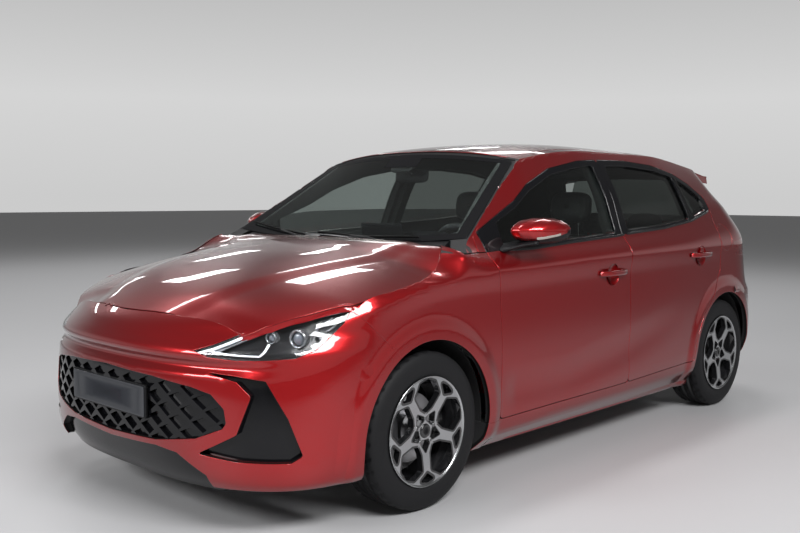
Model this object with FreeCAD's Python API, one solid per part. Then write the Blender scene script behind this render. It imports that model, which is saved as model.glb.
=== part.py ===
import FreeCAD, Part
import math
import os

V = FreeCAD.Vector

# Driving sizes of the car, in millimetres
LENGTH = 4113.0
HALF_WIDTH = 898.5
HEIGHT = 1502.0
WHEEL_BASE = 2570.0
FRONT_OVERHANG = 870.0
TRACK_HALF = 770.0
TYRE_RADIUS = 310.5
TYRE_WIDTH = 195.0
TYRE_HOLLOW = 34.0
RIM_RADIUS = 214.8
RIM_SEAT_RADIUS = 203.2
RIM_WIDTH = 176.0
ARCH_RADIUS = 359.0
ARCH_FLARE = 11.0
ARCH_FLARE_WIDTH = 66.0

# Thicknesses and clearances
SHUT_GAP = 5.5
SEAT_GAP = 0.3
DOOR_THICKNESS = 128.0
FRAME_THICKNESS = 52.0
GLASS_THICKNESS = 4.0
GLASS_INSET = 9.0
SCREEN_THICKNESS = 5.5
PANEL_THICKNESS = 24.0
BUMPER_THICKNESS = 26.0
ROOF_THICKNESS = 22.0
RING_DEPTH = 34.0
RING_LAP = 26.0
LAMP_DEPTH = 90.0
CUT_OVERRUN = 900.0

FRONT_AXLE_X = LENGTH / 2 - FRONT_OVERHANG
REAR_AXLE_X = FRONT_AXLE_X - WHEEL_BASE
AXLE_Z = TYRE_RADIUS

# The side of the body: lines running along the car, at stations behind the front axle
STATION_SHARES = (-0.17, -0.058, 0.0, 0.049, 0.088, 0.133, 0.166, 0.255, 0.342,
                  0.578, 0.812, 1.0, 1.162)
FLOOR_EDGE_SHARES = ((0.890, 0.1065), (0.890, 0.1065), (0.890, 0.1065), (0.890, 0.1065), (0.890, 0.1065),
                     (0.890, 0.1065), (0.890, 0.1065), (0.890, 0.108), (0.891, 0.110), (0.892, 0.110),
                     (0.890, 0.113), (0.885, 0.127), (0.880, 0.140))
SILL_EDGE_SHARES = ((0.950, 0.146), (0.959, 0.150), (0.959, 0.150), (0.959, 0.152), (0.959, 0.153),
                    (0.959, 0.154), (0.959, 0.155), (0.961, 0.159), (0.963, 0.163), (0.966, 0.169),
                    (0.966, 0.180), (0.962, 0.193), (0.957, 0.200))
LOWER_SHARES = ((0.976, 0.220), (0.979, 0.222), (0.979, 0.223), (0.979, 0.224), (0.978, 0.225),
                (0.977, 0.226), (0.977, 0.226), (0.978, 0.229), (0.979, 0.232), (0.984, 0.236),
                (0.984, 0.246), (0.984, 0.260), (0.978, 0.266))
MIDDLE_SHARES = ((0.983, 0.346), (0.984, 0.355), (0.984, 0.360), (0.983, 0.365), (0.982, 0.369),
                 (0.982, 0.371), (0.982, 0.373), (0.983, 0.376), (0.984, 0.379), (0.987, 0.383),
                 (0.988, 0.390), (0.988, 0.400), (0.983, 0.400))
UNDER_SHOULDER_SHARES = ((0.976, 0.460), (0.978, 0.513), (0.977, 0.533), (0.976, 0.541), (0.975, 0.543),
                         (0.975, 0.543), (0.975, 0.543), (0.976, 0.545), (0.977, 0.547), (0.979, 0.553),
                         (0.982, 0.558), (0.979, 0.561), (0.974, 0.559))
SHOULDER_SHARES = ((0.971, 0.504), (0.982, 0.560), (0.984, 0.583), (0.984, 0.590), (0.984, 0.593),
                   (0.984, 0.596), (0.984, 0.602), (0.985, 0.606), (0.986, 0.609), (0.988, 0.618),
                   (0.988, 0.621), (0.980, 0.622), (0.972, 0.622))
BELT_SHARES = ((0.955, 0.534), (0.964, 0.578), (0.958, 0.596), (0.935, 0.619), (0.945, 0.655),
               (0.925, 0.656), (0.915, 0.657), (0.918, 0.663), (0.920, 0.671), (0.919, 0.687),
               (0.904, 0.714), (0.874, 0.751), (0.857, 0.766))
GLASS_MID_SHARES = ((0.940, 0.555), (0.952, 0.586), (0.940, 0.605), (0.890, 0.642), (0.890, 0.671),
                    (0.890, 0.678), (0.882, 0.690), (0.850, 0.745), (0.828, 0.790), (0.835, 0.812),
                    (0.821, 0.822), (0.779, 0.829), (0.757, 0.826))
RAIL_SHARES = ((0.915, 0.566), (0.929, 0.593), (0.913, 0.613), (0.846, 0.656), (0.829, 0.679),
               (0.858, 0.6935), (0.832, 0.731), (0.758, 0.827), (0.699, 0.922), (0.692, 0.963),
               (0.679, 0.962), (0.659, 0.933), (0.640, 0.892))

# The nose seen from above at each height: reach of the curve, and how square it is
NOSE_CENTRE_SHARE = 0.3525
NOSE_HEIGHT_SHARES = (0.10, 0.158, 0.22, 0.30, 0.36, 0.44, 0.466, 0.493, 0.519, 0.546, 0.575)
NOSE_REACH_SHARES = (0.86, 0.94, 0.975, 0.995, 1.0, 0.985, 0.948, 0.90, 0.825, 0.72, 0.60)
NOSE_POWER_SHARES = (3.0, 2.9, 2.7, 2.5, 2.4, 2.3, 2.15, 2.0, 2.0, 2.0, 2.0)
UNDERCUT_DEPTH = 26.0
UNDERCUT_HEIGHT_SHARE = 0.412
UNDERCUT_REACH_SHARE = 0.026
UNDERCUT_FADE_SHARES = (0.34, 0.22)

# The tail in the same way
TAIL_CENTRE_SHARE = 0.3647
TAIL_HEIGHT_SHARES = (0.10, 0.17, 0.26, 0.37, 0.43, 0.47, 0.52, 0.58, 0.64, 0.70, 0.77, 0.83, 0.89, 0.95)
TAIL_REACH_SHARES = (0.82, 0.92, 0.985, 1.0, 0.975, 0.895, 0.855, 0.84, 0.81, 0.745, 0.65, 0.555, 0.46, 0.36)
TAIL_POWER_SHARES = (3.0, 3.1, 3.3, 3.3, 3.3, 3.1, 3.0, 2.9, 2.8, 2.7, 2.6, 2.6, 2.6, 2.6)

# Roof and screen
ROOF_STATION_SHARES = (0.30, 0.342, 0.42, 0.50, 0.63, 0.80, 0.96, 1.08, 1.18)
ROOF_CENTRE_SHARES = (0.947, 0.963, 0.980, 0.992, 1.0, 0.994, 0.974, 0.949, 0.920)
ROOF_CROWN_POWER = 2.4
SCREEN_FOOT_SHARES = (0.1193, 0.6658)
SCREEN_HEAD_SHARES = (0.3215, 0.952)
SCREEN_FOOT_CORNER_SHARES = (0.133, 0.861, 0.6925)
SCREEN_HEAD_CORNER_SHARES = (0.342, 0.681, 0.922)

# Bonnet: height at the middle and at the edge, and half width of the edge
BONNET_STATION_SHARES = (-0.32, -0.298, -0.262, -0.2376, -0.20, -0.144, -0.058, 0.0, 0.024, 0.049, 0.078, 0.12)
BONNET_MIDDLE_SHARES = (0.500, 0.519, 0.549, 0.566, 0.588, 0.614, 0.644, 0.660, 0.666, 0.672, 0.678, 0.684)
BONNET_EDGE_Z_SHARES = (0.470, 0.478, 0.489, 0.515, 0.537, 0.558, 0.586, 0.603, 0.614, 0.642, 0.6785, 0.688)
BONNET_EDGE_Y_SHARES = (0.50, 0.56, 0.668, 0.757, 0.835, 0.929, 0.952, 0.945, 0.924, 0.890, 0.829, 0.800)
BONNET_CROWN_POWER = 2.6
DOME_HEIGHT = 9.0
DOME_BLEND = 120.0
DOME_AT_SHARES = (-0.30, -0.20, -0.08, 0.03, 0.11)
DOME_HALF_SHARES = (0.30, 0.42, 0.54, 0.62, 0.66)

# Hollow swept along the lower doors, rising towards the back
SCALLOP_DEPTH = 11.0
SCALLOP_AT_SHARES = (0.16, 0.22, 0.34, 0.47, 0.62, 0.70, 0.80)
SCALLOP_HEIGHT_SHARES = (0.275, 0.262, 0.258, 0.285, 0.325, 0.352, 0.385)
SCALLOP_STRENGTH_SHARES = (0.25, 1.0, 1.0, 0.8, 0.55, 0.30, 0.0)
SCALLOP_REACH = 125.0


# Sizes of the panels that have no value above
BUMPER_TOP = 655.0
SILL_BOTTOM = 160.0
LAMP_GAP = 3.0
TAILGATE_THICKNESS = 40.0
SPOILER_DEPTH = 44.0
QUARTER_THICKNESS = 62.0
QUARTER_LAP = 20.0
LINER_RADIUS = 368.0
LINER_THICKNESS = 6.0
LINER_INNER_Y = 502.0
REAR_TUB_INNER_Y = 620.0
FLOOR_HALF_WIDTH = 700.0
FLOOR_THICKNESS = 22.0


def station(share):
    """Place along the car of a share of the wheelbase behind the front axle."""
    return FRONT_AXLE_X - share * WHEEL_BASE


def slopes(xs, ys):
    """Slopes of a curve through points that never overshoots them."""
    steps = [xs[i + 1] - xs[i] for i in range(len(xs) - 1)]
    rises = [(ys[i + 1] - ys[i]) / steps[i] for i in range(len(steps))]
    result = [rises[0]]
    for i in range(1, len(xs) - 1):
        if rises[i - 1] * rises[i] <= 0:
            result.append(0.0)
        else:
            near = 2 * steps[i] + steps[i - 1]
            far = steps[i] + 2 * steps[i - 1]
            result.append((near + far) / (near / rises[i - 1] + far / rises[i]))
    result.append(rises[-1])
    return result


def curve(xs, ys, x):
    """Value at x of a smooth curve through points, straight past its ends."""
    marks = slopes(xs, ys)
    if x <= xs[0]:
        return ys[0] + marks[0] * (x - xs[0])
    if x >= xs[-1]:
        return ys[-1] + marks[-1] * (x - xs[-1])
    i = 0
    while x > xs[i + 1]:
        i += 1
    step = xs[i + 1] - xs[i]
    t = (x - xs[i]) / step
    rise = ys[i + 1] - ys[i]
    turn_in = marks[i] * step - rise
    turn_out = rise - marks[i + 1] * step
    return ys[i] + rise * t + t * (1 - t) * (turn_in * (1 - t) + turn_out * t)


def smooth(t):
    """Smooth step from zero to one."""
    t = min(1.0, max(0.0, t))
    return t * t * (3 - 2 * t)


TUMBLE_SHARE = 0.5
SIDE_LINES = (FLOOR_EDGE_SHARES, SILL_EDGE_SHARES, LOWER_SHARES, MIDDLE_SHARES,
              UNDER_SHOULDER_SHARES, SHOULDER_SHARES, BELT_SHARES, GLASS_MID_SHARES, RAIL_SHARES)
section_store = {}


def section(x):
    """Heights and half widths of the body side lines at x."""
    key = round((FRONT_AXLE_X - x) / WHEEL_BASE, 6)
    if key not in section_store:
        at = min(max(key, STATION_SHARES[0]), STATION_SHARES[-1])
        widths = [curve(STATION_SHARES, [p[0] for p in line], at) * HALF_WIDTH for line in SIDE_LINES]
        heights = [curve(STATION_SHARES, [p[1] for p in line], at) * HEIGHT for line in SIDE_LINES]
        section_store[key] = (heights, widths)
    return section_store[key]


def flare(x, z):
    """How far the swollen ring round a wheel arch stands out."""
    most = 0.0
    for axle in (FRONT_AXLE_X, REAR_AXLE_X):
        reach = math.hypot(x - axle, z - AXLE_Z) - ARCH_RADIUS
        most = max(most, 1 - smooth((reach - ARCH_FLARE_WIDTH / 2) / ARCH_FLARE_WIDTH))
    return ARCH_FLARE * most


def scallop(x, z):
    """How far the lower doors are hollowed."""
    share = (FRONT_AXLE_X - x) / WHEEL_BASE
    ends = (SCALLOP_AT_SHARES[0], SCALLOP_AT_SHARES[-1])
    if share <= ends[0] or share >= ends[1]:
        return 0.0
    start = smooth((share - ends[0]) / (SCALLOP_AT_SHARES[1] - ends[0]))
    strength = curve(SCALLOP_AT_SHARES, SCALLOP_STRENGTH_SHARES, share) * start
    middle = curve(SCALLOP_AT_SHARES, SCALLOP_HEIGHT_SHARES, share) * HEIGHT
    return SCALLOP_DEPTH * strength * (1 - smooth(abs(z - middle) / SCALLOP_REACH))


def side_y(x, z):
    """Half width of the body side at x and z, before the ends curve in."""
    heights, widths = section(x)
    above = max(0.0, z - heights[-1])
    inside = min(max(z, heights[0]), heights[-1])
    return curve(heights, widths, inside) - TUMBLE_SHARE * above + flare(x, z) - scallop(x, z)


NOSE_CENTRE_X = NOSE_CENTRE_SHARE * LENGTH
TAIL_CENTRE_X = -TAIL_CENTRE_SHARE * LENGTH
QUARTER_START_X = TAIL_CENTRE_X + QUARTER_LAP


def nose_point(run, z, depth=0.0):
    """Point of the nose skin: run is 0 at the side and 1 at the middle, less than 0 along the side."""
    share = curve(NOSE_HEIGHT_SHARES, NOSE_REACH_SHARES, z / HEIGHT)
    power = 2 / curve(NOSE_HEIGHT_SHARES, NOSE_POWER_SHARES, z / HEIGHT)
    reach = (LENGTH / 2 - NOSE_CENTRE_X) * share - depth
    if run < 0:
        x = NOSE_CENTRE_X + run * reach
        return V(x, side_y(x, z) - depth, z)
    turn = run * math.pi / 2
    near = 1 - smooth(abs(z / HEIGHT - UNDERCUT_HEIGHT_SHARE) / UNDERCUT_REACH_SHARE)
    fade = smooth((run - UNDERCUT_FADE_SHARES[0]) / UNDERCUT_FADE_SHARES[1])
    reach -= UNDERCUT_DEPTH * near * fade
    x = NOSE_CENTRE_X + reach * math.sin(turn) ** power
    return V(x, (side_y(x, z) - depth) * abs(math.cos(turn)) ** power, z)


def tail_point(run, z, depth=0.0):
    """Point of the tail skin, with run as on the nose."""
    share = curve(TAIL_HEIGHT_SHARES, TAIL_REACH_SHARES, z / HEIGHT)
    power = 2 / curve(TAIL_HEIGHT_SHARES, TAIL_POWER_SHARES, z / HEIGHT)
    reach = (LENGTH / 2 + TAIL_CENTRE_X) * share - depth
    if run < 0:
        x = TAIL_CENTRE_X - run * reach
        return V(x, side_y(x, z) - depth, z)
    turn = run * math.pi / 2
    x = TAIL_CENTRE_X - reach * math.sin(turn) ** power
    return V(x, (side_y(x, z) - depth) * abs(math.cos(turn)) ** power, z)


def rail(x):
    """Height and half width of the roof rail at x."""
    heights, widths = section(x)
    return heights[-1], widths[-1]


def roof_z(x, y):
    """Height of the roof."""
    share = (FRONT_AXLE_X - x) / WHEEL_BASE
    middle = curve(ROOF_STATION_SHARES, ROOF_CENTRE_SHARES, share) * HEIGHT
    edge, half = rail(x)
    return middle - (middle - edge) * abs(y / half) ** ROOF_CROWN_POWER


def screen_point(across, up, depth=0.0):
    """Point of the windscreen: across is -1 to 1, up is 0 at its foot and 1 at its head."""
    foot_x = station(SCREEN_FOOT_SHARES[0])
    head_x = station(SCREEN_HEAD_SHARES[0])
    foot_z = SCREEN_FOOT_SHARES[1] * HEIGHT
    head_z = SCREEN_HEAD_SHARES[1] * HEIGHT
    foot, head = SCREEN_FOOT_CORNER_SHARES, SCREEN_HEAD_CORNER_SHARES
    mid_x = foot_x + up * (head_x - foot_x)
    mid_z = foot_z + up * (head_z - foot_z)
    edge_x = station(foot[0] + up * (head[0] - foot[0]))
    edge_y = (foot[1] + up * (head[1] - foot[1])) * HALF_WIDTH
    edge_z = (foot[2] + up * (head[2] - foot[2])) * HEIGHT
    bow = abs(across) ** 2
    slope = math.hypot(head_z - foot_z, foot_x - head_x)
    out = V((head_z - foot_z) / slope, 0, (foot_x - head_x) / slope)
    point = V(mid_x + bow * (edge_x - mid_x), across * edge_y, mid_z + bow * (edge_z - mid_z))
    return point - out * depth


def bonnet_edge(x):
    share = (FRONT_AXLE_X - x) / WHEEL_BASE
    return (curve(BONNET_STATION_SHARES, BONNET_EDGE_Y_SHARES, share) * HALF_WIDTH,
            curve(BONNET_STATION_SHARES, BONNET_EDGE_Z_SHARES, share) * HEIGHT)


def bonnet_z(x, y):
    """Height of the bonnet skin."""
    share = (FRONT_AXLE_X - x) / WHEEL_BASE
    middle = curve(BONNET_STATION_SHARES, BONNET_MIDDLE_SHARES, share) * HEIGHT
    half, edge = bonnet_edge(x)
    dome = curve(DOME_AT_SHARES, DOME_HALF_SHARES, share) * HALF_WIDTH
    rise = DOME_HEIGHT * (1 - smooth((abs(y) - dome) / DOME_BLEND + 1 / 2))
    return middle - (middle - edge) * abs(y / half) ** BONNET_CROWN_POWER + rise - DOME_HEIGHT


# Making solids

def spread(start, end, count):
    return [start + (end - start) * i / (count - 1) for i in range(count)]


def skin(grid):
    """Smooth face through a grid of points."""
    surface = Part.BSplineSurface()
    surface.interpolate(grid)
    return surface.toShape()


def slab(outer, inner):
    """Solid between two grids of points with straight walls round its edges."""
    top = skin(outer)
    bottom = skin(inner)
    faces = [top, bottom]
    top_edges = top.Edges
    bottom_edges = bottom.Edges
    for a, b in zip(top_edges, bottom_edges):
        faces.append(Part.makeRuledSurface(a, b))
    shell = Part.Shell(faces)
    shell.sewShape()
    solid = Part.Solid(Part.Shell(shell.Faces))
    if solid.Volume < 0:
        solid.reverse()
    return solid


def grid_of(form, us, vs):
    return [[form(u, v) for v in vs] for u in us]


def closed_face(points):
    """Flat face inside a closed outline of straight runs."""
    return Part.Face(Part.makePolygon(points + [points[0]]))


def rounded_face(points, radius):
    """Flat face whose outline corners are rounded."""
    count = len(points)
    edges = []
    ends = []
    for i in range(count):
        before, here, after = points[i - 1], points[i], points[(i + 1) % count]
        back = before - here
        ahead = after - here
        angle = back.getAngle(ahead)
        trim = radius / math.tan(angle / 2) if angle > 1e-6 else 0
        trim = min(trim, back.Length * 0.48, ahead.Length * 0.48)
        back.normalize()
        ahead.normalize()
        bow = back + ahead
        if bow.Length < 1e-4:
            ends.append((here, here, None))
            continue
        bow.normalize()
        round_size = trim * math.tan(angle / 2)
        middle = here + bow * (round_size / math.sin(angle / 2) - round_size)
        ends.append((here + back * trim, here + ahead * trim, middle))
    for i in range(count):
        first, second, middle = ends[i]
        if middle is not None:
            edges.append(Part.Arc(first, middle, second).toShape())
        start = ends[i][1]
        stop = ends[(i + 1) % count][0]
        if (stop - start).Length > SEAT_GAP / 10:
            edges.append(Part.makeLine(start, stop))
    return Part.Face(Part.Wire(edges))


def along_y(points, low, high, radius=0.0):
    """Prism across the car of an outline in x and z."""
    corners = [V(x, low, z) for x, z in points]
    face = rounded_face(corners, radius) if radius else closed_face(corners)
    return face.extrude(V(0, high - low, 0))


def along_z(points, low, high, radius=0.0):
    """Upright prism of an outline in x and y."""
    corners = [V(x, y, low) for x, y in points]
    face = rounded_face(corners, radius) if radius else closed_face(corners)
    return face.extrude(V(0, 0, high - low))


def along_x(points, low, high, radius=0.0):
    """Prism along the car of an outline in y and z."""
    corners = [V(low, y, z) for y, z in points]
    face = rounded_face(corners, radius) if radius else closed_face(corners)
    return face.extrude(V(high - low, 0, 0))


def along_corner(points, start, reach, side=1.0, radius=0.0):
    """Prism along the line that leaves a front corner at 45 degrees; outline in x - y and z."""
    corners = [V(start + s / 2, side * (start - s / 2), z) for s, z in points]
    face = rounded_face(corners, radius) if radius else closed_face(corners)
    return face.extrude(V(reach, side * reach, 0))


def mirrored(shape):
    return shape.mirror(V(0, 0, 0), V(0, 1, 0))


def both(shape):
    """The shape and its mirror image on the other side of the car."""
    return Part.makeCompound([shape, mirrored(shape)])


def fused(shapes):
    result = shapes[0].multiFuse(shapes[1:]) if len(shapes) > 1 else shapes[0]
    return result.removeSplitter()


def block(x0, x1, y0, y1, z0, z1):
    return Part.makeBox(x1 - x0, y1 - y0, z1 - z0, V(x0, y0, z0))


def rod(start, end, radius):
    return Part.makeCylinder(radius, (end - start).Length, start, end - start)


def grown(points, amount):
    """Outline moved outward by an amount, for outlines without sharp turns back."""
    area = sum(points[i - 1][0] * points[i][1] - points[i][0] * points[i - 1][1] for i in range(len(points)))
    sense = 1.0 if area > 0 else -1.0
    count = len(points)
    result = []
    for i in range(count):
        (ax, ay), (bx, by), (cx, cy) = points[i - 1], points[i], points[(i + 1) % count]
        first = math.hypot(bx - ax, by - ay)
        second = math.hypot(cx - bx, cy - by)
        n1 = (sense * (by - ay) / first, -sense * (bx - ax) / first)
        n2 = (sense * (cy - by) / second, -sense * (cx - bx) / second)
        lean = 1 + n1[0] * n2[0] + n1[1] * n2[1]
        lean = max(lean, 0.5)
        result.append((bx + amount * (n1[0] + n2[0]) / lean, by + amount * (n1[1] + n2[1]) / lean))
    return result


# Outlines as shares: behind the front axle, and of the height
FRONT_DOOR_SHARES = ((0.173, 0.190), (0.173, 0.413), (0.1695, 0.546), (0.163, 0.6025), (0.1575, 0.656),
                     (0.157, 0.708), (0.279, 0.793), (0.333, 0.845), (0.415, 0.8955), (0.520, 0.9255),
                     (0.590, 0.933), (0.585, 0.799), (0.578, 0.688), (0.577, 0.400), (0.577, 0.1965))
REAR_DOOR_SHARES = ((0.579, 0.1965), (0.579, 0.400), (0.5805, 0.688), (0.5875, 0.799), (0.5925, 0.933),
                    (0.703, 0.935), (0.8165, 0.924), (0.909, 0.8955), (0.9675, 0.859), (1.0065, 0.809),
                    (0.9965, 0.7655), (0.979, 0.706), (0.972, 0.599), (0.972, 0.533), (0.956, 0.495),
                    (0.9225, 0.425), (0.884, 0.373), (0.861, 0.306), (0.851, 0.246), (0.848, 0.2085))
FRONT_WINDOW_SHARES = ((0.205, 0.667), (0.2105, 0.7355), (0.275, 0.777), (0.333, 0.829), (0.415, 0.880),
                       (0.520, 0.910), (0.567, 0.916), (0.5605, 0.690), (0.40, 0.678), (0.28, 0.667))
REAR_WINDOW_SHARES = ((0.604, 0.698), (0.6105, 0.916), (0.703, 0.919), (0.8165, 0.9075), (0.889, 0.887),
                      (0.882, 0.729), (0.75, 0.709))
QUARTER_WINDOW_SHARES = ((0.902, 0.734), (0.907, 0.879), (0.955, 0.850), (0.989, 0.808), (0.975, 0.760))
FENDER_SHARES = ((0.171, 0.188), (0.171, 0.413), (0.1673, 0.546), (0.1609, 0.6025), (0.1552, 0.6535),
                 (0.088, 0.6535), (0.072, 0.700), (-0.155, 0.700), (-0.155, 0.545), (-0.145, 0.535),
                 (-0.0967, 0.4614), (-0.06, 0.40), (0.0, 0.188))
BODY_SHARES = ((0.11, 0.105), (0.11, 0.186), (0.1735, 0.186), (0.1735, 0.413), (0.1700, 0.546), (0.1636, 0.6025),
               (0.1580, 0.6575), (0.0865, 0.6575), (0.07, 0.72), (0.07, 1.02), (1.05, 1.02), (1.05, 0.105))
BONNET_PLAN_SHARES = ((-0.2982, 0.0), (-0.2965, 0.10), (-0.2905, 0.25), (-0.2835, 0.367), (-0.2725, 0.50),
                      (-0.2612, 0.668), (-0.2376, 0.757), (-0.1998, 0.835), (-0.157, 0.9015), (-0.1442, 0.9293),
                      (-0.107, 0.946), (-0.058, 0.9516), (-0.0134, 0.946), (0.0243, 0.9237), (0.049, 0.8904),
                      (0.0715, 0.850), (0.078, 0.829), (0.088, 0.668), (0.102, 0.334), (0.1095, 0.0))
LAMP_SHARES = ((0.589, 0.4475), (0.549, 0.4607), (0.4895, 0.4887), (0.4346, 0.5146), (0.3697, 0.5366),
               (0.3035, 0.5526), (0.2848, 0.5553), (0.282, 0.547), (0.2977, 0.512), (0.325, 0.4807),
               (0.3506, 0.4541), (0.388, 0.4374), (0.444, 0.4334), (0.5015, 0.4314), (0.5584, 0.4361))
GRILLE_SHARES = ((0.0, 0.387), (0.33, 0.379), (0.53, 0.365), (0.615, 0.352), (0.668, 0.320), (0.679, 0.286),
                 (0.665, 0.272), (0.55, 0.243), (0.33, 0.222), (0.0, 0.214))
INTAKE_SHARES = ((0.4428, 0.387), (0.50, 0.396), (0.575, 0.402), (0.50, 0.382), (0.472, 0.35), (0.50, 0.262),
                 (0.555, 0.226), (0.582, 0.208), (0.50, 0.198), (0.395, 0.197), (0.372, 0.213), (0.40, 0.30))
CHIN_SHARES = ((0.0, 0.100), (0.0, 0.201), (0.33, 0.210), (0.45, 0.203), (0.585, 0.158), (0.60, 0.100))
TAILGATE_SHARES = ((0.0, 0.427), (0.52, 0.427), (0.578, 0.47), (0.60, 0.56), (0.63, 0.67), (0.645, 0.735),
                   (0.60, 0.88), (0.56, 1.02), (0.0, 1.02))
REAR_GLASS_SHARES = ((0.0, 0.702), (0.545, 0.708), (0.56, 0.74), (0.50, 0.868), (0.47, 0.885), (0.0, 0.893))
TAIL_LAMP_SHARES = ((0.61, 0.572), (0.64, 0.645), (0.86, 0.655), (1.02, 0.64), (1.02, 0.59), (0.80, 0.565))
ROOF_REAR_SHARE = 1.0685
ROOF_SIDE_SHARE = 0.91


def side_outline(shares):
    """Outline on the side of the car, from shares of wheelbase and height."""
    return [(station(a), b * HEIGHT) for a, b in shares]


def plan_outline(shares):
    """Outline seen from above, from shares of wheelbase and half width, on both sides."""
    left = [(station(a), b * HALF_WIDTH) for a, b in shares]
    right = [(x, -y) for x, y in reversed(left) if y > 0]
    return left + right


def end_outline(shares):
    """Outline seen from the front or back, on both sides."""
    left = [(a * HALF_WIDTH, b * HEIGHT) for a, b in shares]
    right = [(-y, z) for y, z in reversed(left) if y > 0]
    return left + right


def corner_outline(shares):
    """Outline round a front corner, from shares of the wheelbase and height."""
    return [(a * WHEEL_BASE, b * HEIGHT) for a, b in shares]


def side_depth(x, z, full, frame):
    """Thickness of the side: full below the windows, thin round them."""
    heights, widths = section(x)
    belt = heights[6]
    return full + (frame - full) * smooth((z - belt + full / 2) / (full / 2))


SIDE_COLUMNS = 64
SIDE_ROWS = 40
SIDE_FRONT_SHARE = -0.11
SIDE_REAR_SHARE = 1.055


def side_slab(x0, x1, z0, z1, outer, inner):
    """Slab that follows the side skin; outer and inner give the depths below the skin.

    Every slab takes its points from one common net, so that neighbours stay parallel."""
    xs = spread(station(SIDE_FRONT_SHARE), station(SIDE_REAR_SHARE), SIDE_COLUMNS)
    zs = spread(SILL_BOTTOM, HEIGHT, SIDE_ROWS)
    first = max(i for i, x in enumerate(xs) if x >= max(x0, x1) or i == 0)
    last = min(i for i, x in enumerate(xs) if x <= min(x0, x1) or i == SIDE_COLUMNS - 1)
    low = max(i for i, z in enumerate(zs) if z <= min(z0, z1) or i == 0)
    high = min(i for i, z in enumerate(zs) if z >= max(z0, z1) or i == SIDE_ROWS - 1)
    first = max(0, first - 3)
    low = max(0, low - 3)
    xs = xs[first:last + 4]
    zs = zs[low:high + 4]
    top = grid_of(lambda x, z: V(x, side_y(x, z) - outer(x, z), z), xs, zs)
    back = grid_of(lambda x, z: V(x, side_y(x, z) - inner(x, z), z), xs, zs)
    return slab(top, back)


def none(x, z):
    return 0.0


def wall_depth(x, z):
    return side_depth(x, z, DOOR_THICKNESS, FRAME_THICKNESS)


def arch_cut(axle_x, radius):
    return rod(V(axle_x, -HALF_WIDTH - CUT_OVERRUN, AXLE_Z), V(axle_x, HALF_WIDTH + CUT_OVERRUN, AXLE_Z), radius)


def above_screen(depth=0.0):
    """Everything in front of and above the windscreen."""
    across = spread(-1.25, 1.25, 11)
    up = spread(-0.35, 1.12, 8)
    low = grid_of(lambda a, u: screen_point(a, u, depth), across, up)
    high = grid_of(lambda a, u: screen_point(a, u, depth - CUT_OVERRUN), across, up)
    return slab(low, high)


def roof_slab(bottom, top):
    """Slab that follows the roof, between two depths below its skin."""
    xs = spread(station(0.26), station(1.22), 26)
    ys = spread(-HALF_WIDTH, HALF_WIDTH, 21)
    low = grid_of(lambda x, y: V(x, y, roof_z(x, y) - bottom), xs, ys)
    high = grid_of(lambda x, y: V(x, y, roof_z(x, y) - top), xs, ys)
    return slab(low, high)


def above_roof(depth=0.0):
    return roof_slab(depth, depth - CUT_OVERRUN)


def drum_slab(point, runs, zs, depth, start=0.0):
    """Slab that follows the nose or tail round both corners."""
    def ring(at, z, deep):
        return point(at, z, deep)
    left = [[ring(r, z, start) for z in zs] for r in runs]
    right = [[V(p.x, -p.y, p.z) for p in row] for row in reversed(left[:-1])]
    inner_left = [[ring(r, z, start + depth) for z in zs] for r in runs]
    inner_right = [[V(p.x, -p.y, p.z) for p in row] for row in reversed(inner_left[:-1])]
    return slab(left + right, inner_left + inner_right)


def half_drum_slab(point, runs, zs, depth, start=0.0):
    """The same on the left side only."""
    outer = [[point(r, z, start) for z in zs] for r in runs]
    inner = [[point(r, z, start + depth) for z in zs] for r in runs]
    return slab(outer, inner)


def door_solid(shares, windows):
    outline = side_outline(shares)
    xs = [p[0] for p in outline]
    zs = [p[1] for p in outline]
    raw = side_slab(max(xs) + SHUT_GAP, min(xs) - SHUT_GAP, min(zs) - SHUT_GAP, max(zs) + SHUT_GAP,
                    none, wall_depth)
    door = raw.common(along_y(outline, 0, HALF_WIDTH + CUT_OVERRUN, PANEL_THICKNESS))
    for window in windows:
        door = door.cut(along_y(side_outline(window), 0, HALF_WIDTH + CUT_OVERRUN, PANEL_THICKNESS))
    return door


def handle_dish(shares):
    x = station(shares[0])
    z = shares[1] * HEIGHT
    return Part.makeSphere(DISH_BALL_RADIUS, V(x, side_y(x, z) + DISH_BALL_RISE, z))


def front_door_slant():
    """What is cut from the front door's rear edge, more with depth."""
    edge = FRONT_DOOR_SHARES[-1:-6:-1]
    heights = [b * HEIGHT for a, b in edge]
    places = [station(a) for a, b in edge]
    depths = spread(-DOOR_FLANGE, DOOR_THICKNESS * 1.1, 4)
    zs = spread(heights[0] - PANEL_THICKNESS, heights[-1] + PANEL_THICKNESS, 24)
    face = []
    behind = []
    for depth in depths:
        row = []
        for z in zs:
            x = curve(heights, places, z)
            row.append(V(x + DOOR_SLANT_SHARE * (depth - DOOR_FLANGE), side_y(x, z) - depth, z))
        face.append(row)
        behind.append([V(p.x - DOOR_THICKNESS, p.y, p.z) for p in row])
    return slab(face, behind)


def window_pane(shares):
    outline = grown(side_outline(shares), -SEAT_GAP)
    xs = [p[0] for p in outline]
    zs = [p[1] for p in outline]
    raw = side_slab(max(xs) + SHUT_GAP, min(xs) - SHUT_GAP, min(zs) - SHUT_GAP, max(zs) + SHUT_GAP,
                    lambda x, z: GLASS_INSET, lambda x, z: GLASS_INSET + GLASS_THICKNESS)
    return raw.common(along_y(outline, 0, HALF_WIDTH + CUT_OVERRUN, PANEL_THICKNESS))


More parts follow.
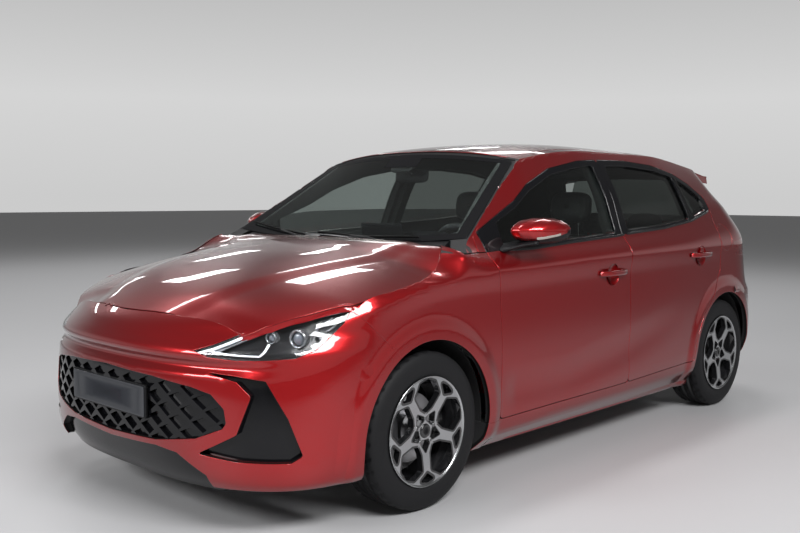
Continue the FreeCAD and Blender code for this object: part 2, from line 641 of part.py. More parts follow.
def bonnet_space(gap):
    """Room that the bonnet takes, with a gap round it."""
    outline = grown(plan_outline(BONNET_PLAN_SHARES), gap)
    xs = spread(station(-0.32), station(0.12), 22)
    acrosses = spread(-1.08, 1.08, 27)
    low = [[V(x, a * bonnet_edge(x)[0], bonnet_z(x, a * bonnet_edge(x)[0]) - PANEL_THICKNESS - gap)
            for a in acrosses] for x in xs]
    high = [[V(p.x, p.y, p.z + CUT_OVERRUN) for p in row] for row in low]
    return slab(low, high).common(along_z(outline, 0, HEIGHT + CUT_OVERRUN))


def make_bonnet():
    xs = spread(station(-0.32), station(0.12), 24)
    acrosses = spread(-1.06, 1.06, 41)
    top = [[V(x, a * bonnet_edge(x)[0], bonnet_z(x, a * bonnet_edge(x)[0])) for a in acrosses] for x in xs]
    under = [[V(p.x, p.y, p.z - PANEL_THICKNESS) for p in row] for row in top]
    return slab(top, under).common(along_z(plan_outline(BONNET_PLAN_SHARES), 0, HEIGHT))


def lamp_tool(gap, side=1.0):
    outline = corner_outline(LAMP_SHARES)
    if gap:
        outline = grown(outline, gap)
    return along_corner(outline, NOSE_CENTRE_X / 2, HALF_WIDTH, side)


def make_headlamp(bonnet_room):
    heights = spread(0.405 * HEIGHT, 0.58 * HEIGHT, 12)
    body = half_drum_slab(nose_point, spread(-0.25, 0.92, 18), heights, LAMP_DEPTH)
    return body.common(lamp_tool(0)).cut(bonnet_room)


def make_bumper(bonnet_room):
    """Front bumper with the nose panel: the left half is cut and then mirrored."""
    heights = spread(0.128 * HEIGHT, 0.572 * HEIGHT, 34)
    bumper = drum_slab(nose_point, spread(-0.32, 1.0, 20), heights, BUMPER_THICKNESS)
    bumper = bumper.cut(bonnet_room).common(block(FRONT_AXLE_X, LENGTH, 0, HALF_WIDTH * 2, 0, HEIGHT))
    bumper = bumper.cut(lamp_tool(LAMP_GAP))
    bumper = bumper.cut(along_corner(corner_outline(INTAKE_SHARES), NOSE_CENTRE_X / 2, HALF_WIDTH))
    for outline in (GRILLE_SHARES, CHIN_SHARES):
        bumper = bumper.cut(along_x(end_outline(outline), NOSE_CENTRE_X, LENGTH, 0))
    bumper = bumper.cut(along_y(grown(side_outline(FENDER_SHARES), LAMP_GAP), 0, HALF_WIDTH + CUT_OVERRUN))
    bumper = largest(bumper.cut(arch_cut(FRONT_AXLE_X, ARCH_RADIUS)))
    return fused([bumper, mirrored(bumper)])


def lattice_holes():
    """Staggered diamonds that make the grille's mesh."""
    holes = []
    for row in range(LATTICE_ROWS):
        z = (GRILLE_SHARES[-1][1] + (row + 1 / 2) * LATTICE_PITCH_SHARE) * HEIGHT
        shift = (row % 2) / 2
        for column in range(-LATTICE_COLUMNS, LATTICE_COLUMNS + 1):
            y = (column + shift) * LATTICE_WIDTH
            wide = LATTICE_WIDTH / 2 - LATTICE_BAR
            high = LATTICE_PITCH_SHARE * HEIGHT * 0.86
            outline = [(y - wide, z), (y, z - high), (y + wide, z), (y, z + high * 0.55)]
            holes.append(along_x(outline, NOSE_CENTRE_X, LENGTH))
    return Part.makeCompound(holes)


def make_grille():
    heights = spread(0.20 * HEIGHT, 0.42 * HEIGHT, 14)
    runs = spread(0.2, 1.0, 16)
    room = along_x(grown(end_outline(GRILLE_SHARES), -SEAT_GAP), NOSE_CENTRE_X, LENGTH, 0)
    mesh = drum_slab(nose_point, runs, heights, LATTICE_DEPTH, SHUT_GAP).common(room).cut(lattice_holes())
    back = drum_slab(nose_point, runs, heights, BUMPER_THICKNESS - LATTICE_DEPTH, SHUT_GAP + LATTICE_DEPTH).common(room)
    middle = fused([mesh, back])
    heights = spread(0.18 * HEIGHT, 0.42 * HEIGHT, 10)
    deep = half_drum_slab(nose_point, spread(0.1, 0.9, 16), heights, BUMPER_THICKNESS, BUMPER_THICKNESS + SEAT_GAP)
    corner = along_corner(corner_outline(INTAKE_SHARES), NOSE_CENTRE_X / 2, HALF_WIDTH)
    beside = along_x(grown(end_outline(GRILLE_SHARES), SHUT_GAP), NOSE_CENTRE_X, LENGTH, 0)
    intake = deep.common(corner).cut(beside)
    heights = spread(0.112 * HEIGHT, 0.215 * HEIGHT, 6)
    low = drum_slab(nose_point, spread(0.2, 1.0, 16), heights, BUMPER_THICKNESS, BUMPER_THICKNESS + SEAT_GAP)
    low = low.common(block(NOSE_CENTRE_X, LENGTH, 0, HALF_WIDTH, 0, HEIGHT)).cut(corner).cut(beside)
    low = largest(low.common(along_x(end_outline(CHIN_SHARES), NOSE_CENTRE_X, LENGTH, 0)))
    chin = fused([low, mirrored(low)])
    return Part.Compound([middle, largest(intake), mirrored(largest(intake)), chin])


def make_fender(bonnet_room):
    xs = spread(station(0.18), NOSE_CENTRE_X - PANEL_THICKNESS, 40)
    zs = spread(SILL_BOTTOM, 0.72 * HEIGHT, 30)
    runs = spread(0.0, 0.5, 9)
    outer = grid_of(lambda x, z: V(x, side_y(x, z), z), xs, zs) + grid_of(nose_point, runs, zs)
    inner = grid_of(lambda x, z: V(x, side_y(x, z) - PANEL_THICKNESS, z), xs, zs)
    inner += grid_of(lambda run, z: nose_point(run, z, PANEL_THICKNESS), runs, zs)
    fender = slab(outer, inner)
    fender = fender.common(along_y(side_outline(FENDER_SHARES), 0, HALF_WIDTH + CUT_OVERRUN))
    fender = fender.cut(arch_cut(FRONT_AXLE_X, ARCH_RADIUS)).cut(bonnet_room)
    return fender.cut(lamp_tool(LAMP_GAP))


def make_screen(gap=0.0, reach=1.0):
    across = spread(-reach, reach, 13)
    up = spread(0.0, 1.0, 8)
    low = grid_of(lambda a, u: screen_point(a, u, SCREEN_THICKNESS + gap), across, up)
    high = grid_of(lambda a, u: screen_point(a, u, -CUT_OVERRUN if gap else 0.0), across, up)
    return slab(low, high)


def roof_plan(gap=0.0):
    """Outline of the roof panel seen from above."""
    front = [screen_point(a, 1.0) for a in spread(0.0, ROOF_SIDE_SHARE, 6)]
    left = [(p.x - SHUT_GAP + gap, p.y) for p in front]
    left[-1] = (left[-1][0], left[-1][1] + gap)
    for x in spread(left[-1][0] - PANEL_THICKNESS, station(ROOF_REAR_SHARE), 9):
        left.append((x, rail(x)[1] * ROOF_SIDE_SHARE + gap))
    left.append((station(ROOF_REAR_SHARE), 0.0))
    right = [(x, -y) for x, y in reversed(left) if y > 0]
    return left + right


def make_roof():
    return roof_slab(ROOF_THICKNESS, 0).common(along_z(roof_plan(), 0, HEIGHT * 2))


def door_room(gap):
    """Room that the two doors of one side take in the body side."""
    outlines = [grown(side_outline(shares), gap) for shares in (FRONT_DOOR_SHARES, REAR_DOOR_SHARES)]
    room = fused([along_y(outline, 0, HALF_WIDTH + CUT_OVERRUN, PANEL_THICKNESS) for outline in outlines])
    xs = [p[0] for outline in outlines for p in outline]
    zs = [p[1] for outline in outlines for p in outline]
    raw = side_slab(max(xs) + gap, min(xs) - gap, min(zs) - gap, max(zs) + gap,
                    lambda x, z: -PANEL_THICKNESS, lambda x, z: wall_depth(x, z) + gap)
    return raw.common(room)


def make_body_side():
    """Left side of the body, sill to roof rail, and the rear quarter behind its seam."""
    depth = SHUT_GAP + RING_DEPTH
    side = side_slab(station(SIDE_FRONT_SHARE), QUARTER_START_X - SHUT_GAP, SILL_BOTTOM, HEIGHT,
                     none, lambda x, z: wall_depth(x, z) + depth)
    side = side.common(block(QUARTER_START_X + SEAT_GAP, LENGTH, 0, HALF_WIDTH * 2, SILL_BOTTOM, HEIGHT))
    side = side.common(along_y(side_outline(BODY_SHARES), 0, HALF_WIDTH + CUT_OVERRUN))
    for axle_x in (FRONT_AXLE_X, REAR_AXLE_X):
        side = side.cut(arch_cut(axle_x, ARCH_RADIUS))
    side = side.cut(door_room(SHUT_GAP))
    for door in (FRONT_DOOR_SHARES, REAR_DOOR_SHARES):
        inside = grown(side_outline(door), -RING_LAP)
        side = side.cut(along_y(inside, 0, HALF_WIDTH, PANEL_THICKNESS))
    side = side.cut(above_screen()).cut(make_screen(SEAT_GAP, 1.004))
    heights = spread(BUMPER_TOP + LAMP_GAP, HEIGHT * 0.955, 18)
    quarter = half_drum_slab(tail_point, spread(-0.2, 0.9, 22), heights, QUARTER_THICKNESS)
    quarter = quarter.common(block(-LENGTH, QUARTER_START_X, 0, HALF_WIDTH * 2, 0, HEIGHT * 2))
    quarter = quarter.cut(tail_lamp_tool(LAMP_GAP))
    roof_room = along_z(roof_plan(SEAT_GAP), 0, HEIGHT * 2).common(above_roof(ROOF_THICKNESS + SEAT_GAP))
    floor = block(-LENGTH, LENGTH, 0, FLOOR_HALF_WIDTH + SEAT_GAP, 0, SILL_BOTTOM + FLOOR_THICKNESS + SEAT_GAP)
    pieces = []
    for piece in (side, quarter):
        piece = piece.cut(tailgate_tool(SHUT_GAP)).cut(above_roof()).cut(roof_room)
        pieces.append(piece.cut(floor))
    return Part.Compound(pieces)


def tailgate_tool(gap):
    outline = grown(end_outline(TAILGATE_SHARES), gap) if gap else end_outline(TAILGATE_SHARES)
    return along_x(outline, -LENGTH, station(ROOF_REAR_SHARE) + gap, 0)


def tail_lamp_tool(gap):
    outline = [(a * HALF_WIDTH, b * HEIGHT) for a, b in TAIL_LAMP_SHARES]
    if gap:
        outline = grown(outline, gap)
    return along_x(outline, -LENGTH, station(1.135) + gap, 0)


def make_tail_lamp():
    heights = spread(0.55 * HEIGHT, 0.67 * HEIGHT, 10)
    body = half_drum_slab(tail_point, spread(-0.05, 0.9, 18), heights, QUARTER_THICKNESS)
    return body.common(tail_lamp_tool(0)).cut(tailgate_tool(SHUT_GAP))


def make_tailgate():
    heights = spread(0.42 * HEIGHT, 0.935 * HEIGHT, 20)
    shell = drum_slab(tail_point, spread(0.3, 1.0, 18), heights, TAILGATE_THICKNESS)
    reach = block(station(1.175), station(ROOF_REAR_SHARE), -HALF_WIDTH * 0.7, HALF_WIDTH * 0.7, 0, HEIGHT)
    spoiler = roof_slab(SPOILER_DEPTH, 0).common(reach)
    gate = fused([shell, spoiler]).common(tailgate_tool(0))
    ahead = block(station(ROOF_REAR_SHARE) - SHUT_GAP, 0, -HALF_WIDTH, HALF_WIDTH, 0, HEIGHT * 2)
    gate = gate.cut(ahead).cut(above_roof())
    return gate.cut(along_x(end_outline(REAR_GLASS_SHARES), -LENGTH, station(ROOF_REAR_SHARE), 0))


def make_rear_glass():
    heights = spread(0.66 * HEIGHT, 0.935 * HEIGHT, 10)
    body = drum_slab(tail_point, spread(0.3, 1.0, 14), heights, GLASS_THICKNESS, GLASS_INSET)
    outline = grown(end_outline(REAR_GLASS_SHARES), -SEAT_GAP)
    return body.common(along_x(outline, -LENGTH, station(ROOF_REAR_SHARE), 0))


def make_rear_bumper():
    heights = spread(0.115 * HEIGHT, BUMPER_TOP, 14)
    bumper = drum_slab(tail_point, spread(-0.3, 1.0, 20), heights, BUMPER_THICKNESS)
    bumper = bumper.cut(arch_cut(REAR_AXLE_X, ARCH_RADIUS)).cut(tailgate_tool(SHUT_GAP))
    return bumper.cut(block(REAR_AXLE_X, 0, -HALF_WIDTH * 2, HALF_WIDTH * 2, 0, HEIGHT))


# Mirror sizes: places across as shares of the half width, and sections of the housing there
MIRROR_LENGTH = 195.0
MIRROR_HEIGHT = 116.0
MIRROR_BACK_X = 505.0
MIRROR_SWEEP = 45.0
MIRROR_Z = 1070.0
MIRROR_AT_SHARES = (0.958, 0.975, 1.020, 1.065, 1.100, 1.124, 1.137)
MIRROR_DEPTH_SHARES = (0.86, 0.97, 1.0, 0.92, 0.72, 0.45, 0.20)
MIRROR_TALL_SHARES = (0.66, 0.88, 1.0, 0.95, 0.78, 0.52, 0.22)
MIRROR_ARM = 26.0

# Grille mesh
LATTICE_ROWS = 6
LATTICE_COLUMNS = 10
LATTICE_WIDTH = 104.0
LATTICE_BAR = 6.0
LATTICE_DEPTH = 14.0
LATTICE_PITCH_SHARE = 0.027

# Jacking pads under the floor
PAD_LENGTH = 80.0
PAD_WIDTH = 44.0
PAD_HEIGHT = 12.0
PAD_Y = 655.0
PAD_AT_SHARES = (0.22, 0.79)

# Slanted rear face of the front door, so that it swings clear of the rear door
DOOR_SLANT_SHARE = 0.38
DOOR_FLANGE = 4.0

# Dish behind each door handle: centre behind the front axle and in height, and the ball that cuts it
FRONT_DISH_SHARES = (0.5126, 0.5626)
REAR_DISH_SHARES = (0.8714, 0.5952)
DISH_BALL_RADIUS = 80.0
DISH_BALL_RISE = 62.0

# Wheel sizes; the openings of the face are shares of the lip radius and degrees from the spoke
HUB_RADIUS = 62.0
SPOKE_COUNT = 5
SPOKE_DEPTH = 26.0
RIM_WALL = 6.0
RIM_FACE_INSET = 3.0
RIM_DISH = 14.0
POCKET_SHARES = ((0.19, 27.0), (0.27, 26.0), (0.43, 0.0), (0.27, -26.0), (0.19, -27.0))
FORK_SHARES = ((0.745, 0.0), (0.905, 13.5), (0.925, 0.0), (0.905, -13.5))
WINDOW_SHARES = ((0.33, 36.0), (0.40, 20.0), (0.74, 9.5), (0.915, 23.0), (0.925, 36.0),
                 (0.915, 49.0), (0.74, 62.5), (0.40, 52.0))
DISC_RADIUS = 138.0
DISC_THICKNESS = 22.0
DISC_Y = 758.0
HAT_RADIUS = 76.0
HAT_DEPTH = 30.0
BORE_RADIUS = 30.0

# Front suspension sizes
KINGPIN_FOOT_Y = 715.0
KINGPIN_FOOT_Z = 180.0
KINGPIN_HEAD_Y = 615.0
KINGPIN_HEAD_Z = 800.0
HUB_CARRIER_RADIUS = 45.0
HUB_CARRIER_LENGTH = 70.0
STRUT_RADIUS = 24.0
STRUT_FOOT_Y = 612.0
STRUT_FOOT_Z = 330.0
SPRING_RADIUS = 62.0
SPRING_WIRE = 12.0
SPRING_TURNS = 5
SPRING_FOOT_Z = 655.0
CALIPER_LENGTH = 120.0
CALIPER_WIDTH = 62.0
CALIPER_HEIGHT = 48.0
TOWER_RADIUS = 84.0
TOWER_HEIGHT = 26.0
ARM_RADIUS = 18.0
SUBFRAME_WIDTH = 930.0
SUBFRAME_HEIGHT = 60.0
SUBFRAME_LENGTH = 260.0
SUBFRAME_Z = 170.0

# Rear axle sizes
TWIST_BEAM_X_SHARE = 0.90
TWIST_BEAM_RADIUS = 42.0
TRAILING_ARM_Y = 560.0
TRAILING_ARM_WIDTH = 52.0
STUB_RADIUS = 30.0
DAMPER_RADIUS = 20.0

# Engine bay and underside
ENGINE_LENGTH = 470.0
ENGINE_WIDTH = 780.0
ENGINE_HEIGHT = 470.0
ENGINE_X = 1215.0
ENGINE_Z = 290.0
RAIL_WIDTH = 60.0
RAIL_HEIGHT = 90.0
RAIL_Y = 440.0
RAIL_Z = 400.0
RADIATOR_THICKNESS = 60.0
RADIATOR_WIDTH = 620.0
RADIATOR_HEIGHT = 400.0
RADIATOR_X = 1800.0
PIPE_RADIUS = 26.0
PIPE_Z = 135.0
SILENCER_LENGTH = 480.0
SILENCER_WIDTH = 230.0
SILENCER_HEIGHT = 120.0

# Cabin sizes
SEAT_WIDTH = 500.0
SEAT_Y = 345.0
SEAT_X = -130.0
CUSHION_LENGTH = 500.0
CUSHION_THICKNESS = 150.0
CUSHION_Z = 330.0
BACKREST_HEIGHT = 600.0
BACKREST_THICKNESS = 130.0
BACKREST_LEAN_SHARE = 0.36
HEADREST_WIDTH = 260.0
HEADREST_HEIGHT = 180.0
HEADREST_THICKNESS = 95.0
HEADREST_RISE = 60.0
POST_RADIUS = 7.0
BENCH_WIDTH = 1200.0
BENCH_X = -900.0
BENCH_LENGTH = 480.0
BENCH_Z = 442.0
DASH_WIDTH = 1330.0
COLUMN_X = 560.0
WHEEL_HUB_X = 330.0
WHEEL_HUB_Z = 905.0
STEERING_TILT_SHARE = 0.42
STEERING_RADIUS = 182.0
STEERING_GRIP = 15.0
STEERING_HUB = 62.0


def turned(profile, centre, axis):
    """Solid turned round an axis from an outline of radius and place along the axis."""
    points = [V(a, 0, r) for r, a in profile]
    solid = closed_face(points).revolve(V(0, 0, 0), V(1, 0, 0), 360)
    spin = FreeCAD.Rotation(V(1, 0, 0), axis)
    solid.Placement = FreeCAD.Placement(centre, spin)
    return solid


def make_tyre():
    """Tyre about the y axis at the origin, outer side towards +y."""
    half = TYRE_WIDTH / 2
    bead = RIM_SEAT_RADIUS
    wall = TYRE_HOLLOW / 3
    crown = TYRE_RADIUS
    mid = (TYRE_RADIUS + RIM_SEAT_RADIUS) / 2
    seat = half * 0.86
    lip = RIM_RADIUS + SEAT_GAP
    bulge = seat + RIM_WALL
    outer = [(bead, -seat), (lip, -seat), (lip + RIM_WALL / 2, -bulge), (mid, -half), (crown - wall * 1.6, -half * 0.95),
             (crown - wall * 0.4, -half * 0.82), (crown, -half * 0.6), (crown, half * 0.6),
             (crown - wall * 0.4, half * 0.82), (crown - wall * 1.6, half * 0.95), (mid, half),
             (lip + RIM_WALL / 2, bulge), (lip, seat), (bead, seat)]
    inner = [(bead, half * 0.7), (bead + wall, half * 0.72), (mid, half * 0.84), (crown - wall * 1.4, half * 0.7),
             (crown - wall, 0), (crown - wall * 1.4, -half * 0.7), (mid, -half * 0.84),
             (bead + wall, -half * 0.72), (bead, -half * 0.7)]
    return turned(outer + inner, V(0, 0, 0), V(0, 1, 0))


def ring_profile():
    """Outline of the rim barrel with its two lips."""
    half = RIM_WIDTH / 2
    seat = RIM_SEAT_RADIUS - SEAT_GAP
    lip = RIM_RADIUS
    edge = TYRE_WIDTH / 2 * 0.86 + SEAT_GAP
    well = seat - RIM_WALL * 3
    outer = [(lip, -edge - RIM_WALL), (lip, -edge), (seat, -edge), (seat, -half * 0.55), (well, -half * 0.35),
             (well, half * 0.1), (seat, half * 0.35), (seat, edge), (lip, edge), (lip, edge + RIM_WALL)]
    inner = [(lip - RIM_WALL, edge + RIM_WALL), (seat - RIM_WALL, edge - RIM_WALL), (seat - RIM_WALL, half * 0.35),
             (well - RIM_WALL, half * 0.1), (well - RIM_WALL, -half * 0.35), (seat - RIM_WALL, -half * 0.55),
             (seat - RIM_WALL, -edge - RIM_WALL)]
    return outer + inner


def polar(share, degrees):
    """Point of the wheel face, x and z, at a share of the lip radius and an angle from straight down."""
    angle = math.radians(degrees)
    return V(share * RIM_RADIUS * math.sin(angle), 0, -share * RIM_RADIUS * math.cos(angle))


def face_holes():
    """Openings of one spoke and the window beside it, as outlines on the wheel face."""
    kite = [polar(*p) for p in POCKET_SHARES]
    fork = [polar(*p) for p in FORK_SHARES]
    window = [polar(*p) for p in WINDOW_SHARES]
    return ((kite, RIM_WALL), (fork, RIM_WALL), (window, RIM_WALL * 2))


def make_rim():
    barrel = turned(ring_profile(), V(0, 0, 0), V(0, 1, 0))
    face_y = TYRE_WIDTH / 2 * 0.86 - RIM_FACE_INSET
    hub_back = DISC_Y + DISC_THICKNESS / 2 + HAT_DEPTH - TRACK_HALF
    edge = RIM_SEAT_RADIUS - RIM_WALL / 2
    dip = face_y - RIM_DISH
    profile = [(0, dip), (HUB_RADIUS * 0.6, dip), (HUB_RADIUS * 1.7, face_y - RIM_DISH / 4), (edge, face_y),
               (edge, face_y - SPOKE_DEPTH), (HUB_RADIUS * 1.7, face_y - RIM_DISH / 4 - SPOKE_DEPTH),
               (HUB_RADIUS, dip - SPOKE_DEPTH), (0, dip - SPOKE_DEPTH)]
    plate = turned(profile, V(0, 0, 0), V(0, 1, 0))
    holes = []
    for outline, radius in face_holes():
        hole = rounded_face(outline, radius).extrude(V(0, TYRE_WIDTH, 0))
        for i in range(SPOKE_COUNT):
            copy = hole.copy()
            copy.rotate(V(0, 0, 0), V(0, 1, 0), 360 * i / SPOKE_COUNT)
            holes.append(copy)
    plate = plate.cut(Part.makeCompound(holes))
    hub = Part.makeCylinder(HUB_RADIUS * 0.55, dip - hub_back - RIM_WALL, V(0, hub_back, 0), V(0, 1, 0))
    return fused([barrel, plate, hub])


def make_disc():
    """Brake disc with its hat, about the y axis, seated behind the rim's hub."""
    y = DISC_Y - TRACK_HALF
    profile = [(BORE_RADIUS, y + DISC_THICKNESS / 2), (HAT_RADIUS, y + DISC_THICKNESS / 2 - RIM_WALL),
               (HAT_RADIUS, y - DISC_THICKNESS / 2), (DISC_RADIUS, y - DISC_THICKNESS / 2),
               (DISC_RADIUS, y + DISC_THICKNESS / 2), (HAT_RADIUS + RIM_WALL, y + DISC_THICKNESS / 2),
               (HAT_RADIUS + RIM_WALL, y + DISC_THICKNESS / 2 + HAT_DEPTH - SEAT_GAP),
               (BORE_RADIUS, y + DISC_THICKNESS / 2 + HAT_DEPTH - SEAT_GAP)]
    return turned(profile, V(0, 0, 0), V(0, 1, 0))


def wheel_places():
    for end, x in (("front", FRONT_AXLE_X), ("rear", REAR_AXLE_X)):
        for side, sign in (("left", 1), ("right", -1)):
            yield end, side, V(x, sign * TRACK_HALF, AXLE_Z), sign


def set_wheel(shape, place, sign):
    copy = shape.copy()
    if sign < 0:
        copy.rotate(V(0, 0, 0), V(0, 0, 1), 180)
    copy.translate(place)
    return copy


def kingpin(z):
    """Point of the left steering axis at a height."""
    run = (z - KINGPIN_FOOT_Z) / (KINGPIN_HEAD_Z - KINGPIN_FOOT_Z)
    return V(FRONT_AXLE_X, KINGPIN_FOOT_Y + run * (KINGPIN_HEAD_Y - KINGPIN_FOOT_Y), z)


def make_spring(base):
    """Spring round the strut, its turns pressed together as one ribbed sleeve."""
    pitch = (KINGPIN_HEAD_Z - SPRING_FOOT_Z - SPRING_WIRE * 2) / SPRING_TURNS
    points = [(STRUT_RADIUS / 2, 0), (SPRING_RADIUS, 0)]
    for i in range(SPRING_TURNS):
        points.append((SPRING_RADIUS + SPRING_WIRE / 2, (i + 0.25) * pitch))
        points.append((SPRING_RADIUS - SPRING_WIRE / 2, (i + 0.75) * pitch))
    points.append((SPRING_RADIUS, SPRING_TURNS * pitch))
    points.append((STRUT_RADIUS / 2, SPRING_TURNS * pitch))
    face = closed_face([base + V(r, 0, z) for r, z in points])
    return face.revolve(base, V(0, 0, 1), 360)


def make_knuckle():
    """Left front hub carrier with its strut, spring and brake caliper."""
    inner_y = DISC_Y - DISC_THICKNESS / 2 - SHUT_GAP
    carrier = rod(V(FRONT_AXLE_X, inner_y - HUB_CARRIER_LENGTH, AXLE_Z), V(FRONT_AXLE_X, inner_y, AXLE_Z),
                  HUB_CARRIER_RADIUS)
    stub = rod(V(FRONT_AXLE_X, inner_y - HUB_CARRIER_LENGTH, AXLE_Z),
               V(FRONT_AXLE_X, TRACK_HALF, AXLE_Z), BORE_RADIUS - SEAT_GAP)
    low = V(FRONT_AXLE_X, inner_y - HUB_CARRIER_LENGTH / 3, AXLE_Z)
    foot = rod(kingpin(KINGPIN_FOOT_Z + ARM_RADIUS), low, STRUT_RADIUS * 0.8)
    clamp = rod(low, V(FRONT_AXLE_X, STRUT_FOOT_Y, STRUT_FOOT_Z + STRUT_RADIUS * 2), STRUT_RADIUS * 1.1)
    head = kingpin(KINGPIN_HEAD_Z)
    strut = rod(V(FRONT_AXLE_X, STRUT_FOOT_Y, STRUT_FOOT_Z), head, STRUT_RADIUS)
    spring = make_spring(V(FRONT_AXLE_X, STRUT_FOOT_Y, SPRING_FOOT_Z))
    caliper = block(FRONT_AXLE_X + DISC_RADIUS - CALIPER_HEIGHT, FRONT_AXLE_X + DISC_RADIUS + CALIPER_HEIGHT / 2,
                    DISC_Y - CALIPER_WIDTH / 2, DISC_Y + CALIPER_WIDTH / 2,
                    AXLE_Z - CALIPER_LENGTH / 2, AXLE_Z + CALIPER_LENGTH / 2)
    slot = Part.makeCylinder(DISC_RADIUS + SHUT_GAP, DISC_THICKNESS + SHUT_GAP * 2,
                             V(FRONT_AXLE_X, DISC_Y - DISC_THICKNESS / 2 - SHUT_GAP, AXLE_Z), V(0, 1, 0))
    caliper = caliper.cut(slot)
    bracket = block(FRONT_AXLE_X, FRONT_AXLE_X + DISC_RADIUS, inner_y - HUB_CARRIER_LENGTH / 4,
                    inner_y, AXLE_Z - CALIPER_HEIGHT / 2, AXLE_Z + CALIPER_HEIGHT / 2)
    return fused([carrier, stub, foot, clamp, strut, caliper, bracket, spring])


def make_front_frame():
    """Subframe under the engine with the lower arms and the strut towers."""
    half = SUBFRAME_WIDTH / 2
    x = FRONT_AXLE_X
    low = SUBFRAME_Z
    frame = along_z([(x - SUBFRAME_LENGTH / 2, -half), (x + SUBFRAME_LENGTH / 2, -half),
                     (x + SUBFRAME_LENGTH / 2, half), (x - SUBFRAME_LENGTH / 2, half)],
                    low, low + SUBFRAME_HEIGHT, SUBFRAME_HEIGHT / 2)
    pieces = [frame]
    for sign in (1, -1):
        joint = V(x, sign * (KINGPIN_FOOT_Y - ARM_RADIUS / 4), KINGPIN_FOOT_Z - ARM_RADIUS / 2 - SHUT_GAP)
        for end in (-1, 1):
            root = V(x + end * SUBFRAME_LENGTH * 0.34, sign * half * 0.75, low + SUBFRAME_HEIGHT / 2)
            pieces.append(rod(root, joint, ARM_RADIUS * 0.75))
        for end in (-1, 1):
            leg_x = x + end * SUBFRAME_LENGTH * 0.36
            pieces.append(block(leg_x - RAIL_WIDTH / 2, leg_x + RAIL_WIDTH / 2, sign * RAIL_Y - RAIL_WIDTH / 3,
                                sign * RAIL_Y + RAIL_WIDTH / 3, low, RAIL_Z - SEAT_GAP))
    return fused(pieces)


def make_floor():
    """Floor tray with the bulkhead, side rails, seat step and boot floor."""
    t = FLOOR_THICKNESS
    z = SILL_BOTTOM
    front = station(0.10)
    toe = station(0.20)
    step = station(0.80)
    rise = BENCH_Z - CUSHION_THICKNESS / 2
    boot = z + t + HEIGHT * 0.14
    end = TAIL_CENTRE_X - LENGTH * 0.092
    top = [(front, HEIGHT * 0.63), (front, HEIGHT * 0.30), (toe, z + t), (step, z + t), (station(0.84), rise),
           (station(0.97), rise), (station(1.0), boot), (end, boot)]
    under = [(end, boot - t), (station(1.01), boot - t), (station(0.98), rise - t), (station(0.835), rise - t),
             (station(0.805), z), (toe + t / 2, z), (front + t, HEIGHT * 0.295), (front + t, HEIGHT * 0.63)]
    tray = along_y(top + under, -FLOOR_HALF_WIDTH, FLOOR_HALF_WIDTH)
    tunnel = along_x([(-PIPE_RADIUS * 4, z + t * 4), (PIPE_RADIUS * 4, z + t * 4), (PIPE_RADIUS * 5, z), (-PIPE_RADIUS * 5, z)],
                     step - t, toe + t)
    way = along_x([(-PIPE_RADIUS * 3.2, z + t * 3.2), (PIPE_RADIUS * 3.2, z + t * 3.2), (PIPE_RADIUS * 4, 0),
                   (-PIPE_RADIUS * 4, 0)], step - t * 3, toe + t * 3)
    floor = tray.fuse(tunnel).cut(way.common(block(-LENGTH, LENGTH, -HALF_WIDTH, HALF_WIDTH, 0, z + t * 3.2)))
    pieces = [floor]
    for sign in (1, -1):
        y0, y1 = sorted((sign * (RAIL_Y - RAIL_WIDTH / 2), sign * (RAIL_Y + RAIL_WIDTH / 2)))
        pieces.append(block(front, RADIATOR_X + RADIATOR_THICKNESS, y0, y1, RAIL_Z, RAIL_Z + RAIL_HEIGHT))
    for share in PAD_AT_SHARES:
        for sign in (1, -1):
            y0 = sign * PAD_Y - PAD_WIDTH / 2
            x0 = station(share) - PAD_LENGTH / 2
            pieces.append(block(x0, x0 + PAD_LENGTH, y0, y0 + PAD_WIDTH, z - PAD_HEIGHT, z + t / 2))
    body = fused(pieces)
    for axle_x, inner in ((FRONT_AXLE_X, LINER_INNER_Y), (REAR_AXLE_X, REAR_TUB_INNER_Y)):
        for sign in (1, -1):
            y0 = sign * (inner - LINER_THICKNESS - SEAT_GAP)
            tool = Part.makeCylinder(LINER_RADIUS + LINER_THICKNESS + SEAT_GAP, HALF_WIDTH, V(axle_x, y0, AXLE_Z),
                                     V(0, sign, 0))
            body = body.cut(tool)
    return body


def make_liner(axle_x, inner):
    """Left wheel housing: an open drum with a flat inner wall."""
    outer = Part.makeCylinder(LINER_RADIUS + LINER_THICKNESS, HALF_WIDTH - inner - DOOR_THICKNESS / 2,
                              V(axle_x, inner - LINER_THICKNESS, AXLE_Z), V(0, 1, 0))
    room = Part.makeCylinder(LINER_RADIUS, HALF_WIDTH, V(axle_x, inner, AXLE_Z), V(0, 1, 0))
    below = block(axle_x - ARCH_RADIUS * 2, axle_x + ARCH_RADIUS * 2, 0, HALF_WIDTH * 2, -ARCH_RADIUS,
                  SILL_BOTTOM + FLOOR_THICKNESS)
    return outer.cut(room).cut(below)


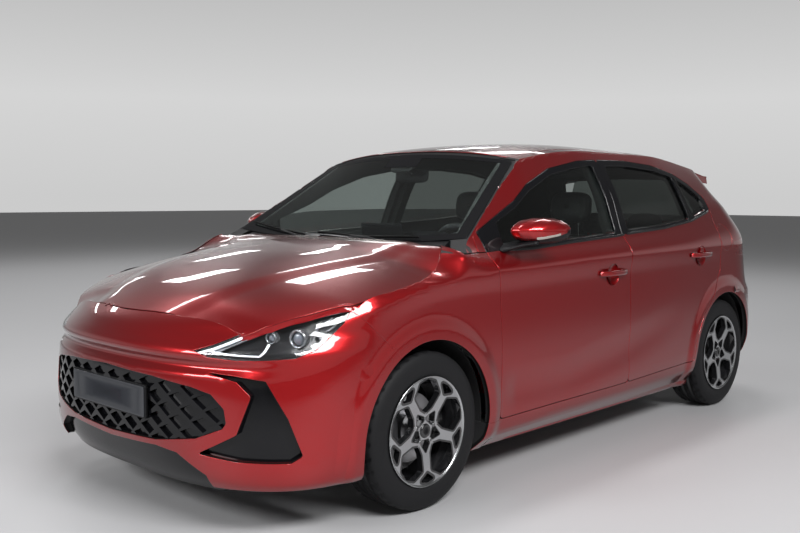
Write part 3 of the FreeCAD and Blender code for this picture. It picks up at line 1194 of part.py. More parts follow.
def make_front_liner(skins):
    liner = make_liner(FRONT_AXLE_X, LINER_INNER_Y)
    hole = Part.makeCylinder(TOWER_RADIUS, HEIGHT, V(FRONT_AXLE_X, STRUT_FOOT_Y, AXLE_Z))
    liner = liner.cut(hole)
    tower = Part.makeCylinder(TOWER_RADIUS + LINER_THICKNESS, KINGPIN_HEAD_Z + TOWER_HEIGHT - AXLE_Z - ARCH_RADIUS * 0.8,
                              V(FRONT_AXLE_X, STRUT_FOOT_Y, AXLE_Z + ARCH_RADIUS * 0.8))
    inside = Part.makeCylinder(TOWER_RADIUS, KINGPIN_HEAD_Z - AXLE_Z + SHUT_GAP, V(FRONT_AXLE_X, STRUT_FOOT_Y, AXLE_Z))
    tower = tower.cut(inside)
    wheel_room = Part.makeCylinder(LINER_RADIUS, HALF_WIDTH, V(FRONT_AXLE_X, LINER_INNER_Y, AXLE_Z), V(0, 1, 0))
    arms = block(FRONT_AXLE_X - SUBFRAME_LENGTH, FRONT_AXLE_X + SUBFRAME_LENGTH, 0, LINER_INNER_Y + SEAT_GAP,
                 0, SUBFRAME_Z + SUBFRAME_HEIGHT * 2.5)
    shell = liner.fuse(tower.cut(wheel_room)).cut(arms)
    for skin_shape in skins:
        shell = shell.cut(skin_shape)
    return shell


def make_rear_axle():
    x = station(TWIST_BEAM_X_SHARE)
    z = AXLE_Z - TWIST_BEAM_RADIUS
    beam = rod(V(x, -TRAILING_ARM_Y, z), V(x, TRAILING_ARM_Y, z), TWIST_BEAM_RADIUS)
    pieces = [beam]
    for sign in (1, -1):
        y0 = sign * TRAILING_ARM_Y - TRAILING_ARM_WIDTH / 2
        arm = along_y([(x + TWIST_BEAM_RADIUS * 4, z), (x + TWIST_BEAM_RADIUS * 4, z + TWIST_BEAM_RADIUS),
                       (REAR_AXLE_X - TWIST_BEAM_RADIUS, AXLE_Z + TWIST_BEAM_RADIUS * 0.8),
                       (REAR_AXLE_X - TWIST_BEAM_RADIUS, AXLE_Z - TWIST_BEAM_RADIUS), (x, z - TWIST_BEAM_RADIUS)],
                      y0, y0 + TRAILING_ARM_WIDTH)
        pieces.append(arm)
        pieces.append(rod(V(REAR_AXLE_X, sign * TRAILING_ARM_Y, AXLE_Z), V(REAR_AXLE_X, sign * TRACK_HALF, AXLE_Z),
                          BORE_RADIUS - SEAT_GAP))
        seat_z = BENCH_Z - CUSHION_THICKNESS / 2 - FLOOR_THICKNESS - SEAT_GAP
        pieces.append(block(x + TWIST_BEAM_RADIUS * 2, x + TWIST_BEAM_RADIUS * 3.6, y0, y0 + TRAILING_ARM_WIDTH, z, seat_z))
        damper_y = sign * (REAR_TUB_INNER_Y + DAMPER_RADIUS + SHUT_GAP)
        pieces.append(rod(V(REAR_AXLE_X, damper_y, AXLE_Z),
                          V(REAR_AXLE_X - TWIST_BEAM_RADIUS, damper_y, AXLE_Z + LINER_RADIUS * 0.96), DAMPER_RADIUS))
    return fused(pieces)


def make_exhaust():
    front = ENGINE_X - ENGINE_LENGTH / 2 + PIPE_RADIUS * 1.2
    back = station(1.10)
    pipe = rod(V(front, 0, PIPE_Z + PIPE_RADIUS), V(back, 0, PIPE_Z + PIPE_RADIUS), PIPE_RADIUS)
    silencer = block(back - SILENCER_LENGTH * 0.5, back + SILENCER_LENGTH * 0.5, -SILENCER_WIDTH / 2, SILENCER_WIDTH / 2,
                     PIPE_Z, PIPE_Z + SILENCER_HEIGHT)
    riser = rod(V(front, 0, PIPE_Z + PIPE_RADIUS), V(front, 0, ENGINE_Z - SEAT_GAP), PIPE_RADIUS)
    return fused([pipe, silencer, riser])


def make_engine():
    engine = block(ENGINE_X - ENGINE_LENGTH / 2, ENGINE_X + ENGINE_LENGTH / 2, -ENGINE_WIDTH / 2, ENGINE_WIDTH / 2,
                   ENGINE_Z, ENGINE_Z + ENGINE_HEIGHT)
    radiator = block(RADIATOR_X, RADIATOR_X + RADIATOR_THICKNESS, -RADIATOR_WIDTH / 2, RADIATOR_WIDTH / 2,
                     ENGINE_Z, ENGINE_Z + RADIATOR_HEIGHT)
    return Part.makeCompound([engine, radiator])


def mirror_section(share, depth_share, tall_share):
    """Closed outline of the mirror housing across the car at one place."""
    y = share * HALF_WIDTH
    run = (share - MIRROR_AT_SHARES[0]) / (MIRROR_AT_SHARES[-1] - MIRROR_AT_SHARES[0])
    back = MIRROR_BACK_X - MIRROR_SWEEP * run
    long = MIRROR_LENGTH * depth_share
    half = MIRROR_HEIGHT / 2 * tall_share
    shares = ((0.0, 0.0), (0.0, 0.80), (0.12, 0.97), (0.45, 0.96), (0.78, 0.70), (1.0, 0.05),
              (0.84, -0.62), (0.45, -0.92), (0.12, -0.97), (0.0, -0.80))
    points = [V(back + a * long, y, MIRROR_Z + b * half) for a, b in shares]
    line = Part.BSplineCurve()
    line.interpolate(points, True)
    return Part.Wire([line.toShape()])


def make_mirror():
    """Left door mirror: a swept housing on a short arm from the door."""
    wires = [mirror_section(*shares) for shares in zip(MIRROR_AT_SHARES, MIRROR_DEPTH_SHARES, MIRROR_TALL_SHARES)]
    housing = Part.makeLoft(wires, True)
    x = MIRROR_BACK_X + MIRROR_LENGTH * 0.62
    foot_y = side_y(x, MIRROR_Z - MIRROR_HEIGHT * 0.62) + SEAT_GAP
    arm = block(x - MIRROR_ARM, x + MIRROR_ARM * 1.5, foot_y, MIRROR_AT_SHARES[2] * HALF_WIDTH,
                MIRROR_Z - MIRROR_HEIGHT * 0.66, MIRROR_Z - MIRROR_HEIGHT * 0.36)
    return fused([housing, arm])


def make_front_seat(y):
    """Seat cushion, backrest and separate head restraint on two posts."""
    x = SEAT_X
    rear = x - CUSHION_LENGTH * 0.55
    front = x + CUSHION_LENGTH * 0.55
    lean = BACKREST_LEAN_SHARE * BACKREST_HEIGHT
    cushion = along_y([(rear, CUSHION_Z), (front, CUSHION_Z), (front, CUSHION_Z + CUSHION_THICKNESS),
                       (rear + BACKREST_THICKNESS, CUSHION_Z + CUSHION_THICKNESS * 0.8), (rear, CUSHION_Z + CUSHION_THICKNESS)],
                      y - SEAT_WIDTH / 2, y + SEAT_WIDTH / 2, CUSHION_THICKNESS / 3)
    foot = CUSHION_Z + CUSHION_THICKNESS * 0.5
    back = along_y([(rear, foot), (rear + BACKREST_THICKNESS, foot),
                    (rear + BACKREST_THICKNESS * 0.8 - lean, foot + BACKREST_HEIGHT),
                    (rear - lean, foot + BACKREST_HEIGHT)],
                   y - SEAT_WIDTH * 0.46, y + SEAT_WIDTH * 0.46, BACKREST_THICKNESS / 3)
    top = V(rear - lean + BACKREST_THICKNESS * 0.35, y, foot + BACKREST_HEIGHT)
    head = block(top.x - HEADREST_THICKNESS / 2, top.x + HEADREST_THICKNESS / 2, y - HEADREST_WIDTH / 2,
                 y + HEADREST_WIDTH / 2, top.z + HEADREST_RISE, top.z + HEADREST_RISE + HEADREST_HEIGHT)
    posts = [rod(V(top.x, y + s * HEADREST_WIDTH / 5, top.z - BACKREST_THICKNESS / 2),
                 V(top.x, y + s * HEADREST_WIDTH / 5, top.z + HEADREST_RISE + POST_RADIUS), POST_RADIUS) for s in (1, -1)]
    floor_top = SILL_BOTTOM + FLOOR_THICKNESS + SEAT_GAP
    legs = [block(x - CUSHION_LENGTH * 0.4, x + CUSHION_LENGTH * 0.4, y + s * SEAT_WIDTH * 0.36 - RAIL_WIDTH / 4,
                  y + s * SEAT_WIDTH * 0.36 + RAIL_WIDTH / 4, floor_top, CUSHION_Z + RAIL_WIDTH / 4) for s in (1, -1)]
    return fused([cushion, back, head] + posts + legs)


def make_rear_bench():
    x = BENCH_X
    lean = BACKREST_LEAN_SHARE * BACKREST_HEIGHT
    base = BENCH_Z - CUSHION_THICKNESS / 2 + SEAT_GAP
    rear = station(0.965)
    cushion = along_y([(rear, base), (x + BENCH_LENGTH * 0.42, base), (x + BENCH_LENGTH * 0.42, base + CUSHION_THICKNESS),
                       (rear, base + CUSHION_THICKNESS)], -BENCH_WIDTH / 2, BENCH_WIDTH / 2, CUSHION_THICKNESS / 4)
    back = along_y([(rear + BACKREST_THICKNESS * 0.4, base + CUSHION_THICKNESS * 0.4),
                    (rear + BACKREST_THICKNESS * 1.5, base + CUSHION_THICKNESS * 0.4),
                    (rear + BACKREST_THICKNESS * 1.2 - lean, base + BACKREST_HEIGHT),
                    (rear + BACKREST_THICKNESS * 0.3 - lean, base + BACKREST_HEIGHT)],
                   -BENCH_WIDTH * 0.44, BENCH_WIDTH * 0.44, BACKREST_THICKNESS / 4)
    return fused([cushion, back])


def make_dashboard():
    front = station(0.10) - SEAT_GAP
    outline = [(front, HEIGHT * 0.42), (front, HEIGHT * 0.612), (station(0.20), HEIGHT * 0.64), (station(0.255), HEIGHT * 0.615),
               (station(0.275), HEIGHT * 0.545), (station(0.25), HEIGHT * 0.44), (station(0.20), HEIGHT * 0.40)]
    dash = along_y(outline, -DASH_WIDTH / 2, DASH_WIDTH / 2, STEERING_GRIP * 2)
    console = block(station(0.42), station(0.22), -SEAT_WIDTH * 0.17, SEAT_WIDTH * 0.17,
                    SILL_BOTTOM + FLOOR_THICKNESS * 4 + SEAT_GAP, HEIGHT * 0.36)
    link = block(station(0.26), station(0.20), -SEAT_WIDTH * 0.17, SEAT_WIDTH * 0.17, HEIGHT * 0.30, HEIGHT * 0.45)
    return fused([dash, console, link])


def steering_axis():
    axis = V(-math.cos(STEERING_TILT_SHARE), 0, math.sin(STEERING_TILT_SHARE))
    return axis


def make_steering_wheel():
    centre = V(WHEEL_HUB_X, SEAT_Y, WHEEL_HUB_Z)
    axis = steering_axis()
    rim = Part.makeTorus(STEERING_RADIUS, STEERING_GRIP, centre, axis)
    hub = Part.makeCylinder(STEERING_HUB, STEERING_GRIP * 3, centre - axis * STEERING_GRIP * 2.4, axis)
    pieces = [rim, hub]
    across = V(0, 1, 0)
    down = axis.cross(across)
    for direction in (across, across * -1, down):
        pieces.append(rod(centre - axis * STEERING_GRIP * 0.6, centre + direction * STEERING_RADIUS - axis * STEERING_GRIP * 0.2,
                          STEERING_GRIP * 0.8))
    return fused(pieces)


def make_column():
    """Steering column shroud between the dashboard and the steering wheel."""
    centre = V(WHEEL_HUB_X, SEAT_Y, WHEEL_HUB_Z)
    axis = steering_axis()
    start = centre - axis * (STEERING_GRIP * 2.4 + SEAT_GAP)
    return rod(start, start - axis * STEERING_RADIUS * 0.8, STEERING_HUB * 0.7)


def make_cowl(bonnet_room):
    front = station(0.077)
    profile = [(front, HEIGHT * 0.632), (front, HEIGHT * 0.650), (station(0.11), HEIGHT * 0.660),
               (station(0.123), HEIGHT * 0.672), (station(0.135), HEIGHT * 0.685), (station(0.135), HEIGHT * 0.632)]
    cowl = along_y(profile, -FLOOR_HALF_WIDTH * 0.96, FLOOR_HALF_WIDTH * 0.96)
    return cowl.cut(above_screen(SCREEN_THICKNESS + SEAT_GAP)).cut(bonnet_room)


def largest(shape):
    return max(shape.Solids, key=lambda solid: solid.Volume)


def save(name, shape):
    solids = shape.Solids
    result = solids[0] if len(solids) == 1 else Part.makeCompound(solids)
    if not result.isValid():
        print("not valid:", name)
    print(name, len(solids), round(result.Volume / 1e6, 2))
    result.exportStep("parts/" + name + ".step")


def main():
    os.makedirs("parts", exist_ok=True)
    room = bonnet_space(SHUT_GAP)
    save("bonnet", make_bonnet())
    save("headlamps", both(make_headlamp(room)))
    bumper = make_bumper(room)
    save("front_bumper", bumper)
    save("grille", make_grille())
    fender = make_fender(room)
    save("front_fenders", both(fender))
    save("windscreen", make_screen())
    save("roof", make_roof())
    body_side = make_body_side()
    save("body_sides", both(body_side))
    save("tail_lamps", both(make_tail_lamp()))
    save("tailgate", make_tailgate())
    save("tailgate_glass", make_rear_glass())
    rear_bumper = make_rear_bumper()
    save("rear_bumper", rear_bumper)
    save("floor_pan", make_floor().cut(body_side).cut(mirrored(body_side)))
    front_liner = make_front_liner([bumper, body_side])
    rear_liner = make_liner(REAR_AXLE_X, REAR_TUB_INNER_Y).cut(body_side).cut(rear_bumper)
    rear_liner = rear_liner.cut(block(-LENGTH, 0, 0, REAR_TUB_INNER_Y + SEAT_GAP, 0, AXLE_Z + HUB_RADIUS))
    save("wheel_housings", Part.makeCompound(both(largest(front_liner)).Solids + both(largest(rear_liner)).Solids))
    save("cowl", make_cowl(room))
    save("front_subframe", make_front_frame())
    save("rear_axle", make_rear_axle())
    save("exhaust", make_exhaust())
    save("engine", make_engine())
    save("dashboard", fused([make_dashboard(), make_column()]))
    save("front_seats", Part.makeCompound([make_front_seat(SEAT_Y), make_front_seat(-SEAT_Y)]))
    save("rear_bench", make_rear_bench())
    save("steering_wheel", make_steering_wheel())
    knuckle = make_knuckle()
    save("knuckle_left", knuckle)
    save("knuckle_right", mirrored(knuckle))
    tyre, rim, disc = make_tyre(), make_rim(), make_disc()
    for end, side, place, sign in wheel_places():
        for name, shape in (("tyre", tyre), ("rim", rim), ("brake_disc", disc)):
            save(name + "_" + end + "_" + side, set_wheel(shape, place, sign))
    left_door = door_solid(FRONT_DOOR_SHARES, [FRONT_WINDOW_SHARES]).cut(front_door_slant())
    left_door = left_door.cut(handle_dish(FRONT_DISH_SHARES))
    mirror = make_mirror()
    mirror = mirror.cut(left_door)
    save("mirror_left", mirror)
    save("mirror_right", mirrored(mirror))
    door = door_solid(REAR_DOOR_SHARES, [REAR_WINDOW_SHARES, QUARTER_WINDOW_SHARES]).cut(handle_dish(REAR_DISH_SHARES))
    for name, flip in (("left", False), ("right", True)):
        save("front_door_" + name, mirrored(left_door) if flip else left_door)
        save("rear_door_" + name, mirrored(door) if flip else door)
        pane = window_pane(FRONT_WINDOW_SHARES)
        save("front_door_glass_" + name, mirrored(pane) if flip else pane)
        pane = Part.makeCompound([window_pane(REAR_WINDOW_SHARES), window_pane(QUARTER_WINDOW_SHARES)])
        save("rear_door_glass_" + name, mirrored(pane) if flip else pane)


if __name__ == "__main__":
    main()
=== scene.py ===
"""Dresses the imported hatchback: smooth painted skins, glass, lamps, wheels, cabin, floor and light."""

import logging
import math
from dataclasses import dataclass, field
from enum import Enum
from typing import Callable, Dict, List, Optional, Sequence, Tuple

import bmesh
import bpy
import numpy as np
from mathutils import Matrix, Vector
from mathutils.geometry import delaunay_2d_cdt


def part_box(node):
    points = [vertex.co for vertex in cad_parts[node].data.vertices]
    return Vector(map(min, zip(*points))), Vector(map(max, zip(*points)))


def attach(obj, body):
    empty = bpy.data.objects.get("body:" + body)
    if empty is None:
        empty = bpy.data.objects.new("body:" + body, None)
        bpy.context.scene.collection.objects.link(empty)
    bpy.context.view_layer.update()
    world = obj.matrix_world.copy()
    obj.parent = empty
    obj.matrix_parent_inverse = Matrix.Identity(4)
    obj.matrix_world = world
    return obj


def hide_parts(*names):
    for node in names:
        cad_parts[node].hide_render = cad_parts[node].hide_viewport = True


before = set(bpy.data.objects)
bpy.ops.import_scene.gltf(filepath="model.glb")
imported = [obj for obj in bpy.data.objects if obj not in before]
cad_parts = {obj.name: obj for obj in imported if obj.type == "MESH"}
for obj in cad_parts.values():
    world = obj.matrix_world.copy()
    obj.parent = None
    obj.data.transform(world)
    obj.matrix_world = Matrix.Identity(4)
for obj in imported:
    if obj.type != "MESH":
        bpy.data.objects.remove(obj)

logging.basicConfig(level=logging.INFO, format="%(levelname)s %(message)s")
LOG = logging.getLogger("hatchback")

Array = np.ndarray
Points = Sequence[Tuple[float, float]]

# Sizes of the car, in metres
LENGTH = 4.113
HALF_WIDTH = 0.8985
HEIGHT = 1.502
WHEEL_BASE = 2.570
FRONT_AXLE_X = LENGTH / 2 - 0.870
REAR_AXLE_X = FRONT_AXLE_X - WHEEL_BASE
TRACK_HALF = 0.770
AXLE_Z = 0.3105
ARCH_RADIUS = 0.359
ARCH_FLARE = 0.011
ARCH_FLARE_WIDTH = 0.066
TUMBLE = 0.5
PROUD = 0.001
ROLL = 0.0016
HEM = 0.012
PANEL_PITCH = 0.018
NOSE_PITCH = 0.016
PANE_THICKNESS = 0.0035
TINY = 1e-12


class Curve:
    """Smooth curve through points that never overshoots them, straight past its ends."""

    def __init__(self, xs: Sequence[float], ys: Sequence[float]) -> None:
        """Keeps the points and works out the slopes.

        Args:
            xs: places of the points.
            ys: heights of the points.
        """
        self.xs = np.array(xs, float)
        self.ys = np.array(ys, float)
        self.marks = self._slopes()

    def _slopes(self) -> Array:
        """Slope of the curve at each of its points.

        Returns:
            One slope for each point.
        """
        steps = np.diff(self.xs)
        rises = np.diff(self.ys) / steps
        marks = [rises[0]]
        for i in range(1, len(self.xs) - 1):
            if rises[i - 1] * rises[i] <= 0:
                marks.append(0.0)
            else:
                near = 2 * steps[i] + steps[i - 1]
                far = steps[i] + 2 * steps[i - 1]
                marks.append((near + far) / (near / rises[i - 1] + far / rises[i]))
        marks.append(rises[-1])
        return np.array(marks)

    def __call__(self, x: Array) -> Array:
        """Values of the curve.

        Args:
            x: places along the curve.

        Returns:
            The curve's height at each place.
        """
        x = np.asarray(x, float)
        i = np.clip(np.searchsorted(self.xs, x) - 1, 0, len(self.xs) - 2)
        step = self.xs[i + 1] - self.xs[i]
        t = (x - self.xs[i]) / step
        rise = self.ys[i + 1] - self.ys[i]
        turn_in = self.marks[i] * step - rise
        turn_out = rise - self.marks[i + 1] * step
        inside = self.ys[i] + rise * t + t * (1 - t) * (turn_in * (1 - t) + turn_out * t)
        low = self.ys[0] + self.marks[0] * (x - self.xs[0])
        high = self.ys[-1] + self.marks[-1] * (x - self.xs[-1])
        return np.where(x <= self.xs[0], low, np.where(x >= self.xs[-1], high, inside))


def smooth(t: Array) -> Array:
    """Smooth step from 0 to 1."""
    t = np.clip(t, 0.0, 1.0)
    return t * t * (3 - 2 * t)


def station(share: float) -> float:
    """Place along the car of a share of the wheelbase behind the front axle."""
    return FRONT_AXLE_X - share * WHEEL_BASE


STATIONS = (-0.17, -0.058, 0.0, 0.049, 0.088, 0.133, 0.166, 0.255, 0.342, 0.578, 0.812, 1.0, 1.162)
SIDE_WIDTHS = (
    (0.890, 0.890, 0.890, 0.890, 0.890, 0.890, 0.890, 0.890, 0.891, 0.892, 0.890, 0.885, 0.880),
    (0.950, 0.959, 0.959, 0.959, 0.959, 0.959, 0.959, 0.961, 0.963, 0.966, 0.966, 0.962, 0.957),
    (0.976, 0.979, 0.979, 0.979, 0.978, 0.977, 0.977, 0.978, 0.979, 0.984, 0.984, 0.984, 0.978),
    (0.983, 0.984, 0.984, 0.983, 0.982, 0.982, 0.982, 0.983, 0.984, 0.987, 0.988, 0.988, 0.983),
    (0.976, 0.978, 0.977, 0.976, 0.975, 0.975, 0.975, 0.976, 0.977, 0.979, 0.982, 0.979, 0.974),
    (0.971, 0.982, 0.984, 0.984, 0.984, 0.984, 0.984, 0.985, 0.986, 0.988, 0.988, 0.980, 0.972),
    (0.955, 0.964, 0.958, 0.935, 0.945, 0.925, 0.915, 0.918, 0.920, 0.919, 0.904, 0.874, 0.857),
    (0.940, 0.952, 0.940, 0.890, 0.890, 0.890, 0.882, 0.850, 0.828, 0.835, 0.821, 0.779, 0.757),
    (0.915, 0.929, 0.913, 0.846, 0.829, 0.858, 0.832, 0.758, 0.699, 0.692, 0.679, 0.659, 0.640))
SIDE_HEIGHTS = (
    (0.1065, 0.1065, 0.1065, 0.1065, 0.1065, 0.1065, 0.1065, 0.108, 0.110, 0.110, 0.113, 0.127, 0.140),
    (0.146, 0.150, 0.150, 0.152, 0.153, 0.154, 0.155, 0.159, 0.163, 0.169, 0.180, 0.193, 0.200),
    (0.220, 0.222, 0.223, 0.224, 0.225, 0.226, 0.226, 0.229, 0.232, 0.236, 0.246, 0.260, 0.266),
    (0.346, 0.355, 0.360, 0.365, 0.369, 0.371, 0.373, 0.376, 0.379, 0.383, 0.390, 0.400, 0.400),
    (0.460, 0.513, 0.533, 0.541, 0.543, 0.543, 0.543, 0.545, 0.547, 0.553, 0.558, 0.561, 0.559),
    (0.504, 0.560, 0.583, 0.590, 0.593, 0.596, 0.602, 0.606, 0.609, 0.618, 0.621, 0.622, 0.622),
    (0.534, 0.578, 0.596, 0.619, 0.655, 0.656, 0.657, 0.663, 0.671, 0.687, 0.714, 0.751, 0.766),
    (0.555, 0.586, 0.605, 0.642, 0.671, 0.678, 0.690, 0.745, 0.790, 0.812, 0.822, 0.829, 0.826),
    (0.566, 0.593, 0.613, 0.656, 0.679, 0.6935, 0.731, 0.827, 0.922, 0.963, 0.962, 0.933, 0.892))


SCALLOP_DEPTH, SCALLOP_REACH = 0.011, 0.125
SCALLOP_AT = (0.16, 0.22, 0.34, 0.47, 0.62, 0.70, 0.80)
SCALLOP_Z = Curve(SCALLOP_AT, (0.275, 0.262, 0.258, 0.285, 0.325, 0.352, 0.385))
SCALLOP_STRENGTH = Curve(SCALLOP_AT, (0.25, 1.0, 1.0, 0.8, 0.55, 0.30, 0.0))


def scallop(x: Array, z: Array) -> Array:
    """How far the lower doors are hollowed.

    Args:
        x: places along the car.
        z: heights.

    Returns:
        The values, one for each input.
    """
    share = (FRONT_AXLE_X - x) / WHEEL_BASE
    start = smooth((share - SCALLOP_AT[0]) / (SCALLOP_AT[1] - SCALLOP_AT[0]))
    strength = np.where((share > SCALLOP_AT[0]) & (share < SCALLOP_AT[-1]), SCALLOP_STRENGTH(share) * start,
                        0.0)
    return SCALLOP_DEPTH * strength * (1 - smooth(np.abs(z - SCALLOP_Z(share) * HEIGHT) / SCALLOP_REACH))


class SideLines:
    """Half width of the body side from lines that run along the car."""

    def __init__(self) -> None:
        """Makes a curve of widths and one of heights for each line."""
        self.widths = [Curve(STATIONS, w) for w in SIDE_WIDTHS]
        self.heights = [Curve(STATIONS, h) for h in SIDE_HEIGHTS]

    def section(self, x: Array) -> Tuple[Array, Array]:
        """Heights and half widths of the lines at places along the car.

        Args:
            x: places along the car.

        Returns:
            Heights and half widths, a row for each line.
        """
        at = np.clip((FRONT_AXLE_X - x) / WHEEL_BASE, STATIONS[0], STATIONS[-1])
        high = np.stack([c(at) * HEIGHT for c in self.heights])
        wide = np.stack([c(at) * HALF_WIDTH for c in self.widths])
        return high, wide

    def y(self, x: Array, z: Array) -> Array:
        """Half width at x and z, with the swollen rings round the wheel arches.

        Args:
            x: places along the car.
            z: heights.

        Returns:
            The values, one for each input.
        """
        x, z = np.broadcast_arrays(np.asarray(x, float), np.asarray(z, float))
        flat = self._inner(x.ravel(), z.ravel()).reshape(x.shape)
        swell = np.zeros_like(x)
        for axle in (FRONT_AXLE_X, REAR_AXLE_X):
            reach = np.hypot(x - axle, z - AXLE_Z) - ARCH_RADIUS
            swell = np.maximum(swell, 1 - smooth((reach - ARCH_FLARE_WIDTH / 2) / ARCH_FLARE_WIDTH))
        return flat + ARCH_FLARE * swell - scallop(x, z)

    def _inner(self, x: Array, z: Array) -> Array:
        """Half width without the rings and the hollow of the doors.

        Args:
            x: places along the car.
            z: heights.

        Returns:
            The values, one for each input.
        """
        high, wide = self.section(x)
        above = np.maximum(0.0, z - high[-1])
        at = np.clip(z, high[0], high[-1])
        step = np.diff(high, axis=0)
        rise = np.diff(wide, axis=0) / step
        marks = np.zeros_like(high)
        marks[0], marks[-1] = rise[0], rise[-1]
        near = 2 * step[1:] + step[:-1]
        far = step[1:] + 2 * step[:-1]
        turn = rise[:-1] * rise[1:] > 0
        low = np.where(turn, rise[:-1], 1.0)
        top = np.where(turn, rise[1:], 1.0)
        marks[1:-1] = np.where(turn, (near + far) / (near / low + far / top), 0.0)
        i = np.clip((at[None, :] > high).sum(axis=0) - 1, 0, len(high) - 2)
        n = np.arange(len(x))
        h, w = step[i, n], wide[i, n]
        t = (at - high[i, n]) / h
        up = wide[i + 1, n] - w
        turn_in = marks[i, n] * h - up
        turn_out = up - marks[i + 1, n] * h
        return w + up * t + t * (1 - t) * (turn_in * (1 - t) + turn_out * t) - TUMBLE * above


SIDE = SideLines()
NOSE_X = 0.3525 * LENGTH
TAIL_X = -0.3647 * LENGTH
NOSE_Z = (0.10, 0.158, 0.22, 0.30, 0.36, 0.44, 0.466, 0.493, 0.519, 0.546, 0.575)
TAIL_Z = (0.10, 0.17, 0.26, 0.37, 0.43, 0.47, 0.52, 0.58, 0.64, 0.70, 0.77, 0.83, 0.89, 0.95)
NOSE_REACH = Curve(NOSE_Z, (0.86, 0.94, 0.975, 0.995, 1.0, 0.985, 0.948, 0.90, 0.825, 0.72, 0.60))
NOSE_POWER = Curve(NOSE_Z, (3.0, 2.9, 2.7, 2.5, 2.4, 2.3, 2.15, 2.0, 2.0, 2.0, 2.0))
UNDERCUT_DEPTH, UNDERCUT_Z, UNDERCUT_REACH = 0.026, 0.412, 0.026
UNDERCUT_FADE = (0.34, 0.22)
TAIL_REACH = Curve(TAIL_Z, (0.82, 0.92, 0.985, 1.0, 0.975, 0.895, 0.855, 0.84, 0.81, 0.745, 0.65, 0.555,
                            0.46, 0.36))
TAIL_POWER = Curve(TAIL_Z, (3.0, 3.1, 3.3, 3.3, 3.3, 3.1, 3.0, 2.9, 2.8, 2.7, 2.6, 2.6, 2.6, 2.6))
ROOF_MIDDLE = Curve((0.30, 0.342, 0.42, 0.50, 0.63, 0.80, 0.96, 1.08, 1.18),
                    (0.947, 0.963, 0.980, 0.992, 1.0, 0.994, 0.974, 0.949, 0.920))
BONNET_AT = (-0.32, -0.298, -0.262, -0.2376, -0.20, -0.144, -0.058, 0.0, 0.024, 0.049, 0.078, 0.12)
BONNET_MIDDLE = Curve(BONNET_AT, (0.500, 0.519, 0.549, 0.566, 0.588, 0.614, 0.644, 0.660, 0.666, 0.672,
                                  0.678, 0.684))
BONNET_EDGE_Z = Curve(BONNET_AT, (0.470, 0.478, 0.489, 0.515, 0.537, 0.558, 0.586, 0.603, 0.614, 0.642,
                                  0.6785, 0.688))
BONNET_EDGE_Y = Curve(BONNET_AT, (0.50, 0.56, 0.668, 0.757, 0.835, 0.929, 0.952, 0.945, 0.924, 0.890, 0.829,
                                  0.800))


class Form:
    """A smooth surface: two numbers give a point on it."""

    facing = (0.0, 1.0, 0.0)
    stretch = (1.0, 1.0)

    def at(self, u: Array, v: Array) -> Array:
        """Points of the surface for two numbers each."""
        raise NotImplementedError

    def normal(self, u: Array, v: Array) -> Array:
        """Unit normals from small steps on the surface.

        Args:
            u: the form's first number.
            v: the form's second number.

        Returns:
            A unit normal for each point.
        """
        e = 4e-4
        du = self.at(u + e, v) - self.at(u - e, v)
        dv = self.at(u, v + e) - self.at(u, v - e)
        n = np.cross(du, dv)
        n /= np.maximum(np.linalg.norm(n, axis=-1, keepdims=True), TINY)
        return n * np.sign(n @ np.array(self.facing))[..., None]


class SideForm(Form):
    """The left flank in x and z, sunk by a depth."""

    def __init__(self, depth: float = 0.0) -> None:
        """Keeps the depth below the painted surface."""
        self.depth = depth

    def at(self, u: Array, v: Array) -> Array:
        """Points of the flank at x and z."""
        return np.stack([u, SIDE.y(u, v) - self.depth, v], axis=-1)


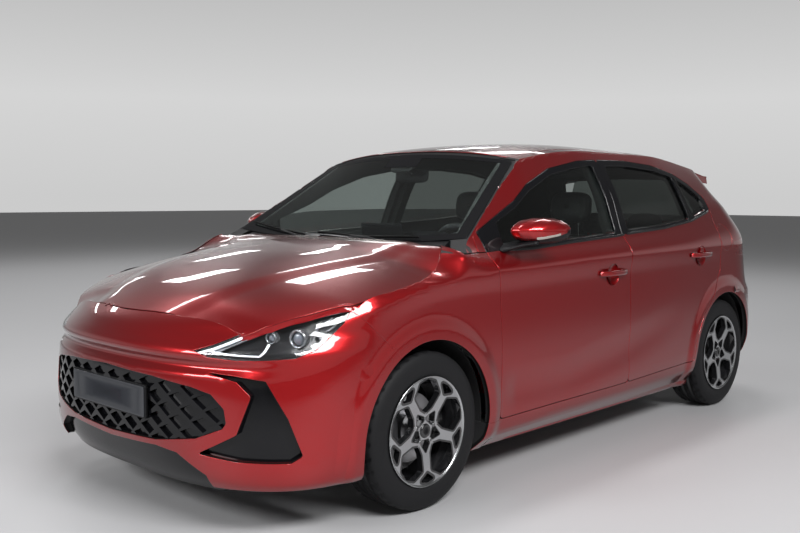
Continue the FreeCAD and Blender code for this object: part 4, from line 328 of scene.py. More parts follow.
class EndForm(Form):
    """Nose or tail: u is the turn round the end, 0 in the middle and a quarter turn at the side."""

    stretch = (0.75, 1.0)

    def __init__(self, nose: bool, depth: float = 0.0) -> None:
        """Keeps which end it is and the depth below the painted surface.

        Args:
            nose: whether it is the nose.
            depth: depth below the surface.
        """
        self.nose = nose
        self.depth = depth
        self.facing = (0.8, 0.6, 0.0) if nose else (-0.8, 0.6, 0.0)

    def at(self, u: Array, v: Array) -> Array:
        """Points of the nose or tail for a turn and a height.

        Args:
            u: the form's first number.
            v: the form's second number.

        Returns:
            The points.
        """
        u, v = np.broadcast_arrays(np.asarray(u, float), np.asarray(v, float))
        reach_of, power_of = (NOSE_REACH, NOSE_POWER) if self.nose else (TAIL_REACH, TAIL_POWER)
        ahead, centre = (1.0, NOSE_X) if self.nose else (-1.0, TAIL_X)
        n = power_of(v / HEIGHT)
        reach = (LENGTH / 2 - abs(centre)) * reach_of(v / HEIGHT) - self.depth
        turn = np.minimum(np.abs(u), math.pi / 2)
        if self.nose:
            near = 1 - smooth(np.abs(v / HEIGHT - UNDERCUT_Z) / UNDERCUT_REACH)
            undercut = smooth((1 - turn / (math.pi / 2) - UNDERCUT_FADE[0]) / UNDERCUT_FADE[1])
            reach = reach - UNDERCUT_DEPTH * near * undercut
        c, s = np.cos(turn), np.sin(turn)
        r = (np.maximum(c, 1e-9) ** n + np.maximum(s, 1e-9) ** n) ** (-1 / n)
        past = np.maximum(np.abs(u) - math.pi / 2, 0.0)
        x = centre + ahead * (reach * r * c - past * 0.75)
        y = (SIDE.y(x, v) - self.depth) * r * s
        return np.stack([x, y * np.sign(u), v], axis=-1)

    def normal(self, u: Array, v: Array) -> Array:
        """Normals that point away from the car on both sides of its middle.

        Args:
            u: the form's first number.
            v: the form's second number.

        Returns:
            A unit normal for each point.
        """
        n = super().normal(u, v)
        p = self.at(u, v)
        away = np.stack([(p[..., 0] - (NOSE_X if self.nose else TAIL_X)), p[..., 1],
                         np.zeros_like(p[..., 0])], axis=-1)
        return n * np.sign((n * away).sum(-1) + TINY)[..., None]

    def turn_for(self, value: Callable[[Array], Array], target: Array, z: Array) -> Array:
        """Turn at which a falling measure of the point reaches the target at height z.

        Args:
            value: measure of a point.
            target: value to reach.
            z: heights.

        Returns:
            The turn for each height.
        """
        low, high = np.full_like(z, 1e-4), np.full_like(z, math.pi / 2 + 1.4)
        for _ in range(40):
            middle = (low + high) / 2
            more = value(self.at(middle, z)) > target
            low, high = np.where(more, middle, low), np.where(more, high, middle)
        return (low + high) / 2


class RoofForm(Form):
    """The roof in x and y, sunk by a depth."""

    facing = (0.0, 0.0, 1.0)

    def __init__(self, depth: float = 0.0) -> None:
        """Keeps the depth below the painted surface."""
        self.depth = depth

    def at(self, u: Array, v: Array) -> Array:
        """Points of the roof at x and y.

        Args:
            u: the form's first number.
            v: the form's second number.

        Returns:
            The points.
        """
        u, v = np.broadcast_arrays(np.asarray(u, float), np.asarray(v, float))
        middle = ROOF_MIDDLE((FRONT_AXLE_X - u) / WHEEL_BASE) * HEIGHT
        high, wide = SIDE.section(u.ravel())
        edge, half = high[-1].reshape(u.shape), wide[-1].reshape(u.shape)
        z = middle - (middle - edge) * np.abs(v / half) ** 2.4
        return np.stack([u, v, z - self.depth], axis=-1)


DOME, DOME_BLEND = 0.009, 0.120
DOME_HALF = Curve((-0.30, -0.20, -0.08, 0.03, 0.11), (0.30, 0.42, 0.54, 0.62, 0.66))


class BonnetForm(Form):
    """The bonnet in x and y, with its raised middle."""

    facing = (0.0, 0.0, 1.0)

    def at(self, u: Array, v: Array) -> Array:
        """Points of the bonnet at x and y.

        Args:
            u: the form's first number.
            v: the form's second number.

        Returns:
            The points.
        """
        u, v = np.broadcast_arrays(np.asarray(u, float), np.asarray(v, float))
        share = (FRONT_AXLE_X - u) / WHEEL_BASE
        middle = BONNET_MIDDLE(share) * HEIGHT
        half, edge = BONNET_EDGE_Y(share) * HALF_WIDTH, BONNET_EDGE_Z(share) * HEIGHT
        rise = DOME * (1 - smooth((np.abs(v) - DOME_HALF(share) * HALF_WIDTH) / DOME_BLEND + 0.5))
        z = middle - (middle - edge) * np.abs(v / half) ** 2.6 + rise - DOME
        return np.stack([u, v, z], axis=-1)


class ScreenForm(Form):
    """Windscreen: u runs across from -1 to 1 and v up from 0 to 1, scaled to metres."""

    facing = (0.7, 0.0, 0.7)
    stretch = (0.72, 0.68)

    def __init__(self, depth: float = 0.0) -> None:
        """Keeps the depth below the outer face."""
        self.depth = depth

    def at(self, u: Array, v: Array) -> Array:
        """Points of the windscreen for shares across and up.

        Args:
            u: the form's first number.
            v: the form's second number.

        Returns:
            The points.
        """
        foot_x, head_x = station(0.1193), station(0.3215)
        foot_z, head_z = 0.6658 * HEIGHT, 0.952 * HEIGHT
        mid_x, mid_z = foot_x + v * (head_x - foot_x), foot_z + v * (head_z - foot_z)
        edge_x = FRONT_AXLE_X - (0.133 + v * (0.342 - 0.133)) * WHEEL_BASE
        edge_y = (0.861 + v * (0.681 - 0.861)) * HALF_WIDTH
        edge_z = (0.6925 + v * (0.922 - 0.6925)) * HEIGHT
        slope = math.hypot(head_z - foot_z, foot_x - head_x)
        bow = np.abs(u) ** 2
        x = mid_x + bow * (edge_x - mid_x) - (head_z - foot_z) / slope * self.depth
        z = mid_z + bow * (edge_z - mid_z) - (foot_x - head_x) / slope * self.depth
        return np.stack(np.broadcast_arrays(x, u * edge_y, z), axis=-1)


def rounded(points: Points, radius: float, closed: bool = True, pitch: float = 0.008) -> Array:
    """Outline with rounded corners, in short even runs.

    Args:
        points: corners of the outline.
        radius: corner radius.
        closed: whether the last corner joins the first.
        pitch: longest run in the result.

    Returns:
        The points of the outline, without the first one repeated.
    """
    p = [np.array(q, float) for q in points]
    n = len(p)
    path: List[Array] = []
    for i in range(n):
        if not closed and i in (0, n - 1):
            path.append(p[i])
            continue
        back, ahead = p[i - 1] - p[i], p[(i + 1) % n] - p[i]
        lb, la = np.linalg.norm(back), np.linalg.norm(ahead)
        back, ahead = back / lb, ahead / la
        angle = math.acos(float(np.clip(back @ ahead, -1, 1)))
        if angle > math.pi - 0.02 or radius <= 0:
            path.append(p[i])
            continue
        trim = min(radius / math.tan(angle / 2), lb * 0.48, la * 0.48)
        start, stop = p[i] + back * trim, p[i] + ahead * trim
        for t in np.linspace(0, 1, 7):
            path.append((1 - t) ** 2 * start + 2 * t * (1 - t) * p[i] + t * t * stop)
    if closed:
        path.append(path[0])
    result: List[Array] = []
    for a, b in zip(path, path[1:]):
        count = max(1, int(math.ceil(np.linalg.norm(b - a) / pitch)))
        if np.linalg.norm(b - a) < 1e-5:
            continue
        result.extend(a + (b - a) * k / count for k in range(count))
    if not closed:
        result.append(path[-1])
    return np.array(result)


def grown(points: Points, amount: float) -> List[Tuple[float, float]]:
    """Outline moved outward by an amount.

    Args:
        points: the outline's points.
        amount: how far it moves.

    Returns:
        The outline.
    """
    p = [tuple(q) for q in points]
    n = len(p)
    area = sum(p[i - 1][0] * p[i][1] - p[i][0] * p[i - 1][1] for i in range(n))
    sense = 1.0 if area > 0 else -1.0
    result = []
    for i in range(n):
        (ax, ay), (bx, by), (cx, cy) = p[i - 1], p[i], p[(i + 1) % n]
        first, second = math.hypot(bx - ax, by - ay), math.hypot(cx - bx, cy - by)
        n1 = (sense * (by - ay) / first, -sense * (bx - ax) / first)
        n2 = (sense * (cy - by) / second, -sense * (cx - bx) / second)
        lean = max(1 + n1[0] * n2[0] + n1[1] * n2[1], 0.5)
        result.append((bx + amount * (n1[0] + n2[0]) / lean, by + amount * (n1[1] + n2[1]) / lean))
    return result


def inside(polygon: Array, a: Array, b: Array) -> Array:
    """Which points (a, b) lie inside the polygon.

    Args:
        polygon: corners of the polygon.
        a: first numbers.
        b: second numbers.

    Returns:
        True for each point inside.
    """
    result = np.zeros(a.shape, bool)
    q = np.roll(polygon, 1, axis=0)
    for (x0, y0), (x1, y1) in zip(polygon, q):
        if y0 == y1:
            continue
        cross = (y0 > b) != (y1 > b)
        result ^= cross & (a < (x1 - x0) * (b - y0) / (y1 - y0) + x0)
    return result


class View(Enum):
    """Direction that an outline is drawn in: what its two numbers are on the car."""

    SIDE = "side"
    PLAN = "plan"
    END = "end"
    CORNER = "corner"

    def of(self, p: Array) -> Tuple[Array, Array]:
        """The outline's two numbers at points of the car, folded to the left half.

        Args:
            p: points of the car.

        Returns:
            The two numbers of each point.
        """
        x, y, z = p[..., 0], np.abs(p[..., 1]), p[..., 2]
        if self is View.SIDE:
            return x, z
        if self is View.PLAN:
            return x, y
        if self is View.END:
            return y, z
        return x - y, z


@dataclass
class Cut:
    """An outline that a skin stops at, keeping what is inside or outside it."""

    view: View
    outline: Array
    keep_inside: bool = False

    def keeps(self, p: Array) -> Array:
        """Which points of the car the skin keeps.

        Args:
            p: points of the car.

        Returns:
            True for each point that stays.
        """
        a, b = self.view.of(p)
        hit = inside(self.outline, a, b)
        return hit if self.keep_inside else ~hit

    def lines(self, form: Form, bounds: Tuple[float, float, float, float]) -> List[Array]:
        """The outline in the form's own two numbers, on both sides where the form has two.

        Args:
            form: surface that is cut.
            bounds: range of the form's numbers.

        Returns:
            The lines.
        """
        path = np.vstack([self.outline, self.outline[:1]])
        u0, u1, v0, v1 = bounds
        if isinstance(form, EndForm):
            if self.view is View.PLAN:
                return self._plan_lines(form, bounds)
            measure = {View.SIDE: lambda p: p[..., 0], View.END: lambda p: -p[..., 1],
                       View.CORNER: lambda p: p[..., 0] - p[..., 1]}[self.view]
            a, z = path[:, 0], path[:, 1]
            if self.view is View.END:
                a = -a
            ok = (z > v0 - 0.05) & (z < v1 + 0.05)
            z = np.clip(z, v0 - 0.05, v1 + 0.05)
            if not form.nose and self.view is View.SIDE:
                turn = form.turn_for(lambda p: -p[..., 0], -a, z)
            else:
                turn = form.turn_for(measure, a, z)
            good = ok & (turn > 1e-3) & (turn < math.pi / 2 + 1.39)
            result = []
            for sign in (1.0, -1.0):
                if (sign > 0 and u1 <= 0) or (sign < 0 and u0 >= 0):
                    continue
                result.extend(runs_of(np.stack([turn * sign, z], axis=-1), good))
            return result
        if self.view is View.SIDE and isinstance(form, SideForm) or self.view is View.PLAN:
            both = [path]
            if u0 < 0 > v0 and self.view is View.PLAN:
                both.append(path * np.array([1.0, -1.0]))
            return both
        return []

    def _plan_lines(self, form: EndForm, bounds: Tuple[float, float, float, float]) -> List[Array]:
        """Border of a plan outline on the nose or tail.

        Args:
            form: surface that is cut.
            bounds: range of the form's numbers.

        Returns:
            The lines.
        """
        u0, u1, v0, v1 = bounds
        u = np.arange(u0, u1, 0.008)
        low, high = np.full_like(u, v0), np.full_like(u, v1)
        hit_low, hit_high = ~self._hit(form, u, low), self._hit(form, u, high)
        for _ in range(30):
            middle = (low + high) / 2
            hit = self._hit(form, u, middle)
            low, high = np.where(hit, low, middle), np.where(hit, middle, high)
        return runs_of(np.stack([u, high], axis=-1), hit_low & hit_high)

    def _hit(self, form: EndForm, u: Array, v: Array) -> Array:
        """Which points of the form lie inside the outline."""
        a, b = self.view.of(form.at(u, v))
        return inside(self.outline, a, b)


def runs_of(path: Array, good: Array) -> List[Array]:
    """Stretches of a path where good is true.

    Args:
        path: points of the path.
        good: which points count.

    Returns:
        The stretches of two points or more.
    """
    result, run = [], []
    for q, ok in zip(path, good):
        if ok:
            run.append(q)
        elif run:
            result.append(np.array(run))
            run = []
    if run:
        result.append(np.array(run))
    return [r for r in result if len(r) > 1]


def cut(view: View, points: Points, keep_inside: bool = False, radius: float = 0.0,
        pitch: float = 0.008) -> Cut:
    """Cut with rounded corners."""
    return Cut(view, rounded(points, radius, True, pitch), keep_inside)


@dataclass
class Skin:
    """A thin panel laid over a form, cut to outlines, with rolled edges.

    Attributes:
        name: name of the piece.
        form: surface that it follows.
        bounds: range of the form's numbers.
        cuts: outlines that it stops at.
        pitch: distance between its points.
        proud: how far it stands above the form.
        roll: radius of its rolled edge.
        hem: depth of the edge below the skin.
    """

    name: str
    form: Form
    bounds: Tuple[float, float, float, float]
    cuts: List[Cut]
    pitch: float = 0.02
    proud: float = PROUD
    roll: float = ROLL
    hem: float = HEM
    keep: Optional[Callable[[Array], Array]] = None
    extra_lines: List[Array] = field(default_factory=list)

    def build(self) -> "Shell":
        """Triangulates the skin and lifts it on to its form.

        Returns:
            The shape.
        """
        scale = np.array(self.form.stretch)
        u0, u1, v0, v1 = self.bounds
        frame_line = rounded([(u0, v0), (u1, v0), (u1, v1), (u0, v1)], 0.0, True,
                             self.pitch / max(scale) * 0.8)
        lines = [np.vstack([frame_line, frame_line[:1]])] + list(self.extra_lines)
        for c in self.cuts:
            lines.extend(c.lines(self.form, self.bounds))
        points: List[Array] = []
        edges: List[Tuple[int, int]] = []
        for line in lines:
            line = line * scale
            start = len(points)
            points.extend(line)
            edges.extend((start + i, start + i + 1) for i in range(len(line) - 1))
        border = np.array(points)
        row = self.pitch * 0.866
        us = np.arange(u0 * scale[0], u1 * scale[0], self.pitch)
        vs = np.arange(v0 * scale[1], v1 * scale[1], row)
        gu, gv = np.meshgrid(us, vs)
        gu = gu + (np.arange(len(vs)) % 2)[:, None] * self.pitch / 2
        grid = np.stack([gu.ravel(), gv.ravel()], axis=-1)
        grid = grid[self._kept(grid / scale)]
        far = np.ones(len(grid), bool)
        for i in range(0, len(grid), 2000):
            gap = np.linalg.norm(grid[i:i + 2000, None, :] - border[None, :, :], axis=-1).min(axis=1)
            far[i:i + 2000] = gap > self.pitch * 0.45
        points.extend(grid[far])
        made = delaunay_2d_cdt([Vector((float(p[0]), float(p[1]))) for p in points], edges, [], 0, 1e-5)
        flat = np.array([(v.x, v.y) for v in made[0]]) / scale
        faces = np.array([f for f in made[2] if len(f) == 3], int)
        middle = flat[faces].mean(axis=1)
        faces = faces[self._kept(middle)]
        used = np.unique(faces)
        back = np.full(len(flat), -1)
        back[used] = np.arange(len(used))
        flat, faces = flat[used], back[faces]
        faces = without_scraps(faces)
        if self.keep is not None:
            flat, faces = self._trimmed(flat, faces)
        base = self.form.at(flat[:, 0], flat[:, 1])
        normal = self.form.normal(flat[:, 0], flat[:, 1])
        corner = base[faces]
        tilt = np.cross(corner[:, 1] - corner[:, 0], corner[:, 2] - corner[:, 0])
        lean = np.zeros_like(base)
        for k in range(3):
            np.add.at(lean, faces[:, k], tilt)
        lean *= math.copysign(1.0, float((lean * normal).sum()))
        lean /= np.maximum(np.linalg.norm(lean, axis=1, keepdims=True), TINY)
        wrong = (lean * normal).sum(-1) < 0.3
        normal[wrong] = lean[wrong]
        shell = Shell(self.name, base + normal * self.proud, faces, normal, flat)
        shell.orient()
        if self.roll > 0:
            shell.roll_edges(self.roll, self.hem)
        return shell

    def _trimmed(self, flat: Array, faces: Array) -> Tuple[Array, Array]:
        """Pulls points past the kept region back to its border.

        Args:
            flat: points of the flat map.
            faces: triangles.

        Returns:
            The points and the triangles that are left.
        """
        good = self.keep(self.form.at(flat[:, 0], flat[:, 1]))
        total, count = np.zeros_like(flat), np.zeros(len(flat))
        for i in range(3):
            for j in ((i + 1) % 3, (i + 2) % 3):
                near = good[faces[:, j]]
                np.add.at(total, faces[near, i], flat[faces[near, j]])
                np.add.at(count, faces[near, i], 1.0)
        move = ~good & (count > 0)
        low, high = total[move] / count[move][:, None], flat[move]
        for _ in range(12):
            middle = (low + high) / 2
            ok = self.keep(self.form.at(middle[:, 0], middle[:, 1]))[:, None]
            low, high = np.where(ok, middle, low), np.where(ok, high, middle)
        flat = flat.copy()
        flat[move] = low
        lost = ~good & (count == 0)
        return flat, faces[~lost[faces].any(axis=1)]

    def _kept(self, flat: Array) -> Array:
        """Which points of the flat map the skin covers.

        Args:
            flat: points of the flat map.

        Returns:
            True for each point that stays.
        """
        u0, u1, v0, v1 = self.bounds
        ok = (flat[:, 0] > u0) & (flat[:, 0] < u1) & (flat[:, 1] > v0) & (flat[:, 1] < v1)
        p = self.form.at(flat[:, 0], flat[:, 1])
        for c in self.cuts:
            ok &= c.keeps(p)
        if self.keep is not None:
            ok &= self.keep(p)
        return ok


def without_scraps(faces: Array, fewest: int = 12) -> Array:
    """Leaves out stray islands of a few triangles.

    Args:
        faces: triangles.
        fewest: smallest island that stays.

    Returns:
        The triangles that are left.
    """
    mark = np.arange(int(faces.max()) + 1)
    while True:
        low = mark[faces].min(axis=1)
        new = mark.copy()
        for k in range(3):
            np.minimum.at(new, faces[:, k], low)
        new = new[new]
        if (new == mark).all():
            break
        mark = new
    island = mark[faces[:, 0]]
    _, which, count = np.unique(island, return_inverse=True, return_counts=True)
    return faces[count[which] >= fewest]


class Shell:
    """Triangles with their own smooth normals, on the way to a Blender mesh."""

    def __init__(self, name: str, points: Array, faces: Array, normals: Array, flat: Array) -> None:
        """Keeps the mesh, with every face on the first material.

        Args:
            name: name of the piece.
            points: corners of the mesh.
            faces: triangles.
            normals: normal of each point.
            flat: points of the flat map.
        """
        self.name = name
        self.points = points
        self.faces = faces
        self.normals = normals
        self.flat = flat
        self.marks = np.zeros(len(faces), int)

    def orient(self) -> None:
        """Turns every face to the side of its normals."""
        a, b, c = (self.points[self.faces[:, i]] for i in range(3))
        lean = (np.cross(b - a, c - a) * self.normals[self.faces].sum(axis=1)).sum(-1)
        self.faces[lean < 0] = self.faces[lean < 0][:, ::-1]

    def roll_edges(self, radius: float, depth: float, steps: int = 3) -> None:
        """Adds a rolled edge and a short wall round every border; the wall's faces take the second
        material, which on the painted skins is black as painted shade in the gaps.

        Args:
            radius: radius of the rolled edge.
            depth: depth of the wall below it.
            steps: steps round the edge.
        """
        f = self.faces
        edges = np.vstack([f[:, [0, 1]], f[:, [1, 2]], f[:, [2, 0]]])
        key = np.sort(edges, axis=1)
        _, index, count = np.unique(key, axis=0, return_index=True, return_counts=True)
        border = edges[index[count == 1]]
        if not len(border):
            return
        out = np.zeros_like(self.points)
        run = self.points[border[:, 1]] - self.points[border[:, 0]]
        run /= np.maximum(np.linalg.norm(run, axis=1, keepdims=True), 1e-9)
        side = np.cross(run, self.normals[border[:, 0]] + self.normals[border[:, 1]])
        side /= np.maximum(np.linalg.norm(side, axis=1, keepdims=True), 1e-9)
        np.add.at(out, border[:, 0], side)
        np.add.at(out, border[:, 1], side)
        rim = np.unique(border)
        o = out[rim]
        o -= (o * self.normals[rim]).sum(-1, keepdims=True) * self.normals[rim]
        o /= np.maximum(np.linalg.norm(o, axis=1, keepdims=True), 1e-9)
        n, p = self.normals[rim], self.points[rim]
        back = np.full(len(self.points), -1)
        back[rim] = np.arange(len(rim))
        ring = rim
        points, normals, flats, faces = [self.points], [self.normals], [self.flat], [self.faces]
        total, count_marks = len(self.points), [np.zeros(len(self.faces), int)]
        for k in range(1, steps + 2):
            if k <= steps:
                t = k / steps * math.pi / 2
                q = p + o * radius * math.sin(t) - n * radius * (1 - math.cos(t))
                m = n * math.cos(t) + o * math.sin(t)
            else:
                q, m = p + o * radius - n * (radius + depth), o
            new = total + np.arange(len(rim))
            points.append(q)
            normals.append(m)
            flats.append(self.flat[rim])
            a, b = back[border[:, 0]], back[border[:, 1]]
            faces.append(np.stack([ring[a], new[a], new[b]], axis=1))
            faces.append(np.stack([ring[a], new[b], ring[b]], axis=1))
            # Mark 1 is the wall: on the painted skins it takes the black painted shade of the shut gaps.
            count_marks.append(np.full(2 * len(a), int(k > steps)))
            ring = new
            total += len(rim)
        self.points, self.normals = np.vstack(points), np.vstack(normals)
        self.flat, self.faces = np.vstack(flats), np.vstack(faces)
        self.marks = np.concatenate(count_marks)

    def mirrored(self, name: str) -> "Shell":
        """The same shell on the other side of the car.

        Args:
            name: name of the piece.

        Returns:
            The shape.
        """
        flip = np.array([1.0, -1.0, 1.0])
        other = Shell(name, self.points * flip, self.faces[:, ::-1].copy(), self.normals * flip, self.flat)
        other.marks = self.marks.copy()
        return other

    def thick(self, depth: float) -> "Shell":
        """Adds an inner face at a depth, for glass and panels seen from both sides.

        Args:
            depth: thickness.

        Returns:
            The shape.
        """
        n = len(self.points)
        self.faces = np.vstack([self.faces, self.faces[:, ::-1] + n])
        self.marks = np.concatenate([self.marks, self.marks])
        self.points = np.vstack([self.points, self.points - self.normals * depth])
        self.normals = np.vstack([self.normals, -self.normals])
        self.flat = np.vstack([self.flat, self.flat])
        return self

    def mesh(self, materials: Sequence[bpy.types.Material]) -> bpy.types.Object:
        """Makes the Blender object with its normals and its flat map.

        Args:
            materials: materials for its faces.

        Returns:
            The Blender object.
        """
        data = bpy.data.meshes.new(self.name)
        data.from_pydata(self.points.tolist(), [], self.faces.tolist())
        for m in materials:
            data.materials.append(m)
        data.polygons.foreach_set("use_smooth", [True] * len(data.polygons))
        data.polygons.foreach_set("material_index",
                                  np.minimum(self.marks, len(materials) - 1).astype(np.int32))
        flat = data.uv_layers.new(name="flat")
        loops = np.empty(len(data.loops), np.int32)
        data.loops.foreach_get("vertex_index", loops)
        flat.data.foreach_set("uv", self.flat[loops].astype(np.float32).ravel())
        data.update()
        data.normals_split_custom_set_from_vertices([tuple(v) for v in self.normals.tolist()])
        obj = bpy.data.objects.new(self.name, data)
        bpy.context.scene.collection.objects.link(obj)
        return obj


def surface_of(name: str, grid: Array, closed_u: bool = False, closed_v: bool = False,
               flip: bool = False) -> Shell:
    """Shell from a net of points, with averaged smooth normals.

    Args:
        name: name of the piece.
        grid: net of points.
        closed_u: whether its rows close.
        closed_v: whether its columns close.
        flip: whether faces are turned.

    Returns:
        The shape.
    """
    nu, nv = grid.shape[:2]
    index = np.arange(nu * nv).reshape(nu, nv)
    iu = np.arange(nu if closed_u else nu - 1)
    iv = np.arange(nv if closed_v else nv - 1)
    a = index[iu][:, iv]
    b = index[(iu + 1) % nu][:, iv]
    c = index[(iu + 1) % nu][:, (iv + 1) % nv]
    d = index[iu][:, (iv + 1) % nv]
    faces = np.vstack([np.stack([a, b, c], -1).reshape(-1, 3), np.stack([a, c, d], -1).reshape(-1, 3)])
    if flip:
        faces = faces[:, ::-1]
    points = grid.reshape(-1, 3)
    p0, p1, p2 = (points[faces[:, i]] for i in range(3))
    face_n = np.cross(p1 - p0, p2 - p0)
    normals = np.zeros_like(points)
    for i in range(3):
        np.add.at(normals, faces[:, i], face_n)
    normals /= np.maximum(np.linalg.norm(normals, axis=1, keepdims=True), TINY)
    gu, gv = np.meshgrid(np.linspace(0, 1, nu), np.linspace(0, 1, nv), indexing="ij")
    return Shell(name, points.copy(), faces, normals, np.stack([gu.ravel(), gv.ravel()], -1))


Colour = Tuple[float, float, float]
DARK_TINT = (0.20, 0.22, 0.21)


@dataclass(frozen=True)
class Finish:
    """How a surface looks: the numbers of its shader."""

    name: str
    colour: Colour
    roughness: float = 0.5
    metallic: float = 0.0
    coat: float = 0.0
    specular: float = 0.5
    grain: float = 0.0
    grain_size: float = 400.0
    sheen: float = 0.0


class Effects:
    """Node groups that several materials share."""

    def __init__(self) -> None:
        """Makes each group once."""
        self.grain = self._grain()
        self.dust = self._dust()
        self.cabin_side = self._cabin_side()

    @staticmethod
    def _group(name: str, inputs: Sequence[Tuple[str, str, float]],
               outputs: Sequence[Tuple[str, str]]) -> bpy.types.NodeTree:
        """Empty node group with its sockets.

        Args:
            name: name of the group.
            inputs: name, kind and default of each input.
            outputs: name and kind of each output.

        Returns:
            The node group.
        """
        tree = bpy.data.node_groups.new(name, "ShaderNodeTree")
        for label, kind, value in inputs:
            s = tree.interface.new_socket(label, in_out="INPUT", socket_type=kind)
            s.default_value = value
        for label, kind in outputs:
            tree.interface.new_socket(label, in_out="OUTPUT", socket_type=kind)
        return tree

    def _grain(self) -> bpy.types.NodeTree:
        """Fine leather-like grain as a normal.

        Returns:
            The node group.
        """
        t = self._group("fine_grain", [("Scale", "NodeSocketFloat", 400.0),
                                       ("Strength", "NodeSocketFloat", 0.2)],
                        [("Normal", "NodeSocketVector")])
        n = t.nodes
        inp, out = n.new("NodeGroupInput"), n.new("NodeGroupOutput")
        place, cells = n.new("ShaderNodeTexCoord"), n.new("ShaderNodeTexVoronoi")
        bump = n.new("ShaderNodeBump")
        cells.feature = "SMOOTH_F1"
        bump.inputs["Distance"].default_value = 0.0005
        t.links.new(place.outputs["Object"], cells.inputs["Vector"])
        t.links.new(inp.outputs["Scale"], cells.inputs["Scale"])
        t.links.new(inp.outputs["Strength"], bump.inputs["Strength"])
        t.links.new(cells.outputs["Distance"], bump.inputs["Height"])
        t.links.new(bump.outputs["Normal"], out.inputs["Normal"])
        return t

    def _cabin_side(self) -> bpy.types.NodeTree:
        """Mask of the faces that look into the cabin.

        Returns:
            The node group.
        """
        t = self._group("cabin_side", [], [("Value", "NodeSocketFloat")])
        n = t.nodes
        out, place = n.new("NodeGroupOutput"), n.new("ShaderNodeTexCoord")
        where, facing = n.new("ShaderNodeSeparateXYZ"), n.new("ShaderNodeSeparateXYZ")
        t.links.new(place.outputs["Object"], where.inputs["Vector"])
        t.links.new(place.outputs["Normal"], facing.inputs["Vector"])

        def step(kind: str, a: bpy.types.NodeSocket, b: object) -> bpy.types.NodeSocket:
            """Maths node on a socket and a second socket or number.

            Args:
                kind: operation of the node.
                a: first input.
                b: second input.

            Returns:
                Its output.
            """
            k = n.new("ShaderNodeMath")
            k.operation = kind
            t.links.new(a, k.inputs[0])
            if isinstance(b, float):
                k.inputs[1].default_value = b
            else:
                t.links.new(b, k.inputs[1])
            return k.outputs["Value"]

        side = step("MULTIPLY", step("SIGN", where.outputs["Y"], 0.0), facing.outputs["Y"])
        inward = step("LESS_THAN", side, -0.12)
        edge = step("MULTIPLY", step("LESS_THAN", side, 0.6), step("LESS_THAN", facing.outputs["Z"], 0.86))
        cabin = step("MULTIPLY", step("GREATER_THAN", where.outputs["Z"], 0.985),
                     step("GREATER_THAN", where.outputs["X"], -1.80))
        upper = step("MULTIPLY", edge, cabin)
        flat = step("LESS_THAN", step("ABSOLUTE", facing.outputs["Y"], 0.0), 0.5)
        worst = step("MAXIMUM", inward, upper)
        for axle in (FRONT_AXLE_X, REAR_AXLE_X):
            along, up = step("SUBTRACT", where.outputs["X"], axle), step("SUBTRACT", where.outputs["Z"],
                                                                         AXLE_Z)
            square = step("ADD", step("MULTIPLY", along, along), step("MULTIPLY", up, up))
            worst = step("MAXIMUM", worst, step("MULTIPLY", flat, step("LESS_THAN", square, 0.2025)))
        t.links.new(worst, out.inputs["Value"])
        return t

    def _dust(self) -> bpy.types.NodeTree:
        """Soft uneven mask, used to vary roughness a little.

        Returns:
            The node group.
        """
        t = self._group("soft_wear", [("Scale", "NodeSocketFloat", 6.0), ("Low", "NodeSocketFloat", 0.0),
                                      ("High", "NodeSocketFloat", 1.0)], [("Value", "NodeSocketFloat")])
        n = t.nodes
        inp, out = n.new("NodeGroupInput"), n.new("NodeGroupOutput")
        place, noise = n.new("ShaderNodeTexCoord"), n.new("ShaderNodeTexNoise")
        span = n.new("ShaderNodeMapRange")
        noise.inputs["Detail"].default_value = 5.0
        t.links.new(place.outputs["Object"], noise.inputs["Vector"])
        t.links.new(inp.outputs["Scale"], noise.inputs["Scale"])
        t.links.new(noise.outputs["Fac"], span.inputs["Value"])
        t.links.new(inp.outputs["Low"], span.inputs["To Min"])
        t.links.new(inp.outputs["High"], span.inputs["To Max"])
        t.links.new(span.outputs["Result"], out.inputs["Value"])
        return t


